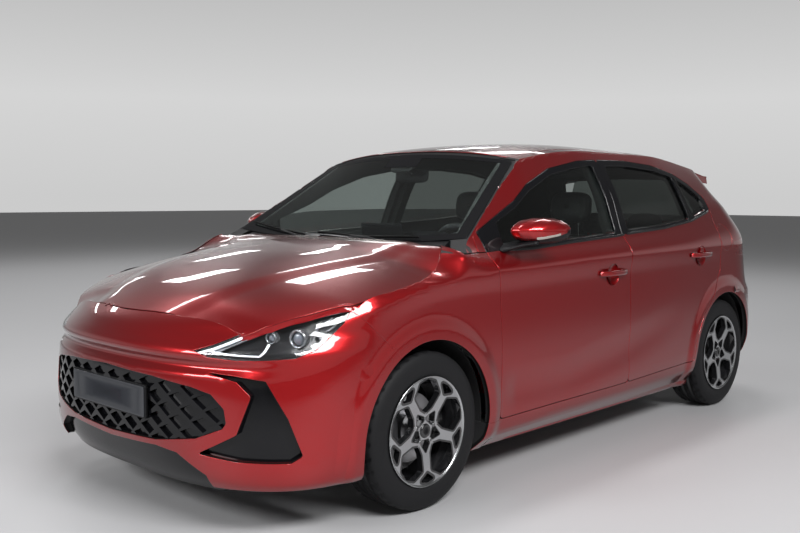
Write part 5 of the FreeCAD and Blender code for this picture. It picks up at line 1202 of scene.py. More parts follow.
class Palette:
    """Makes every material once and hands it out by name."""

    def __init__(self) -> None:
        """Makes the shared effects and an empty list of materials."""
        self.effects = Effects()
        self.made: Dict[str, bpy.types.Material] = {}

    def _new(self, name: str) -> Tuple[bpy.types.Material, bpy.types.NodeTree, bpy.types.Node]:
        """Empty material with its output.

        Args:
            name: name of the material.

        Returns:
            The material, its nodes and its output.
        """
        m = bpy.data.materials.new(name)
        m.use_nodes = True
        t = m.node_tree
        t.nodes.clear()
        out = t.nodes.new("ShaderNodeOutputMaterial")
        self.made[name] = m
        return m, t, out

    def _group_node(self, t: bpy.types.NodeTree, group: bpy.types.NodeTree,
                    **values: float) -> bpy.types.Node:
        """Node of a shared group, with its values set.

        Args:
            t: the material's nodes.
            group: the shared group.
            values: value of each input.

        Returns:
            The node.
        """
        g = t.nodes.new("ShaderNodeGroup")
        g.node_tree = group
        for key, value in values.items():
            g.inputs[key].default_value = value
        return g

    def plain(self, f: Finish) -> bpy.types.Material:
        """Principled material from a finish, with optional grain.

        Args:
            f: the finish.

        Returns:
            The material, made once.
        """
        if f.name in self.made:
            return self.made[f.name]
        m, t, out = self._new(f.name)
        p = t.nodes.new("ShaderNodeBsdfPrincipled")
        p.inputs["Base Color"].default_value = (*f.colour, 1.0)
        p.inputs["Metallic"].default_value = f.metallic
        p.inputs["Coat Weight"].default_value = f.coat
        p.inputs["Coat Roughness"].default_value = 0.04
        p.inputs["Specular IOR Level"].default_value = f.specular
        p.inputs["Sheen Weight"].default_value = f.sheen
        wear = self._group_node(t, self.effects.dust, Scale=5.0, Low=f.roughness * 0.9,
                                High=min(1.0, f.roughness * 1.12))
        t.links.new(wear.outputs["Value"], p.inputs["Roughness"])
        if f.grain > 0:
            g = self._group_node(t, self.effects.grain, Scale=f.grain_size, Strength=f.grain)
            t.links.new(g.outputs["Normal"], p.inputs["Normal"])
        t.links.new(p.outputs["BSDF"], out.inputs["Surface"])
        return m

    def paint(self) -> bpy.types.Material:
        """Deep metallic red under a clear coat."""
        return self._red("red_paint", False)

    def panel(self) -> bpy.types.Material:
        """The red of a whole panel, with a dark lining on its cabin side."""
        return self._red("red_panel", True)

    def _red(self, name: str, lined: bool) -> bpy.types.Material:
        """Metallic red: brighter where it faces the eye, dark at a slant.

        Args:
            name: name of the material.
            lined: whether faces that look into the cabin are dark and matt.

        Returns:
            The material, made once.
        """
        if name in self.made:
            return self.made[name]
        m, t, out = self._new(name)
        n = t.nodes
        p = n.new("ShaderNodeBsdfPrincipled")
        facing, ramp = n.new("ShaderNodeLayerWeight"), n.new("ShaderNodeValToRGB")
        facing.inputs["Blend"].default_value = 0.5
        ramp.color_ramp.elements[0].color = (0.40, 0.0045, 0.007, 1)
        ramp.color_ramp.elements[1].color = (0.055, 0.0005, 0.0015, 1)
        middle = ramp.color_ramp.elements.new(0.5)
        middle.color = (0.26, 0.0022, 0.0045, 1)
        flake, bump = n.new("ShaderNodeTexVoronoi"), n.new("ShaderNodeBump")
        place = n.new("ShaderNodeTexCoord")
        flake.inputs["Scale"].default_value = 2600.0
        bump.inputs["Strength"].default_value = 0.05
        bump.inputs["Distance"].default_value = 0.0002
        p.inputs["Coat Roughness"].default_value = 0.012
        p.inputs["Coat IOR"].default_value = 1.5
        t.links.new(facing.outputs["Facing"], ramp.inputs["Fac"])
        t.links.new(place.outputs["Object"], flake.inputs["Vector"])
        t.links.new(flake.outputs["Color"], bump.inputs["Height"])
        t.links.new(bump.outputs["Normal"], p.inputs["Normal"])
        t.links.new(p.outputs["BSDF"], out.inputs["Surface"])
        if not lined:
            p.inputs["Metallic"].default_value = 0.72
            p.inputs["Roughness"].default_value = 0.30
            p.inputs["Coat Weight"].default_value = 1.0
            t.links.new(ramp.outputs["Color"], p.inputs["Base Color"])
            return m
        mask = self._group_node(t, self.effects.cabin_side).outputs["Value"]
        mix = n.new("ShaderNodeMix")
        mix.data_type = "RGBA"
        socket = {i.identifier: i for i in mix.inputs}
        socket["B_Color"].default_value = (0.014, 0.014, 0.015, 1)
        t.links.new(mask, socket["Factor_Float"])
        t.links.new(ramp.outputs["Color"], socket["A_Color"])
        t.links.new({o.identifier: o for o in mix.outputs}["Result_Color"], p.inputs["Base Color"])
        for name_, outer, inner in (("Metallic", 0.72, 0.0), ("Roughness", 0.30, 0.75),
                                    ("Coat Weight", 1.0, 0.0)):
            span = n.new("ShaderNodeMapRange")
            span.inputs["To Min"].default_value = outer
            span.inputs["To Max"].default_value = inner
            t.links.new(mask, span.inputs["Value"])
            t.links.new(span.outputs["Result"], p.inputs[name_])
        return m

    def glass(self, name: str, tint: Colour) -> bpy.types.Material:
        """Clear or tinted glass that lets light into the cabin.

        Args:
            name: name of the material.
            tint: colour that it lets through.

        Returns:
            The material, made once.
        """
        if name in self.made:
            return self.made[name]
        m, t, out = self._new(name)
        body = self._glass_body(t, tint)
        t.links.new(body, out.inputs["Surface"])
        return m

    @staticmethod
    def _glass_body(t: bpy.types.NodeTree, tint: Colour) -> bpy.types.NodeSocket:
        """Glass that lets lamps shine through it.

        Args:
            t: the material's nodes.
            tint: colour let through.

        Returns:
            Its output.
        """
        n = t.nodes
        p, clear, mix, path = (n.new(kind) for kind in ("ShaderNodeBsdfPrincipled",
                                                        "ShaderNodeBsdfTransparent", "ShaderNodeMixShader",
                                                        "ShaderNodeLightPath"))
        p.inputs["Base Color"].default_value = (*tint, 1)
        p.inputs["Roughness"].default_value = 0.0
        p.inputs["IOR"].default_value = 1.45
        p.inputs["Transmission Weight"].default_value = 1.0
        clear.inputs["Color"].default_value = (*tint, 1)
        t.links.new(path.outputs["Is Shadow Ray"], mix.inputs["Fac"])
        t.links.new(p.outputs["BSDF"], mix.inputs[1])
        t.links.new(clear.outputs["BSDF"], mix.inputs[2])
        return mix.outputs["Shader"]

    def cloth(self) -> bpy.types.Material:
        """Woven seat cloth, dark with a fine two-tone weave.

        Returns:
            The material, made once.
        """
        if "seat_weave" in self.made:
            return self.made["seat_weave"]
        m, t, out = self._new("seat_weave")
        n = t.nodes
        p, place = n.new("ShaderNodeBsdfPrincipled"), n.new("ShaderNodeTexCoord")
        noise = n.new("ShaderNodeTexNoise")
        ramp, bump = n.new("ShaderNodeValToRGB"), n.new("ShaderNodeBump")
        most = n.new("ShaderNodeMath")
        waves = []
        for direction in ("X", "Y"):
            w = n.new("ShaderNodeTexWave")
            w.bands_direction = direction
            w.inputs["Scale"].default_value = 180.0
            w.inputs["Distortion"].default_value = 0.6
            t.links.new(place.outputs["Object"], w.inputs["Vector"])
            waves.append(w.outputs["Fac"])
        most.operation = "MAXIMUM"
        t.links.new(waves[0], most.inputs[0])
        t.links.new(waves[1], most.inputs[1])
        noise.inputs["Scale"].default_value = 60.0
        t.links.new(place.outputs["Object"], noise.inputs["Vector"])
        ramp.color_ramp.elements[0].color = (0.010, 0.010, 0.012, 1)
        ramp.color_ramp.elements[1].color = (0.036, 0.036, 0.042, 1)
        t.links.new(noise.outputs["Fac"], ramp.inputs["Fac"])
        t.links.new(ramp.outputs["Color"], p.inputs["Base Color"])
        p.inputs["Roughness"].default_value = 0.9
        p.inputs["Sheen Weight"].default_value = 0.3
        bump.inputs["Strength"].default_value = 0.4
        bump.inputs["Distance"].default_value = 0.0006
        t.links.new(most.outputs["Value"], bump.inputs["Height"])
        t.links.new(bump.outputs["Normal"], p.inputs["Normal"])
        t.links.new(p.outputs["BSDF"], out.inputs["Surface"])
        return m

    def screen(self) -> bpy.types.Material:
        """Windscreen glass with a black printed border that fades in dots.

        Returns:
            The material, made once.
        """
        if "screen_glass" in self.made:
            return self.made["screen_glass"]
        m, t, out = self._new("screen_glass")
        n = t.nodes
        print_ = n.new("ShaderNodeBsdfPrincipled")
        print_.inputs["Base Color"].default_value = (0.006, 0.006, 0.007, 1)
        print_.inputs["Roughness"].default_value = 0.08
        body, border = self._glass_body(t, (0.74, 0.80, 0.78)), n.new("ShaderNodeMixShader")
        uv, parts = n.new("ShaderNodeUVMap"), n.new("ShaderNodeSeparateXYZ")
        uv.uv_map = "flat"
        t.links.new(uv.outputs["UV"], parts.inputs["Vector"])

        def math_node(kind: str, a: object, b: object) -> bpy.types.NodeSocket:
            """Maths node on two sockets or numbers.

            Args:
                kind: operation of the node.
                a: first input.
                b: second input.

            Returns:
                Its output.
            """
            k = n.new("ShaderNodeMath")
            k.operation = kind
            for i, value in enumerate((a, b)):
                if isinstance(value, float):
                    k.inputs[i].default_value = value
                else:
                    t.links.new(value, k.inputs[i])
            return k.outputs["Value"]

        across = math_node("ABSOLUTE", parts.outputs["X"], 0.0)
        side = math_node("GREATER_THAN", across, 0.905)
        low = math_node("LESS_THAN", parts.outputs["Y"], 0.075)
        high = math_node("GREATER_THAN", parts.outputs["Y"], 0.94)
        middle = math_node("MULTIPLY", math_node("LESS_THAN", across, 0.17),
                           math_node("GREATER_THAN", parts.outputs["Y"], 0.84))
        mask = math_node("MAXIMUM", math_node("MAXIMUM", side, low), math_node("MAXIMUM", high, middle))
        t.links.new(mask, border.inputs["Fac"])
        t.links.new(body, border.inputs[1])
        t.links.new(print_.outputs["BSDF"], border.inputs[2])
        t.links.new(border.outputs["Shader"], out.inputs["Surface"])
        return m


BLACK_GLOSS = Finish("black_gloss", (0.004, 0.004, 0.005), 0.12, specular=0.35)
BLACK_SATIN = Finish("black_satin", (0.007, 0.007, 0.008), 0.42, specular=0.25, grain=0.12,
                     grain_size=900.0)
BLACK_TRIM = Finish("black_trim", (0.008, 0.008, 0.009), 0.5, specular=0.2, grain=0.25, grain_size=700.0)
UNDER = Finish("under_coat", (0.014, 0.014, 0.015), 0.75, grain=0.3, grain_size=120.0)
RUBBER = Finish("tyre_rubber", (0.010, 0.010, 0.011), 0.62, specular=0.2, grain=0.15, grain_size=600.0)
# Black rubber of the wiper blades and the door divider; the painted skins also take it on their hem walls
# as painted shade in the shut gaps and at the edges of openings.
SEAL_AND_GAP_SHADE = Finish("rubber_seal_and_gap_shade", (0.005, 0.005, 0.005), 0.6, specular=0.15)
CABIN = Finish("cabin_plastic", (0.012, 0.012, 0.013), 0.6, specular=0.3, grain=0.5, grain_size=520.0)
CLOTH = Finish("seat_cloth", (0.018, 0.018, 0.021), 0.9, sheen=0.35, grain=0.5, grain_size=1100.0)
LEATHER = Finish("seat_bolster", (0.014, 0.014, 0.016), 0.45, grain=0.5, grain_size=420.0)
STEEL = Finish("dark_steel", (0.10, 0.10, 0.105), 0.45, metallic=0.9)
DISC = Finish("disc_iron", (0.33, 0.33, 0.34), 0.32, metallic=1.0)
CHROME = Finish("bright_trim", (0.75, 0.76, 0.78), 0.08, metallic=1.0)
SILVER_FACE = Finish("machined_face", (0.46, 0.47, 0.48), 0.24, metallic=1.0, coat=0.5)
WHEEL_BLACK = Finish("wheel_black", (0.010, 0.010, 0.011), 0.2, coat=0.7)
EXHAUST = Finish("exhaust_metal", (0.28, 0.26, 0.24), 0.4, metallic=0.95)
ENGINE = Finish("engine_metal", (0.12, 0.12, 0.125), 0.55, metallic=0.5)
LAMP_DARK = Finish("lamp_dark", (0.006, 0.006, 0.007), 0.3, specular=0.4)
LAMP_SILVER = Finish("lamp_silver", (0.36, 0.37, 0.39), 0.25, metallic=0.9)
LAMP_WHITE = Finish("lamp_white", (0.75, 0.78, 0.82), 0.25, coat=0.5)
LAMP_DIM = Finish("lamp_dim", (0.16, 0.16, 0.17), 0.35, metallic=0.6)
LAMP_RED = Finish("lamp_red", (0.12, 0.001, 0.002), 0.10, coat=1.0)
GUIDE_RED = Finish("guide_red", (0.62, 0.03, 0.03), 0.2, coat=1.0)
MIRROR_GLASS = Finish("mirror_glass", (0.80, 0.82, 0.84), 0.02, metallic=1.0)
INDICATOR = Finish("indicator_lens", (0.28, 0.26, 0.24), 0.12, coat=0.8)
LENS_GLASS = Finish("projector_lens", (0.10, 0.11, 0.13), 0.03, coat=1.0, specular=1.0)
PLATE = Finish("blank_plate", (0.022, 0.024, 0.030), 0.32, coat=0.3)
STEEL_NUT = Finish("wheel_nut", (0.30, 0.30, 0.31), 0.3, metallic=1.0)


def shares(points: Points) -> List[Tuple[float, float]]:
    """Side outline in metres from shares of the wheelbase and height."""
    return [(station(a), b * HEIGHT) for a, b in points]


def scaled(points: Points, across: float, up: float) -> List[Tuple[float, float]]:
    """Outline in metres from shares of two sizes."""
    return [(a * across, b * up) for a, b in points]


def folded(points: Points) -> List[Tuple[float, float]]:
    """Half outline that begins and ends on the car's middle, closed past it."""
    p = list(points)
    return [(-0.2, p[0][1])] + p + [(-0.2, p[-1][1])]


class Outlines:
    """Outlines of the panels, as the source of the part has them."""

    front_door = shares(((0.173, 0.190), (0.173, 0.413), (0.1695, 0.546), (0.163, 0.6025), (0.1575, 0.656),
                         (0.157, 0.708), (0.279, 0.793), (0.333, 0.845), (0.415, 0.8955), (0.520, 0.9255),
                         (0.590, 0.933), (0.585, 0.799), (0.578, 0.688), (0.577, 0.400), (0.577, 0.1965)))
    rear_door = shares(((0.579, 0.1965), (0.579, 0.400), (0.5805, 0.688), (0.5875, 0.799), (0.5925, 0.933),
                        (0.703, 0.935), (0.8165, 0.924), (0.909, 0.8955), (0.9675, 0.859), (1.0065, 0.809),
                        (0.9965, 0.7655), (0.979, 0.706), (0.972, 0.599), (0.972, 0.533), (0.956, 0.495),
                        (0.9225, 0.425), (0.884, 0.373), (0.861, 0.306), (0.851, 0.246), (0.848, 0.2085)))
    front_window = shares(((0.205, 0.667), (0.2105, 0.7355), (0.275, 0.777), (0.333, 0.829), (0.415, 0.880),
                           (0.520, 0.910), (0.567, 0.916), (0.5605, 0.690), (0.40, 0.678), (0.28, 0.667)))
    rear_window = shares(((0.604, 0.698), (0.6105, 0.916), (0.703, 0.919), (0.8165, 0.9075), (0.889, 0.887),
                          (0.882, 0.729), (0.75, 0.709)))
    quarter_window = shares(((0.902, 0.734), (0.907, 0.879), (0.955, 0.850), (0.989, 0.808),
                             (0.975, 0.760)))
    fender = shares(((0.171, 0.188), (0.171, 0.413), (0.1673, 0.546), (0.1609, 0.6025), (0.1552, 0.6535),
                     (0.088, 0.6535), (0.072, 0.700), (-0.155, 0.700), (-0.155, 0.545), (-0.145, 0.535),
                     (-0.0967, 0.4614), (-0.06, 0.40), (0.0, 0.188)))
    body = shares(((0.11, 0.105), (0.11, 0.186), (0.1735, 0.186), (0.1735, 0.413), (0.1700, 0.546),
                   (0.1636, 0.6025),
                   (0.1580, 0.6575), (0.0865, 0.6575), (0.07, 0.72), (0.07, 1.02), (1.35, 1.02),
                   (1.35, 0.105)))
    bonnet = [(station(a), b * HALF_WIDTH) for a, b in
              ((-0.2982, 0.0), (-0.2965, 0.10), (-0.2905, 0.25), (-0.2835, 0.367), (-0.2725, 0.50),
               (-0.2612, 0.668), (-0.2376, 0.757), (-0.1998, 0.835), (-0.157, 0.9015), (-0.1442, 0.9293),
               (-0.107, 0.946), (-0.058, 0.9516), (-0.0134, 0.946), (0.0243, 0.9237), (0.049, 0.8904),
               (0.0715, 0.850), (0.078, 0.829), (0.088, 0.668), (0.102, 0.334), (0.1095, 0.0))]
    lamp_top = ((0.5800, 0.4500), (0.549, 0.4607), (0.4895, 0.4887), (0.4346, 0.5146), (0.3697, 0.5366),
                (0.3035, 0.5526))
    lamp = scaled(((0.589, 0.4475),) + lamp_top[1:] + (
        (0.2848, 0.5553), (0.282, 0.547), (0.2977, 0.512), (0.325, 0.4807), (0.3506, 0.4541),
                                                       (0.388, 0.4374), (0.444, 0.4334),
        (0.5015, 0.4314), (0.5584, 0.4361)), WHEEL_BASE, HEIGHT)
    grille = folded(scaled(((0.0, 0.387), (0.33, 0.379), (0.53, 0.365), (0.615, 0.352), (0.668, 0.320),
                            (0.679, 0.286), (0.665, 0.272), (0.55, 0.243), (0.33, 0.222), (0.0, 0.214)),
                           HALF_WIDTH, HEIGHT))
    intake = scaled(((0.4428, 0.387), (0.50, 0.396), (0.575, 0.402), (0.50, 0.382), (0.472, 0.35),
                     (0.50, 0.262),
                     (0.555, 0.226), (0.582, 0.208), (0.50, 0.198), (0.395, 0.197), (0.372, 0.213),
                     (0.40, 0.30)),
                    WHEEL_BASE, HEIGHT)
    chin = folded(scaled(((0.0, 0.201), (0.33, 0.210), (0.45, 0.203), (0.585, 0.158), (0.60, 0.100)),
                         HALF_WIDTH, HEIGHT))
    tailgate = folded(scaled(((0.0, 0.427), (0.52, 0.427), (0.578, 0.47), (0.60, 0.56), (0.63, 0.67),
                              (0.645, 0.735), (0.60, 0.88), (0.56, 1.02), (0.0, 1.02)), HALF_WIDTH, HEIGHT))
    rear_glass = folded(scaled(((0.0, 0.702), (0.545, 0.708), (0.56, 0.74), (0.50, 0.868), (0.47, 0.885),
                                (0.0, 0.893)),
                               HALF_WIDTH, HEIGHT))
    tail_lamp = scaled(((0.61, 0.572), (0.64, 0.645), (0.86, 0.655), (1.02, 0.64), (1.02, 0.59),
                        (0.80, 0.565)),
                       HALF_WIDTH, HEIGHT)


GAP = 0.0055
LAMP_GAP = 0.003
BUMPER_TOP = 0.655
ROOF_REAR_X = station(1.0685)
ROOF_SIDE = 0.91
DOOR_ROUND = 0.024


def circle(axle_x: float, radius: float) -> List[Tuple[float, float]]:
    """Circle round an axle in the side view."""
    return [(axle_x + radius * math.cos(t), AXLE_Z + radius * math.sin(t))
            for t in np.linspace(0, 2 * math.pi, 180, False)]


def around(x: float, z: float, radius: float) -> List[Tuple[float, float]]:
    """Circle in the side view."""
    return [(x + radius * math.cos(t), z + radius * math.sin(t))
            for t in np.linspace(0, 2 * math.pi, 72, False)]


def arch(axle_x: float, radius: float = ARCH_RADIUS) -> Cut:
    """Cut for a wheel arch."""
    return Cut(View.SIDE, np.array(circle(axle_x, radius)))


def box_cut(view: View, a0: float, a1: float, b0: float, b1: float, keep: bool = False) -> Cut:
    """Cut for a rectangle in a view."""
    return cut(view, [(a0, b0), (a1, b0), (a1, b1), (a0, b1)], keep, 0.0, 0.012)


def belt_line(x: Array) -> Array:
    """Height of the line between the painted part of the doors and the black frames.

    Args:
        x: places along the car.

    Returns:
        The height at each place.
    """
    at = (FRONT_AXLE_X - np.asarray(x)) / WHEEL_BASE
    return np.interp(at, (0.157, 0.205, 0.28, 0.40, 0.5605, 0.604, 0.75, 0.882, 0.975, 1.01),
                     (0.655, 0.6585, 0.6585, 0.670, 0.682, 0.688, 0.700, 0.722, 0.752, 0.772)) * HEIGHT


class Car:
    """Everything that is built for the car, and how each piece rides."""

    def __init__(self, palette: Palette) -> None:
        """Keeps the palette and starts the list of pieces."""
        self.palette = palette
        self.pieces: List[bpy.types.Object] = []

    def put(self, obj: bpy.types.Object, body: str, slot: str,
            replaces: Sequence[str] = ()) -> bpy.types.Object:
        """Lets a piece ride on a body, and hides the nodes that it replaces.

        Args:
            obj: the piece.
            body: body that it rides on.
            slot: material slot; not used.
            replaces: nodes that it stands for.

        Returns:
            The Blender object.
        """
        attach(obj, body)
        if replaces:
            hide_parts(*replaces)
        self.pieces.append(obj)
        return obj

    def both(self, shell: Shell, stem: str, materials: Sequence[bpy.types.Material], body: str, slot: str,
             replaces: Sequence[str] = ()) -> None:
        """The shell on the left and its mirror image on the right; {} in the names becomes left or right.

        Args:
            shell: the shape.
            stem: name with a place for the side.
            materials: materials for its faces.
            body: body that it rides on.
            slot: material slot.
            replaces: nodes that it stands for.
        """
        for side in ("left", "right"):
            part = shell if side == "left" else shell.mirrored(stem.format(side))
            part.name = stem.format(side)
            self.put(part.mesh(materials), body.format(side), slot, [n.format(side) for n in replaces])


@dataclass
class Bodywork:
    """Painted skins of the shell, doors, bonnet and tailgate."""

    car: Car
    flap: Tuple[float, float, float] = (-1.400, 0.985, 0.078)

    def __post_init__(self) -> None:
        """Takes the red paint, the gloss black and the black for painted shade on the hem walls from the
        palette.
        """
        self.paint = self.car.palette.paint()
        self.gloss = self.car.palette.plain(BLACK_GLOSS)
        # The second material goes on each skin's hem wall: black as painted shade in the shut gaps and at
        # the openings' edges.
        self.paint_with_gap_shade = [self.paint, self.car.palette.plain(SEAL_AND_GAP_SHADE)]

    def build(self) -> None:
        """Makes every painted skin."""
        self.bonnet()
        self.front_bumper()
        self.fenders()
        self.sides()
        self.doors()
        self.roof()
        self.tail()

    def bonnet(self) -> None:
        """Skin of the bonnet."""
        skin = Skin("bonnet_skin", BonnetForm(), (station(0.12), station(-0.31), -0.90, 0.90),
                    [cut(View.PLAN, folded_plan(Outlines.bonnet), True)], PANEL_PITCH)
        self.car.put(skin.build().mesh(self.paint_with_gap_shade), "bonnet", "body_paint")

    def front_bumper(self) -> None:
        """Skin of the front bumper and nose, open at grille, intakes, chin and lamps."""
        room = cut(View.PLAN, grown(folded_plan(Outlines.bonnet), GAP))
        cuts = [room, cut(View.CORNER, grown(Outlines.lamp, LAMP_GAP)),
                cut(View.CORNER, Outlines.intake, radius=0.01),
                cut(View.END, Outlines.grille, radius=0.02), cut(View.END, Outlines.chin, radius=0.004),
                cut(View.SIDE, grown(Outlines.fender, LAMP_GAP)),
                arch(FRONT_AXLE_X), box_cut(View.SIDE, 0.0, FRONT_AXLE_X, 0.0, 1.2)]
        skin = Skin("front_bumper_skin", EndForm(True), (-2.6, 2.6, 0.128 * HEIGHT, 0.572 * HEIGHT), cuts,
                    NOSE_PITCH)
        self.car.put(skin.build().mesh(self.paint_with_gap_shade), "shell", "body_paint")

    def fenders(self) -> None:
        """Skins of the front fenders."""
        room = cut(View.PLAN, grown(folded_plan(Outlines.bonnet), GAP))
        cuts = [room, cut(View.CORNER, grown(Outlines.lamp, LAMP_GAP)),
                cut(View.SIDE, Outlines.fender, True),
                arch(FRONT_AXLE_X)]
        skin = Skin("fender_skin", EndForm(True), (0.9, 2.62, 0.12 * HEIGHT, 0.72 * HEIGHT), cuts,
                    NOSE_PITCH)
        self.car.both(skin.build(), "fender_skin_{}", self.paint_with_gap_shade, "shell", "body_paint")

    def sides(self) -> None:
        """Skins of the body sides, with the filler flap on the left, and of the rear quarters."""
        cuts = [cut(View.SIDE, Outlines.body, True), arch(FRONT_AXLE_X), arch(REAR_AXLE_X),
                cut(View.SIDE, grown(Outlines.front_door, GAP), radius=DOOR_ROUND),
                cut(View.SIDE, grown(Outlines.rear_door, GAP), radius=DOOR_ROUND)]
        span = (TAIL_X - 0.0005, station(0.07), 0.161, 1.46)
        plain = Skin("body_side_skin_right", SideForm(), span, cuts, PANEL_PITCH, keep=side_keep).build()
        self.car.put(plain.mirrored("body_side_skin_right").mesh(self.paint_with_gap_shade), "shell", "body_paint")
        x, z, radius = self.flap
        cuts = cuts + [Cut(View.SIDE, np.array(around(x, z, radius)))]
        holed = Skin("body_side_skin_left", SideForm(), span, cuts, PANEL_PITCH, keep=side_keep).build()
        self.car.put(holed.mesh(self.paint_with_gap_shade), "shell", "body_paint")
        flap = Skin("filler_flap", SideForm(), (x - 0.1, x + 0.1, z - 0.1, z + 0.1),
                    [Cut(View.SIDE, np.array(around(x, z, radius - 0.004)), True)], PANEL_PITCH)
        self.car.put(flap.build().mesh(self.paint_with_gap_shade), "shell", "body_paint")
        back = [arch(REAR_AXLE_X), cut(View.END, grown(Outlines.tailgate, GAP)),
                cut(View.END, grown(Outlines.tail_lamp, LAMP_GAP)),
                box_cut(View.SIDE, -2.4, 0.0, 0.0, BUMPER_TOP + LAMP_GAP)]
        quarter = Skin("quarter_skin", EndForm(False), (0.6, math.pi / 2 + 0.0005, BUMPER_TOP, 1.45), back,
                       PANEL_PITCH, keep=side_keep)
        self.car.both(quarter.build(), "quarter_skin_{}", self.paint_with_gap_shade, "shell", "body_paint")

    def doors(self) -> None:
        """Painted skins and black window frames of the doors."""
        handles = Handles(self.car)
        for end, outline, holes, body in (
                ("front", Outlines.front_door, [Outlines.front_window], "front_door_{}"),
                ("rear", Outlines.rear_door, [Outlines.rear_window, Outlines.quarter_window],
                 "rear_door_{}")):
            xs = [p[0] for p in outline]
            bounds = (min(xs) - 0.02, max(xs) + 0.02, 0.25, 1.44)
            line = np.stack([np.arange(bounds[0], bounds[1], 0.012)] * 2, -1)
            line[:, 1] = belt_line(line[:, 0])
            door = cut(View.SIDE, outline, True, DOOR_ROUND)
            hx, hz = handles.places()[end + "_door"]
            hollow = Cut(View.SIDE, np.array(around(hx, hz, handles.rim())))
            low = Skin("skin", SideForm(), bounds, [door, hollow], PANEL_PITCH,
                       keep=lambda p: p[..., 2] < belt_line(p[..., 0]),
                       extra_lines=[line])
            self.car.both(low.build(), end + "_door_skin_{}", self.paint_with_gap_shade, body, "body_paint")
            holes_cut = [cut(View.SIDE, h, False, DOOR_ROUND) for h in holes]
            high = Skin("frame", SideForm(), bounds, [door] + holes_cut, NOSE_PITCH, proud=0.0016,
                        roll=0.003, hem=0.010,
                        keep=lambda p: p[..., 2] > belt_line(p[..., 0]), extra_lines=[line])
            self.car.both(high.build(), end + "_door_frame_{}", [self.gloss], body, "black_plastic")

    def roof(self) -> None:
        """Skin of the roof."""
        front = [(screen_edge(a)[0] - GAP, screen_edge(a)[1]) for a in np.linspace(0, ROOF_SIDE, 6)]
        left = list(front)
        for x in np.linspace(front[-1][0] - 0.024, ROOF_REAR_X, 9):
            left.append((x, float(SIDE.section(np.array([x]))[1][-1][0]) * ROOF_SIDE))
        outline = folded_plan(left + [(ROOF_REAR_X, 0.0)])
        skin = Skin("roof_skin", RoofForm(), (station(1.10), station(0.28), -0.66, 0.66),
                    [cut(View.PLAN, outline, True)], 0.022)
        self.car.put(skin.build().mesh(self.paint_with_gap_shade), "shell", "body_paint")

    def tail(self) -> None:
        """Skins of the tailgate, its spoiler and the rear bumper."""
        gate = [cut(View.END, Outlines.tailgate, True), cut(View.END, Outlines.rear_glass, radius=0.02)]
        skin = Skin("tailgate_skin", EndForm(False), (-1.3, 1.3, 0.42 * HEIGHT, 0.932 * HEIGHT), gate,
                    PANEL_PITCH,
                    keep=lambda p: p[..., 2] < RoofForm().at(p[..., 0], p[..., 1])[..., 2] - 0.0005)
        self.car.put(skin.build().mesh(self.paint_with_gap_shade), "tailgate", "body_paint")
        spoiler = Skin("spoiler_skin", RoofForm(), (station(1.175), ROOF_REAR_X, -0.62, 0.62),
                       [], PANEL_PITCH, keep=lambda p: np.abs(p[..., 1]) < 0.60 * HALF_WIDTH)
        self.car.put(spoiler.build().mesh([self.paint]), "tailgate", "body_paint")
        cuts = [arch(REAR_AXLE_X), cut(View.END, grown(Outlines.tailgate, GAP)),
                box_cut(View.SIDE, REAR_AXLE_X, 0.5, 0.0, 1.2)]
        bumper = Skin("rear_bumper_skin", EndForm(False), (-2.2, 2.2, 0.12 * HEIGHT, BUMPER_TOP), cuts,
                      PANEL_PITCH)
        self.car.put(bumper.build().mesh(self.paint_with_gap_shade), "shell", "body_paint")


def folded_plan(half: Points) -> List[Tuple[float, float]]:
    """Plan outline of one half, carried a little past the middle so that folding keeps it whole."""
    p = list(half)
    return [(p[0][0], -0.3)] + p + [(p[-1][0], -0.3)]


def screen_edge(a: float) -> Tuple[float, float]:
    """Top edge of the windscreen in plan."""
    p = ScreenForm().at(np.array([a]), np.array([1.0]))[0]
    return float(p[0]), float(p[1])


def side_keep(p: Array) -> Array:
    """Keeps what lies behind the windscreen's plane and outside the roof panel.

    Args:
        p: points of the car.

    Returns:
        True for each point that stays.
    """
    x, y, z = p[..., 0], np.abs(p[..., 1]), p[..., 2]
    head, foot = np.array(screen_corner(1.0)), np.array(screen_corner(0.0))
    t = (z - foot[2]) / (head[2] - foot[2])
    line_x = foot[0] + t * (head[0] - foot[0])
    roof = RoofForm().at(x, y)[..., 2]
    half = SIDE.section(np.atleast_1d(x).ravel())[1][-1].reshape(np.shape(x))
    on_roof = (y < half * ROOF_SIDE + 0.0003) & (x > ROOF_REAR_X)
    return (x < line_x + 0.002) & (z < roof - 0.0004) & ~on_roof


def screen_corner(v: float) -> Tuple[float, float, float]:
    """Point on the windscreen's side edge."""
    p = ScreenForm().at(np.array([1.0]), np.array([v]))[0]
    return tuple(float(c) for c in p)


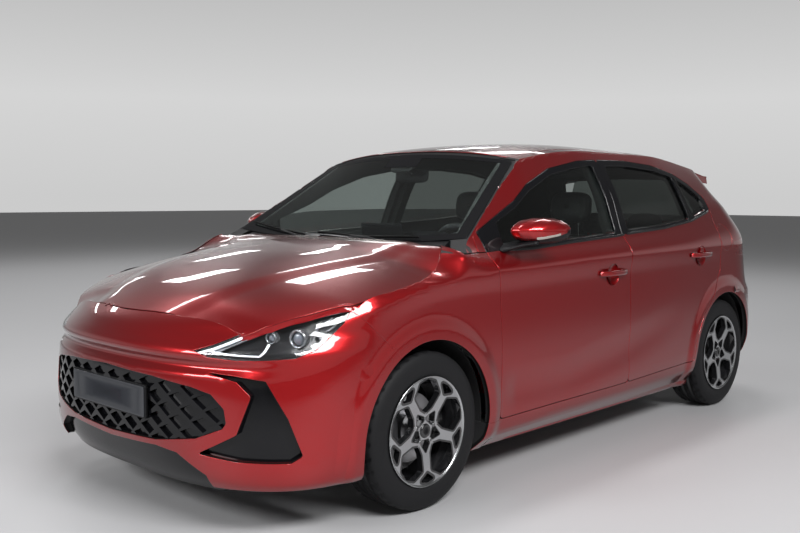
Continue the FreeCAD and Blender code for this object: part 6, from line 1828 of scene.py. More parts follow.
@dataclass
class Glazing:
    """Windscreen, side windows and rear glass."""

    car: Car
    clear_tint: Colour = (0.50, 0.55, 0.53)

    def __post_init__(self) -> None:
        """Takes its kinds of glass from the palette."""
        self.screen = self.car.palette.screen()
        self.side = self.car.palette.glass("clear_glass", self.clear_tint)
        self.privacy = self.car.palette.glass("dark_glass", DARK_TINT)

    def build(self) -> None:
        """Makes every pane."""
        skin = Skin("windscreen_glass", ScreenForm(), (-0.985, 0.985, 0.012, 0.985), [], 0.03, proud=-0.001,
                    roll=0.001, hem=0.001)
        self.car.put(skin.build().thick(0.004).mesh([self.screen]), "shell", "clear_glass", ["windscreen"])
        for stem, outline, body, glass in (
                ("front_door_glass_pane_{}", Outlines.front_window, "front_door_{}", self.side),
                ("rear_door_glass_pane_{}", Outlines.rear_window, "rear_door_{}", self.privacy),
                ("quarter_light_{}", Outlines.quarter_window, "rear_door_{}", self.privacy)):
            xs, zs = [p[0] for p in outline], [p[1] for p in outline]
            pane = Skin("pane", SideForm(0.014),
                        (min(xs) - 0.02, max(xs) + 0.02, min(zs) - 0.02, max(zs) + 0.02),
                        [cut(View.SIDE, grown(outline, 0.002), True, DOOR_ROUND)], 0.03, proud=0.0,
                        roll=0.0008, hem=0.001)
            node = stem.replace("_pane", "") if "quarter" not in stem else None
            self.car.both(pane.build().thick(PANE_THICKNESS), stem, [glass], body,
                          "dark_glass" if glass is self.privacy else "clear_glass",
                          [node] if node else [])
        rear = Skin("tailgate_glass_pane", EndForm(False, 0.004),
                    (-0.62, 0.62, 0.69 * HEIGHT, 0.90 * HEIGHT),
                    [cut(View.END, grown(Outlines.rear_glass, -0.0015), True, 0.02)], 0.025, proud=0.0,
                    roll=0.0008, hem=0.001)
        self.car.put(rear.build().thick(PANE_THICKNESS).mesh([self.privacy]), "tailgate", "dark_glass",
                     ["tailgate_glass"])


@dataclass
class Lamps:
    """Head and tail lamps under clear covers."""

    car: Car

    def build(self) -> None:
        """Makes the covers and the dark bowls behind them."""
        clear = self.car.palette.glass("lamp_cover", (0.93, 0.94, 0.95))
        red = self.car.palette.plain(LAMP_RED)
        dark = self.car.palette.plain(LAMP_DARK)
        cover = Skin("cover", EndForm(True), (0.05, 2.2, 0.40 * HEIGHT, 0.60 * HEIGHT),
                     [cut(View.CORNER, Outlines.lamp, True, 0.004)], 0.014, proud=0.0, roll=0.003,
                     hem=0.006)
        self.car.both(cover.build().thick(0.0025), "headlamp_cover_{}", [clear], "shell", "lamp_lens")
        bowl = Skin("bowl", EndForm(True, 0.045), (0.05, 2.2, 0.40 * HEIGHT, 0.60 * HEIGHT),
                    [cut(View.CORNER, grown(Outlines.lamp, 0.004), True, 0.004)], 0.014, proud=0.0,
                    roll=0.0)
        self.car.both(bowl.build(), "headlamp_bowl_{}", [dark], "shell", "black_plastic", ["headlamps"])
        tail = Skin("tail", EndForm(False), (0.3, math.pi / 2 + 0.6, 0.54 * HEIGHT, 0.68 * HEIGHT),
                    [cut(View.END, Outlines.tail_lamp, True, 0.01)], 0.014, proud=0.0, roll=0.003, hem=0.03)
        self.car.both(tail.build(), "tail_lamp_cover_{}", [red], "shell", "lamp_red", ["tail_lamps"])


@dataclass
class Wheels:
    """Tyres with tread, and five-armed rims."""

    car: Car
    rim_lip: float = 0.2148

    def __post_init__(self) -> None:
        """Takes its finishes from the palette."""
        self.rubber = self.car.palette.plain(RUBBER)
        self.silver = self.car.palette.plain(SILVER_FACE)
        self.black = self.car.palette.plain(WHEEL_BLACK)

    def build(self) -> None:
        """Makes a tyre and a rim on every wheel."""
        for place, x in (("front", FRONT_AXLE_X), ("rear", REAR_AXLE_X)):
            for side, sign in (("left", 1.0), ("right", -1.0)):
                body = f"wheel_{place}_{side}"
                tyre = self.tyre(f"tyre_skin_{place}_{side}")
                self.set_at(tyre, x, sign)
                self.car.put(tyre, body, "tyre_rubber", [f"tyre_{place}_{side}"])
                rim = self.rim(f"rim_face_{place}_{side}")
                self.set_at(rim, x, sign)
                self.car.put(rim, body, "rim_metal", [f"rim_{place}_{side}"])

    def set_at(self, obj: bpy.types.Object, x: float, sign: float) -> None:
        """Moves a wheel part made round the Y axis, facing +Y, to its hub.

        Args:
            obj: the piece.
            x: place of the axle.
            sign: 1 for left and -1 for right.
        """
        for v in obj.data.vertices:
            v.co = Vector((v.co.x + x, (v.co.y + TRACK_HALF) * sign, v.co.z + AXLE_Z))
        if sign < 0:
            obj.data.flip_normals()
        obj.data.update()

    def tyre(self, name: str) -> bpy.types.Object:
        """Tyre with sidewall form and grooved tread.

        Args:
            name: name of the piece.

        Returns:
            The Blender object.
        """
        r, w = 0.3113, 0.0973
        half = [(w * 0.80, self.rim_lip - 0.010), (w * 0.90, self.rim_lip - 0.002),
                (w * 0.955, self.rim_lip + 0.006),
                (w * 0.985, self.rim_lip + 0.020), (w * 0.9985, self.rim_lip + 0.036),
                (w, self.rim_lip + 0.046),
                (w * 0.985, self.rim_lip + 0.060), (w * 0.95, self.rim_lip + 0.074), (w * 0.90, r - 0.0130),
                (w * 0.86, r - 0.0085),
                (w * 0.80, r - 0.0050), (w * 0.72, r - 0.0030)]
        tread = []
        for a, b in ((0.70, 0.50), (0.40, 0.06)):
            top = r - 0.0005 - 0.0022 * ((a + b) / 2)
            tread += [(w * a, top - 0.0006), (w * b, top), (w * b - 0.001, top - 0.0075),
                      (w * (b - 0.06) - 0.002, top - 0.0075)]
        profile = half + tread
        profile = profile + [(-y, q) for y, q in reversed(profile)]
        count = 144
        grid = np.zeros((count, len(profile), 3))
        for i in range(count):
            t = 2 * math.pi * i / count
            for j, (y, q) in enumerate(profile):
                block = 0.0
                if q > r - 0.0055 and abs(y) > w * 0.5:
                    block = 0.006 if (i % 4) == 0 else 0.0
                grid[i, j] = ((q - block) * math.sin(t), y, (q - block) * math.cos(t))
        shell = surface_of(name, grid, closed_u=True)
        obj = shell.mesh([self.rubber])
        self._outward(obj)
        return obj

    @staticmethod
    def _outward(obj: bpy.types.Object) -> None:
        """Turns the faces of a closed mesh to the outside.

        Args:
            obj: the piece.
        """
        b = bmesh.new()
        b.from_mesh(obj.data)
        bmesh.ops.recalc_face_normals(b, faces=b.faces)
        b.to_mesh(obj.data)
        b.free()

    def rim(self, name: str) -> bpy.types.Object:
        """Barrel, lip and five forked spokes cut out of a dished face.

        Args:
            name: name of the piece.

        Returns:
            The Blender object.
        """
        b = bmesh.new()
        self._barrel(b)
        self._face(b)
        data = bpy.data.meshes.new(name)
        b.to_mesh(data)
        b.free()
        data.materials.append(self.black)
        data.materials.append(self.silver)
        data.shade_smooth()
        data.set_sharp_from_angle(angle=math.radians(35))
        obj = bpy.data.objects.new(name, data)
        bpy.context.scene.collection.objects.link(obj)
        return obj

    def _barrel(self, b: bmesh.types.BMesh) -> None:
        """Adds the barrel and lip of the rim.

        Args:
            b: mesh that it is added to.
        """
        lip = self.rim_lip
        profile = [(0.0975, lip - 0.0035, 1), (0.0985, lip - 0.001, 1), (0.0975, lip + 0.0005, 1),
                   (0.090, lip - 0.001, 1),
                   (0.086, lip - 0.010, 0), (0.060, lip - 0.013, 0), (0.040, lip - 0.022, 0),
                   (-0.060, lip - 0.022, 0),
                   (-0.085, lip - 0.010, 0), (-0.090, lip, 0), (-0.090, lip - 0.006, 0),
                   (-0.060, lip - 0.028, 0),
                   (0.040, lip - 0.028, 0), (0.070, lip - 0.018, 0), (0.092, lip - 0.010, 1)]
        count = 96
        rings = []
        for i in range(count):
            t = 2 * math.pi * i / count
            rings.append([b.verts.new((q * math.sin(t), y, q * math.cos(t))) for y, q, _ in profile])
        for i in range(count):
            a, c = rings[i], rings[(i + 1) % count]
            for j in range(len(profile)):
                k = (j + 1) % len(profile)
                f = b.faces.new((a[j], a[k], c[k], c[j]))
                f.material_index = profile[j][2]
        bmesh.ops.recalc_face_normals(b, faces=b.faces)

    def _face(self, b: bmesh.types.BMesh) -> None:
        """The spoked face: holes cut in a flat map, then dished and given thickness.

        Args:
            b: mesh that it is added to.
        """
        lip = self.rim_lip
        outer = lip - 0.006
        holes = []
        for i in range(5):
            at = math.radians(-90 + 72 * i)
            holes += [self._turned(h, at) for h in self._holes(lip)]
        margins = [grown(h, (0.003, 0.0095, 0.0075)[k % 3]) for k, h in enumerate(holes)]
        lines = [self._ring(outer, 120)] + holes + margins
        points, edges = [], []
        for line in lines:
            start = len(points)
            points.extend(line)
            edges.extend((start + k, start + (k + 1) % len(line)) for k in range(len(line)))
        grid = [(x, z) for x in np.arange(-lip, lip, 0.010) for z in np.arange(-lip, lip, 0.010)
                if math.hypot(x, z) < outer - 0.004]
        rims = np.array(points)
        grid = [g for g in grid if np.hypot(*(rims - np.array(g)).T).min() > 0.004]
        points.extend(grid)
        made = delaunay_2d_cdt([Vector(p) for p in points], edges, [], 0, 1e-6)
        flat = np.array([(v.x, v.y) for v in made[0]])
        faces = np.array([f for f in made[2] if len(f) == 3])
        middle = flat[faces].mean(axis=1)
        keep = np.hypot(middle[:, 0], middle[:, 1]) < outer
        for h in holes:
            keep &= ~inside(np.array(h), middle[:, 0], middle[:, 1])
        faces, middle = faces[keep], middle[keep]
        dark = np.zeros(len(faces), bool)
        for h in margins:
            dark |= inside(np.array(h), middle[:, 0], middle[:, 1])
        front, back = [], []
        for x, z in flat:
            y = self._dish(math.hypot(x, z))
            front.append(b.verts.new((x, y, z)))
            back.append(b.verts.new((x, y - 0.028, z)))
        count: Dict[Tuple[int, int], int] = {}
        for f, black in zip(faces, dark):
            b.faces.new([front[k] for k in f]).material_index = 0 if black else 1
            b.faces.new([back[k] for k in reversed(f)])
            for p, q in ((f[0], f[1]), (f[1], f[2]), (f[2], f[0])):
                key = (min(p, q), max(p, q))
                count[key] = count.get(key, 0) + 1
        for (p, q), n in count.items():
            if n == 1:
                b.faces.new((front[p], front[q], back[q], back[p]))
        loose = [v for v in b.verts if not v.link_faces]
        bmesh.ops.delete(b, geom=loose, context="VERTS")
        bmesh.ops.recalc_face_normals(b, faces=b.faces)

    @staticmethod
    def _dish(r: float) -> float:
        """Height of the rim's face at a radius."""
        return 0.080 + 0.014 * smooth(np.array((r - 0.02) / 0.17)).item()

    @staticmethod
    def _turned(points: Points, angle: float) -> List[Tuple[float, float]]:
        """Outline turned round the hub."""
        c, s = math.cos(angle), math.sin(angle)
        return [(a * c - q * s, a * s + q * c) for a, q in points]

    @staticmethod
    def _ring(radius: float, count: int) -> List[Tuple[float, float]]:
        """Points of a circle round the hub."""
        return [(radius * math.cos(2 * math.pi * k / count), radius * math.sin(2 * math.pi * k / count))
                for k in range(count)]

    def _holes(self, lip: float) -> List[List[Tuple[float, float]]]:
        """Pocket, fork pocket and one big window, for a spoke along +first axis.

        Args:
            lip: radius of the rim's lip.

        Returns:
            The outlines.
        """
        kite = rounded([(0.17 * lip, 0.085 * lip), (0.24 * lip, 0.115 * lip), (0.41 * lip, 0.0),
                        (0.24 * lip, -0.115 * lip),
                        (0.17 * lip, -0.085 * lip)], 0.006, True, 0.004)
        far = math.radians(12.5)
        fork = rounded([(0.76 * lip, 0.0), (0.915 * lip * math.cos(far), 0.915 * lip * math.sin(far)),
                        (0.935 * lip, 0.0),
                        (0.915 * lip * math.cos(far), -0.915 * lip * math.sin(far))], 0.007, True, 0.004)
        first, second = math.radians(23.0), math.radians(72 - 23.0)
        window = [(0.24 * lip, 0.205 * lip), (0.42 * lip, 0.125 * lip), (0.72 * lip, 0.115 * lip),
                  (0.915 * lip * math.cos(first), 0.915 * lip * math.sin(first))]
        mid = math.radians(36)
        window.append((0.955 * lip * math.cos(mid), 0.955 * lip * math.sin(mid)))
        mirror = [self._reflect(p, mid) for p in reversed(window[:4])]
        window = rounded(window + mirror, 0.013, True, 0.005)
        return [[tuple(p) for p in kite], [tuple(p) for p in fork], [tuple(p) for p in window]]

    @staticmethod
    def _reflect(p: Tuple[float, float], at: float) -> Tuple[float, float]:
        """Point mirrored in a line through the hub."""
        r, t = math.hypot(*p), math.atan2(p[1], p[0])
        return r * math.cos(2 * at - t), r * math.sin(2 * at - t)


def smooth_path(points: Sequence[Sequence[float]], count: int = 24) -> Array:
    """Even points on a smooth line through the given points.

    Args:
        points: points that it passes.
        count: number of points.

    Returns:
        The even points.
    """
    p = np.array(points, float)
    s = np.concatenate([[0.0], np.cumsum(np.linalg.norm(np.diff(p, axis=0), axis=1))])
    at = np.linspace(0, s[-1], count)
    return np.stack([Curve(s, p[:, k])(at) for k in range(3)], -1)


def outward(shell: Shell) -> Shell:
    """Turns a closed shape's faces and normals to the outside.

    Args:
        shell: the shape.

    Returns:
        The shape.
    """
    a, b, c = (shell.points[shell.faces[:, i]] - shell.points.mean(axis=0) for i in range(3))
    if (a * np.cross(b, c)).sum() < 0:
        shell.faces = shell.faces[:, ::-1].copy()
        shell.normals = -shell.normals
    return shell


def unit(v: Sequence[float]) -> Array:
    """Direction of a vector, with length 1."""
    v = np.array(v, float)
    return v / max(float(np.linalg.norm(v)), TINY)


def lathe(name: str, profile: Points, centre: Sequence[float], axis: Sequence[float],
          count: int = 40) -> Shell:
    """Turned shape.

    Args:
        name: name of the piece.
        profile: radius and height along the axis, from one end to the other.
        centre: where height is zero.
        axis: direction of height.
        count: number of steps round it.

    Returns:
        The closed shape.
    """
    axis = unit(axis)
    across = unit(np.cross(axis, (0.0, 0.0, 1.0) if abs(axis[2]) < 0.9 else (1.0, 0.0, 0.0)))
    other = np.cross(axis, across)
    t = np.linspace(0, 2 * math.pi, count, False)
    ring = np.cos(t)[:, None] * across + np.sin(t)[:, None] * other
    r, h = np.array([p[0] for p in profile]), np.array([p[1] for p in profile])
    grid = np.array(centre) + ring[:, None, :] * r[None, :, None] + axis * h[None, :, None]
    return outward(surface_of(name, grid, closed_u=True))


def bar(name: str, path: Array, wide: float, tall: float, up: Sequence[float] = (0, 0, 1), sides: int = 16,
        taper: float = 0.0, power: float = 2.0) -> Shell:
    """Bar with an oval section and rounded ends along a path.

    Args:
        name: name of the piece.
        path: points that it follows.
        wide: half size across the path and across up.
        tall: half size along up.
        up: rough upward direction of its section.
        sides: points round the section.
        taper: share by which its far end is smaller.
        power: 2 for an oval, more for a squarer section.

    Returns:
        The closed shape.
    """
    path = np.array(path, float)
    run = np.gradient(path, axis=0)
    run /= np.linalg.norm(run, axis=1, keepdims=True)
    first = np.cross(run, np.array(up, float))
    first /= np.linalg.norm(first, axis=1, keepdims=True)
    second = np.cross(first, run)
    t = np.linspace(0, 2 * math.pi, sides, False)
    r = (np.abs(np.cos(t)) ** power + np.abs(np.sin(t)) ** power) ** (-1 / power)
    s = np.linspace(0, 1, len(path))
    size = 1 - taper * s
    grid = [path[:1].repeat(sides, 0)]
    grid[0] = grid[0] - run[:1] * min(wide, tall) * 0.6
    for i in range(len(path)):
        grid.append(path[i] + size[i] * (wide * (r * np.cos(t))[:, None] * first[i]
                                         + tall * (r * np.sin(t))[:, None] * second[i]))
    grid.append(path[-1:].repeat(sides, 0) + run[-1:] * min(wide, tall) * 0.6 * size[-1])
    grid = np.array(grid)
    grid[1] = path[0] + (grid[1] - path[0]) * 0.8 - run[0] * min(wide, tall) * 0.3
    return outward(surface_of(name, grid, closed_v=True))


def board(name: str, outline: Points, place: Callable[[Array, Array, Array], Array], depth: float,
          bevel: float = 0.002) -> Shell:
    """Plate with a convex outline and rounded front edge; place maps two numbers and a depth to the car.

    Args:
        name: name of the piece.
        outline: corners of the outline.
        place: carries two numbers and a depth to the car.
        depth: thickness.
        bevel: size of the rounded edge.

    Returns:
        The shape.
    """
    rings = []
    o = np.array(outline, float)
    middle = o.mean(axis=0)
    rings.append((np.repeat(middle[None], len(o), 0), 0.0))
    rings.append((np.array(grown(o, -bevel * 1.6)), 0.0))
    for t in np.linspace(0, math.pi / 2, 4):
        rings.append((np.array(grown(o, -bevel * (1 - math.sin(t)))), bevel * (1 - math.cos(t))))
    rings.append((o, depth))
    rings.append((np.repeat(middle[None], len(o), 0), depth))
    grid = np.array([place(q[:, 0], q[:, 1], np.full(len(q), d)) for q, d in rings])
    return outward(surface_of(name, grid, closed_v=True))


def pad(name: str, half: Sequence[float], place: Callable[[Array], Array], power: float = 5.0,
        crown: float = 3.2,
        seams: Sequence[float] = (), shape: Optional[Callable[[Array], Array]] = None,
        fine: int = 72) -> Shell:
    """Crowned cushion whose sides pull in between its corners.

    Args:
        name: name of the piece.
        half: half sizes: forward, across and through.
        place: carries the cushion's own points to the car.
        power: squareness of its outline.
        crown: squareness of its thickness.
        seams: places across, as shares, of sewn channels along it.
        shape: extra change to its own points.
        fine: steps round it.

    Returns:
        The closed cushion.
    """
    phi = np.linspace(0, 2 * math.pi, fine, False)
    theta = np.linspace(-math.pi / 2, math.pi / 2, fine // 2)
    rp = (np.abs(np.cos(phi)) ** power + np.abs(np.sin(phi)) ** power) ** (-1 / power)
    rt = (np.abs(np.cos(theta)) ** crown + np.abs(np.sin(theta)) ** crown) ** (-1 / crown)
    rho, up = rt * np.cos(theta), rt * np.sin(theta)
    x = rp[:, None] * np.cos(phi)[:, None] * rho
    y = rp[:, None] * np.sin(phi)[:, None] * rho
    z = np.broadcast_to(up, x.shape)
    dip = 0.03 * (1 - np.abs(z))
    pull = 1 - dip * (np.abs(x) > 0.8) * (1 - y ** 2) - dip * (np.abs(y) > 0.8) * (1 - x ** 2)
    top = z > 0
    sink = np.zeros_like(x)
    for s in seams:
        sink += 0.10 * np.exp(-((y - s) / 0.035) ** 2) * top
    for s in (-0.45, 0.05, 0.5):
        inner = np.abs(y) < (abs(seams[0]) if len(seams) else 0.0)
        sink += 0.05 * np.exp(-((x - s) / 0.03) ** 2) * top * inner
    local = np.stack([x * half[0] * pull, y * half[1] * pull, (z - sink * np.abs(z)) * half[2]], -1)
    if shape is not None:
        local = shape(local)
    grid = place(local.reshape(-1, 3)).reshape(*x.shape, 3)
    return outward(surface_of(name, grid, closed_u=True))


def leaned(centre: Sequence[float], angle: float) -> Callable[[Array], Array]:
    """Place for a cushion that stands: its length up and back by the angle, its face to the front.

    Args:
        centre: middle of the piece.
        angle: angle in radians.

    Returns:
        The function that carries points to the car.
    """
    up = np.array([-math.sin(angle), 0.0, math.cos(angle)])
    face = np.array([math.cos(angle), 0.0, math.sin(angle)])
    side = np.array([0.0, 1.0, 0.0])

    def place(p: Array) -> Array:
        """Carries the cushion's own points to the car."""
        return np.array(centre) + p[:, :1] * up + p[:, 1:2] * side + p[:, 2:3] * face

    return place


def laid(centre: Sequence[float]) -> Callable[[Array], Array]:
    """Place for a cushion that lies flat."""
    return lambda p: np.array(centre) + p


@dataclass
class Mirrors:
    """Door mirrors: painted cap, black foot, lens and glass."""

    car: Car
    back_x: float = 0.505
    sweep: float = 0.045
    length: float = 0.195
    tall: float = 0.116
    z: float = 1.070
    at: Tuple[float, ...] = (0.958, 0.975, 1.020, 1.065, 1.100, 1.124, 1.137)
    depths: Tuple[float, ...] = (0.86, 0.97, 1.0, 0.92, 0.72, 0.45, 0.20)
    talls: Tuple[float, ...] = (0.66, 0.88, 1.0, 0.95, 0.78, 0.52, 0.22)
    section: Tuple[Tuple[float, float], ...] = (
        (0.0, 0.0), (0.0, 0.80), (0.12, 0.97), (0.45, 0.96), (0.78, 0.70), (1.0, 0.05), (0.84, -0.62),
        (0.45, -0.92), (0.12, -0.97), (0.0, -0.80))
    split: float = 0.62

    def __post_init__(self) -> None:
        """Takes its finishes from the palette."""
        self.paint = self.car.palette.paint()
        self.black = self.car.palette.plain(BLACK_SATIN)

    def build(self) -> None:
        """Makes both door mirrors."""
        cap = self.housing()
        arm = self.arm()
        glass = board("glass", self.round_rectangle(0.060, 0.040, 0.026), self.behind, 0.004, 0.001)
        lens = self.lens()
        for side, body in (("left", "front_door_left"), ("right", "front_door_right")):
            def own(shell: Shell, stem: str) -> Shell:
                """The shell for this side, under its own name.

                Args:
                    shell: the shape.
                    stem: name without its side.

                Returns:
                    The shape.
                """
                part = shell if side == "left" else shell.mirrored(stem + side)
                part.name = stem + side
                return part
            self.car.put(own(cap, "mirror_housing_").mesh([self.paint, self.black]), body, "body_paint",
                         ["mirror_" + side])
            self.car.put(own(arm, "mirror_arm_").mesh([self.black]), body, "black_plastic")
            self.car.put(own(glass, "mirror_glass_").mesh([self.car.palette.plain(MIRROR_GLASS)]), body,
                         "dark_glass")
            self.car.put(own(lens, "mirror_indicator_").mesh([self.car.palette.plain(INDICATOR)]), body,
                         "lamp_lens")

    @staticmethod
    def round_rectangle(a: float, b: float, radius: float) -> Array:
        """Rectangle with rounded corners."""
        return rounded([(-a, -b), (a, -b), (a, b), (-a, b)], radius, True, 0.01)

    def behind(self, a: Array, b: Array, d: Array) -> Array:
        """Place on the mirror's rear face: across and up, set a little out of the housing.

        Args:
            a: first numbers.
            b: second numbers.
            d: depths.

        Returns:
            The points.
        """
        y = 0.932 + a
        run = (y / HALF_WIDTH - self.at[0]) / (self.at[-1] - self.at[0])
        return np.stack([self.back_x - self.sweep * run - 0.0015 + d, y, self.z + b], -1)

    def ring(self, y: float, steps: Array) -> Array:
        """Points of the housing's section at a place across the car.

        Args:
            y: place across the car.
            steps: shares of the way round.

        Returns:
            The points.
        """
        share = y / HALF_WIDTH
        run = (share - self.at[0]) / (self.at[-1] - self.at[0])
        long = self.length * float(np.interp(share, self.at, self.depths))
        half = self.tall / 2 * float(np.interp(share, self.at, self.talls))
        p = np.array(self.section + self.section[:1])
        s = np.linspace(0, 1, len(p))
        wrap = np.concatenate([s - 1, s[1:], s[1:] + 1])
        laps = np.vstack([p, p[1:], p[1:]])
        a, b = Curve(wrap, laps[:, 0])(steps), Curve(wrap, laps[:, 1])(steps)
        back = self.back_x - self.sweep * run
        return np.stack([back + a * long, np.full_like(a, y), self.z + b * half], -1)

    def housing(self) -> Shell:
        """Painted cap with its black foot and lower edge.

        Returns:
            The shape.
        """
        steps = np.linspace(0, 1, 61)[:-1]
        at = Curve((0, 0.2, 0.5, 0.8, 1.0),
                   (self.at[0], 0.995, 1.065, 1.118, self.at[-1]))(np.linspace(0, 1, 26)) * HALF_WIDTH
        rings = [self.ring(float(y), steps) for y in at]
        rings.insert(0, np.repeat(rings[0].mean(axis=0)[None], 60, 0))
        rings.append(np.repeat(rings[-1].mean(axis=0)[None], 60, 0))
        shell = surface_of("housing", np.array(rings), closed_v=True)
        column = shell.flat[:, 1][shell.faces].min(axis=1)
        shell.marks = ((column > self.split) | (column < 0.09)).astype(int)
        return outward(shell)

    def arm(self) -> Shell:
        """Arm between the door and the housing.

        Returns:
            The shape.
        """
        x = self.back_x + self.length * 0.62
        y = float(SIDE.y(x, 1.0))
        path = smooth_path([(x + 0.035, y - 0.02, 0.995), (x + 0.01, y + 0.02, 1.004),
                            (x - 0.01, 0.905, 1.022), (x - 0.03, 0.955, 1.03)], 16)
        return bar("arm", path, 0.05, 0.013, (0.3, 0, 1), 20, 0.25, 2.6)

    def lens(self) -> Shell:
        """Indicator along the front outer edge.

        Returns:
            The shape.
        """
        line = []
        for y in np.linspace(0.965, 1.014, 12):
            line.append(self.ring(float(y), np.array([0.585]))[0])
        return bar("lens", np.array(line), 0.0035, 0.008, (0, 0, 1), 12, 0.4)


@dataclass
class Handles:
    """Pull handles over round hollows in the doors."""

    car: Car
    front: Tuple[float, float] = (-0.131, 0.845)
    rear: Tuple[float, float] = (-1.053, 0.894)
    radius: float = 0.080
    out: float = 0.062
    half_length: float = 0.118
    half_tall: float = 0.0125
    half_deep: float = 0.007

    def places(self) -> Dict[str, Tuple[float, float]]:
        """Middle of each door's hollow, along the car and up."""
        return {"front_door": self.front, "rear_door": self.rear}

    def rim(self) -> float:
        """Radius of the hollow's border in the door."""
        return math.sqrt(self.radius ** 2 - self.out ** 2)

    def build(self) -> None:
        """Makes the hollows and grips of all doors."""
        paint = self.car.palette.paint()
        for door, (x, z) in self.places().items():
            self.car.both(self.hollow(x, z), door + "_hollow_{}", [paint], door + "_{}", "body_paint")
            self.car.both(self.grip(x, z), door + "_handle_{}", [paint], door + "_{}", "body_paint")

    def hollow(self, x: float, z: float) -> Shell:
        """Bowl of a sphere that stands outside the door.

        Args:
            x: its place along the car.
            z: its height.

        Returns:
            The shape.
        """
        n, rows = 56, 14
        middle = np.array([x, float(SIDE.y(x, z)) + self.out, z])
        grid = np.zeros((rows, n, 3))
        for i in range(rows):
            r = (self.rim() + 0.004) * i / (rows - 1)
            for j in range(n):
                t = 2 * math.pi * j / n
                px, pz = x + r * math.cos(t), z + r * math.sin(t)
                deep = math.sqrt(max((self.radius - 0.001) ** 2 - r * r, 0.0))
                grid[i, j] = (px, middle[1] - deep, pz)
        shell = surface_of("hollow", grid, closed_v=True)
        if shell.normals[:, 1].mean() < 0:
            shell.faces = shell.faces[:, ::-1].copy()
            shell.normals = -shell.normals
        return shell

    def grip(self, x: float, z: float) -> Shell:
        """Bowed grip over the hollow.

        Args:
            x: its place along the car.
            z: its height.

        Returns:
            The shape.
        """
        path = []
        for s in np.linspace(-1, 1, 25):
            px = x + s * self.half_length
            lift = 0.006 + 0.026 * (1 - abs(s) ** 3.0)
            path.append((px, float(SIDE.y(px, z)) + lift, z + 0.006))
        return bar("grip", np.array(path), self.half_deep, self.half_tall, (0, 0, 1), 20, 0.0, 2.6)


@dataclass
class LampInsides:
    """What shows behind the clear head lamp covers, and the rear lamps' light guides."""

    car: Car

    def __post_init__(self) -> None:
        """Takes its finishes from the palette."""
        self.silver = self.car.palette.plain(LAMP_SILVER)
        self.white = self.car.palette.plain(LAMP_WHITE)
        self.dim = self.car.palette.plain(LAMP_DIM)

    @staticmethod
    def spot(c: float, z: float, depth: float) -> Array:
        """Point at a depth behind the nose, from its corner number and height.

        Args:
            c: corner number.
            z: height.
            depth: depth below the surface.

        Returns:
            The point.
        """
        form = EndForm(True, depth)
        u = form.turn_for(lambda p: p[..., 0] - p[..., 1], np.array([c]), np.array([z]))
        return form.at(u, np.array([z]))[0]

    def strip(self, name: str, line: Points, depth: float, wide: float, tall: float,
              finish: bpy.types.Material) -> None:
        """Bar behind both head lamp covers."""
        path = smooth_path([self.spot(c * WHEEL_BASE, z * HEIGHT, depth) for c, z in line], 40)
        self.car.both(bar(name, path, wide, tall, (0, 0, 1), 12, 0.0, 3.0), "headlamp_" + name + "_{}",
                      [finish], "shell", "lamp_lens")

    def build(self) -> None:
        """Makes the bars, brackets and lenses."""
        top = [(a, b - 0.0105) for a, b in Outlines.lamp_top]
        self.strip("light_bar", top, 0.020, 0.007, 0.0055, self.white)
        self.strip("bar_carrier", [(a, b - 0.0085) for a, b in top], 0.028, 0.010, 0.004, self.silver)
        self.strip("inner_foot", [(0.555, 0.4455), (0.50, 0.4395), (0.457, 0.4385)], 0.022, 0.006, 0.0032,
                   self.white)
        self.strip("inner_rise", [(0.457, 0.4385), (0.447, 0.4500), (0.440, 0.4640)], 0.022, 0.005, 0.0035,
                   self.white)
        self.strip("rear_bracket", [(0.340, 0.4700), (0.350, 0.4940), (0.322, 0.5190)], 0.024, 0.006, 0.005,
                   self.dim)
        self.strip("rear_fin_low", [(0.330, 0.4920), (0.314, 0.5050)], 0.022, 0.004, 0.003, self.dim)
        self.strip("rear_fin_high", [(0.318, 0.5110), (0.303, 0.5230)], 0.022, 0.004, 0.003, self.dim)
        for name, c, z, size in (("main", 0.3860, 0.4760, 0.030), ("second", 0.4370, 0.4780, 0.019)):
            middle = self.spot(c * WHEEL_BASE, z * HEIGHT, 0.022)
            self.projector(name, middle, size)
        self.tail()

    def projector(self, name: str, middle: Array, size: float) -> None:
        """Round lens in its bezel.

        Args:
            name: end of its name.
            middle: middle of the lens.
            size: size of the piece.
        """
        axis = (0.93, 0.35, 0.0)
        bezel = lathe("bezel", [(size * 0.80, -0.020), (size * 0.84, 0.0), (size * 0.92, 0.0050),
                                (size * 1.08, 0.0045), (size * 1.16, -0.002),
                                (size * 1.18, -0.022), (size * 0.80, -0.022)], middle, axis)
        lens = lathe("lens", [(0.0, -0.012)] + [(size * 0.80 * math.sin(t), -0.012 + 0.014 * math.cos(t))
                                                 for t in np.linspace(0, math.pi / 2, 10)]
                     + [(size * 0.80, -0.016), (0.0, -0.016)], middle, axis)
        self.car.both(bezel, "headlamp_bezel_" + name + "_{}", [self.silver], "shell", "lamp_lens")
        self.car.both(lens, "headlamp_lens_" + name + "_{}", [self.car.palette.plain(LENS_GLASS)], "shell",
                      "lamp_lens")

    def tail(self) -> None:
        """Light guide that follows each rear lamp."""
        form = EndForm(False, -0.0015)
        line = []
        for y, z in ((0.655, 0.600), (0.72, 0.622), (0.80, 0.630), (0.87, 0.628), (0.915, 0.615)):
            u = form.turn_for(lambda p: -p[..., 1], np.array([-y * HALF_WIDTH]), np.array([z * HEIGHT]))
            line.append(form.at(u, np.array([z * HEIGHT]))[0])
        guide = bar("guide", smooth_path(line, 30), 0.003, 0.009, (0, 0, 1), 12, 0.3, 2.6)
        self.car.both(guide, "tail_lamp_guide_{}", [self.car.palette.plain(GUIDE_RED)], "shell", "lamp_red")


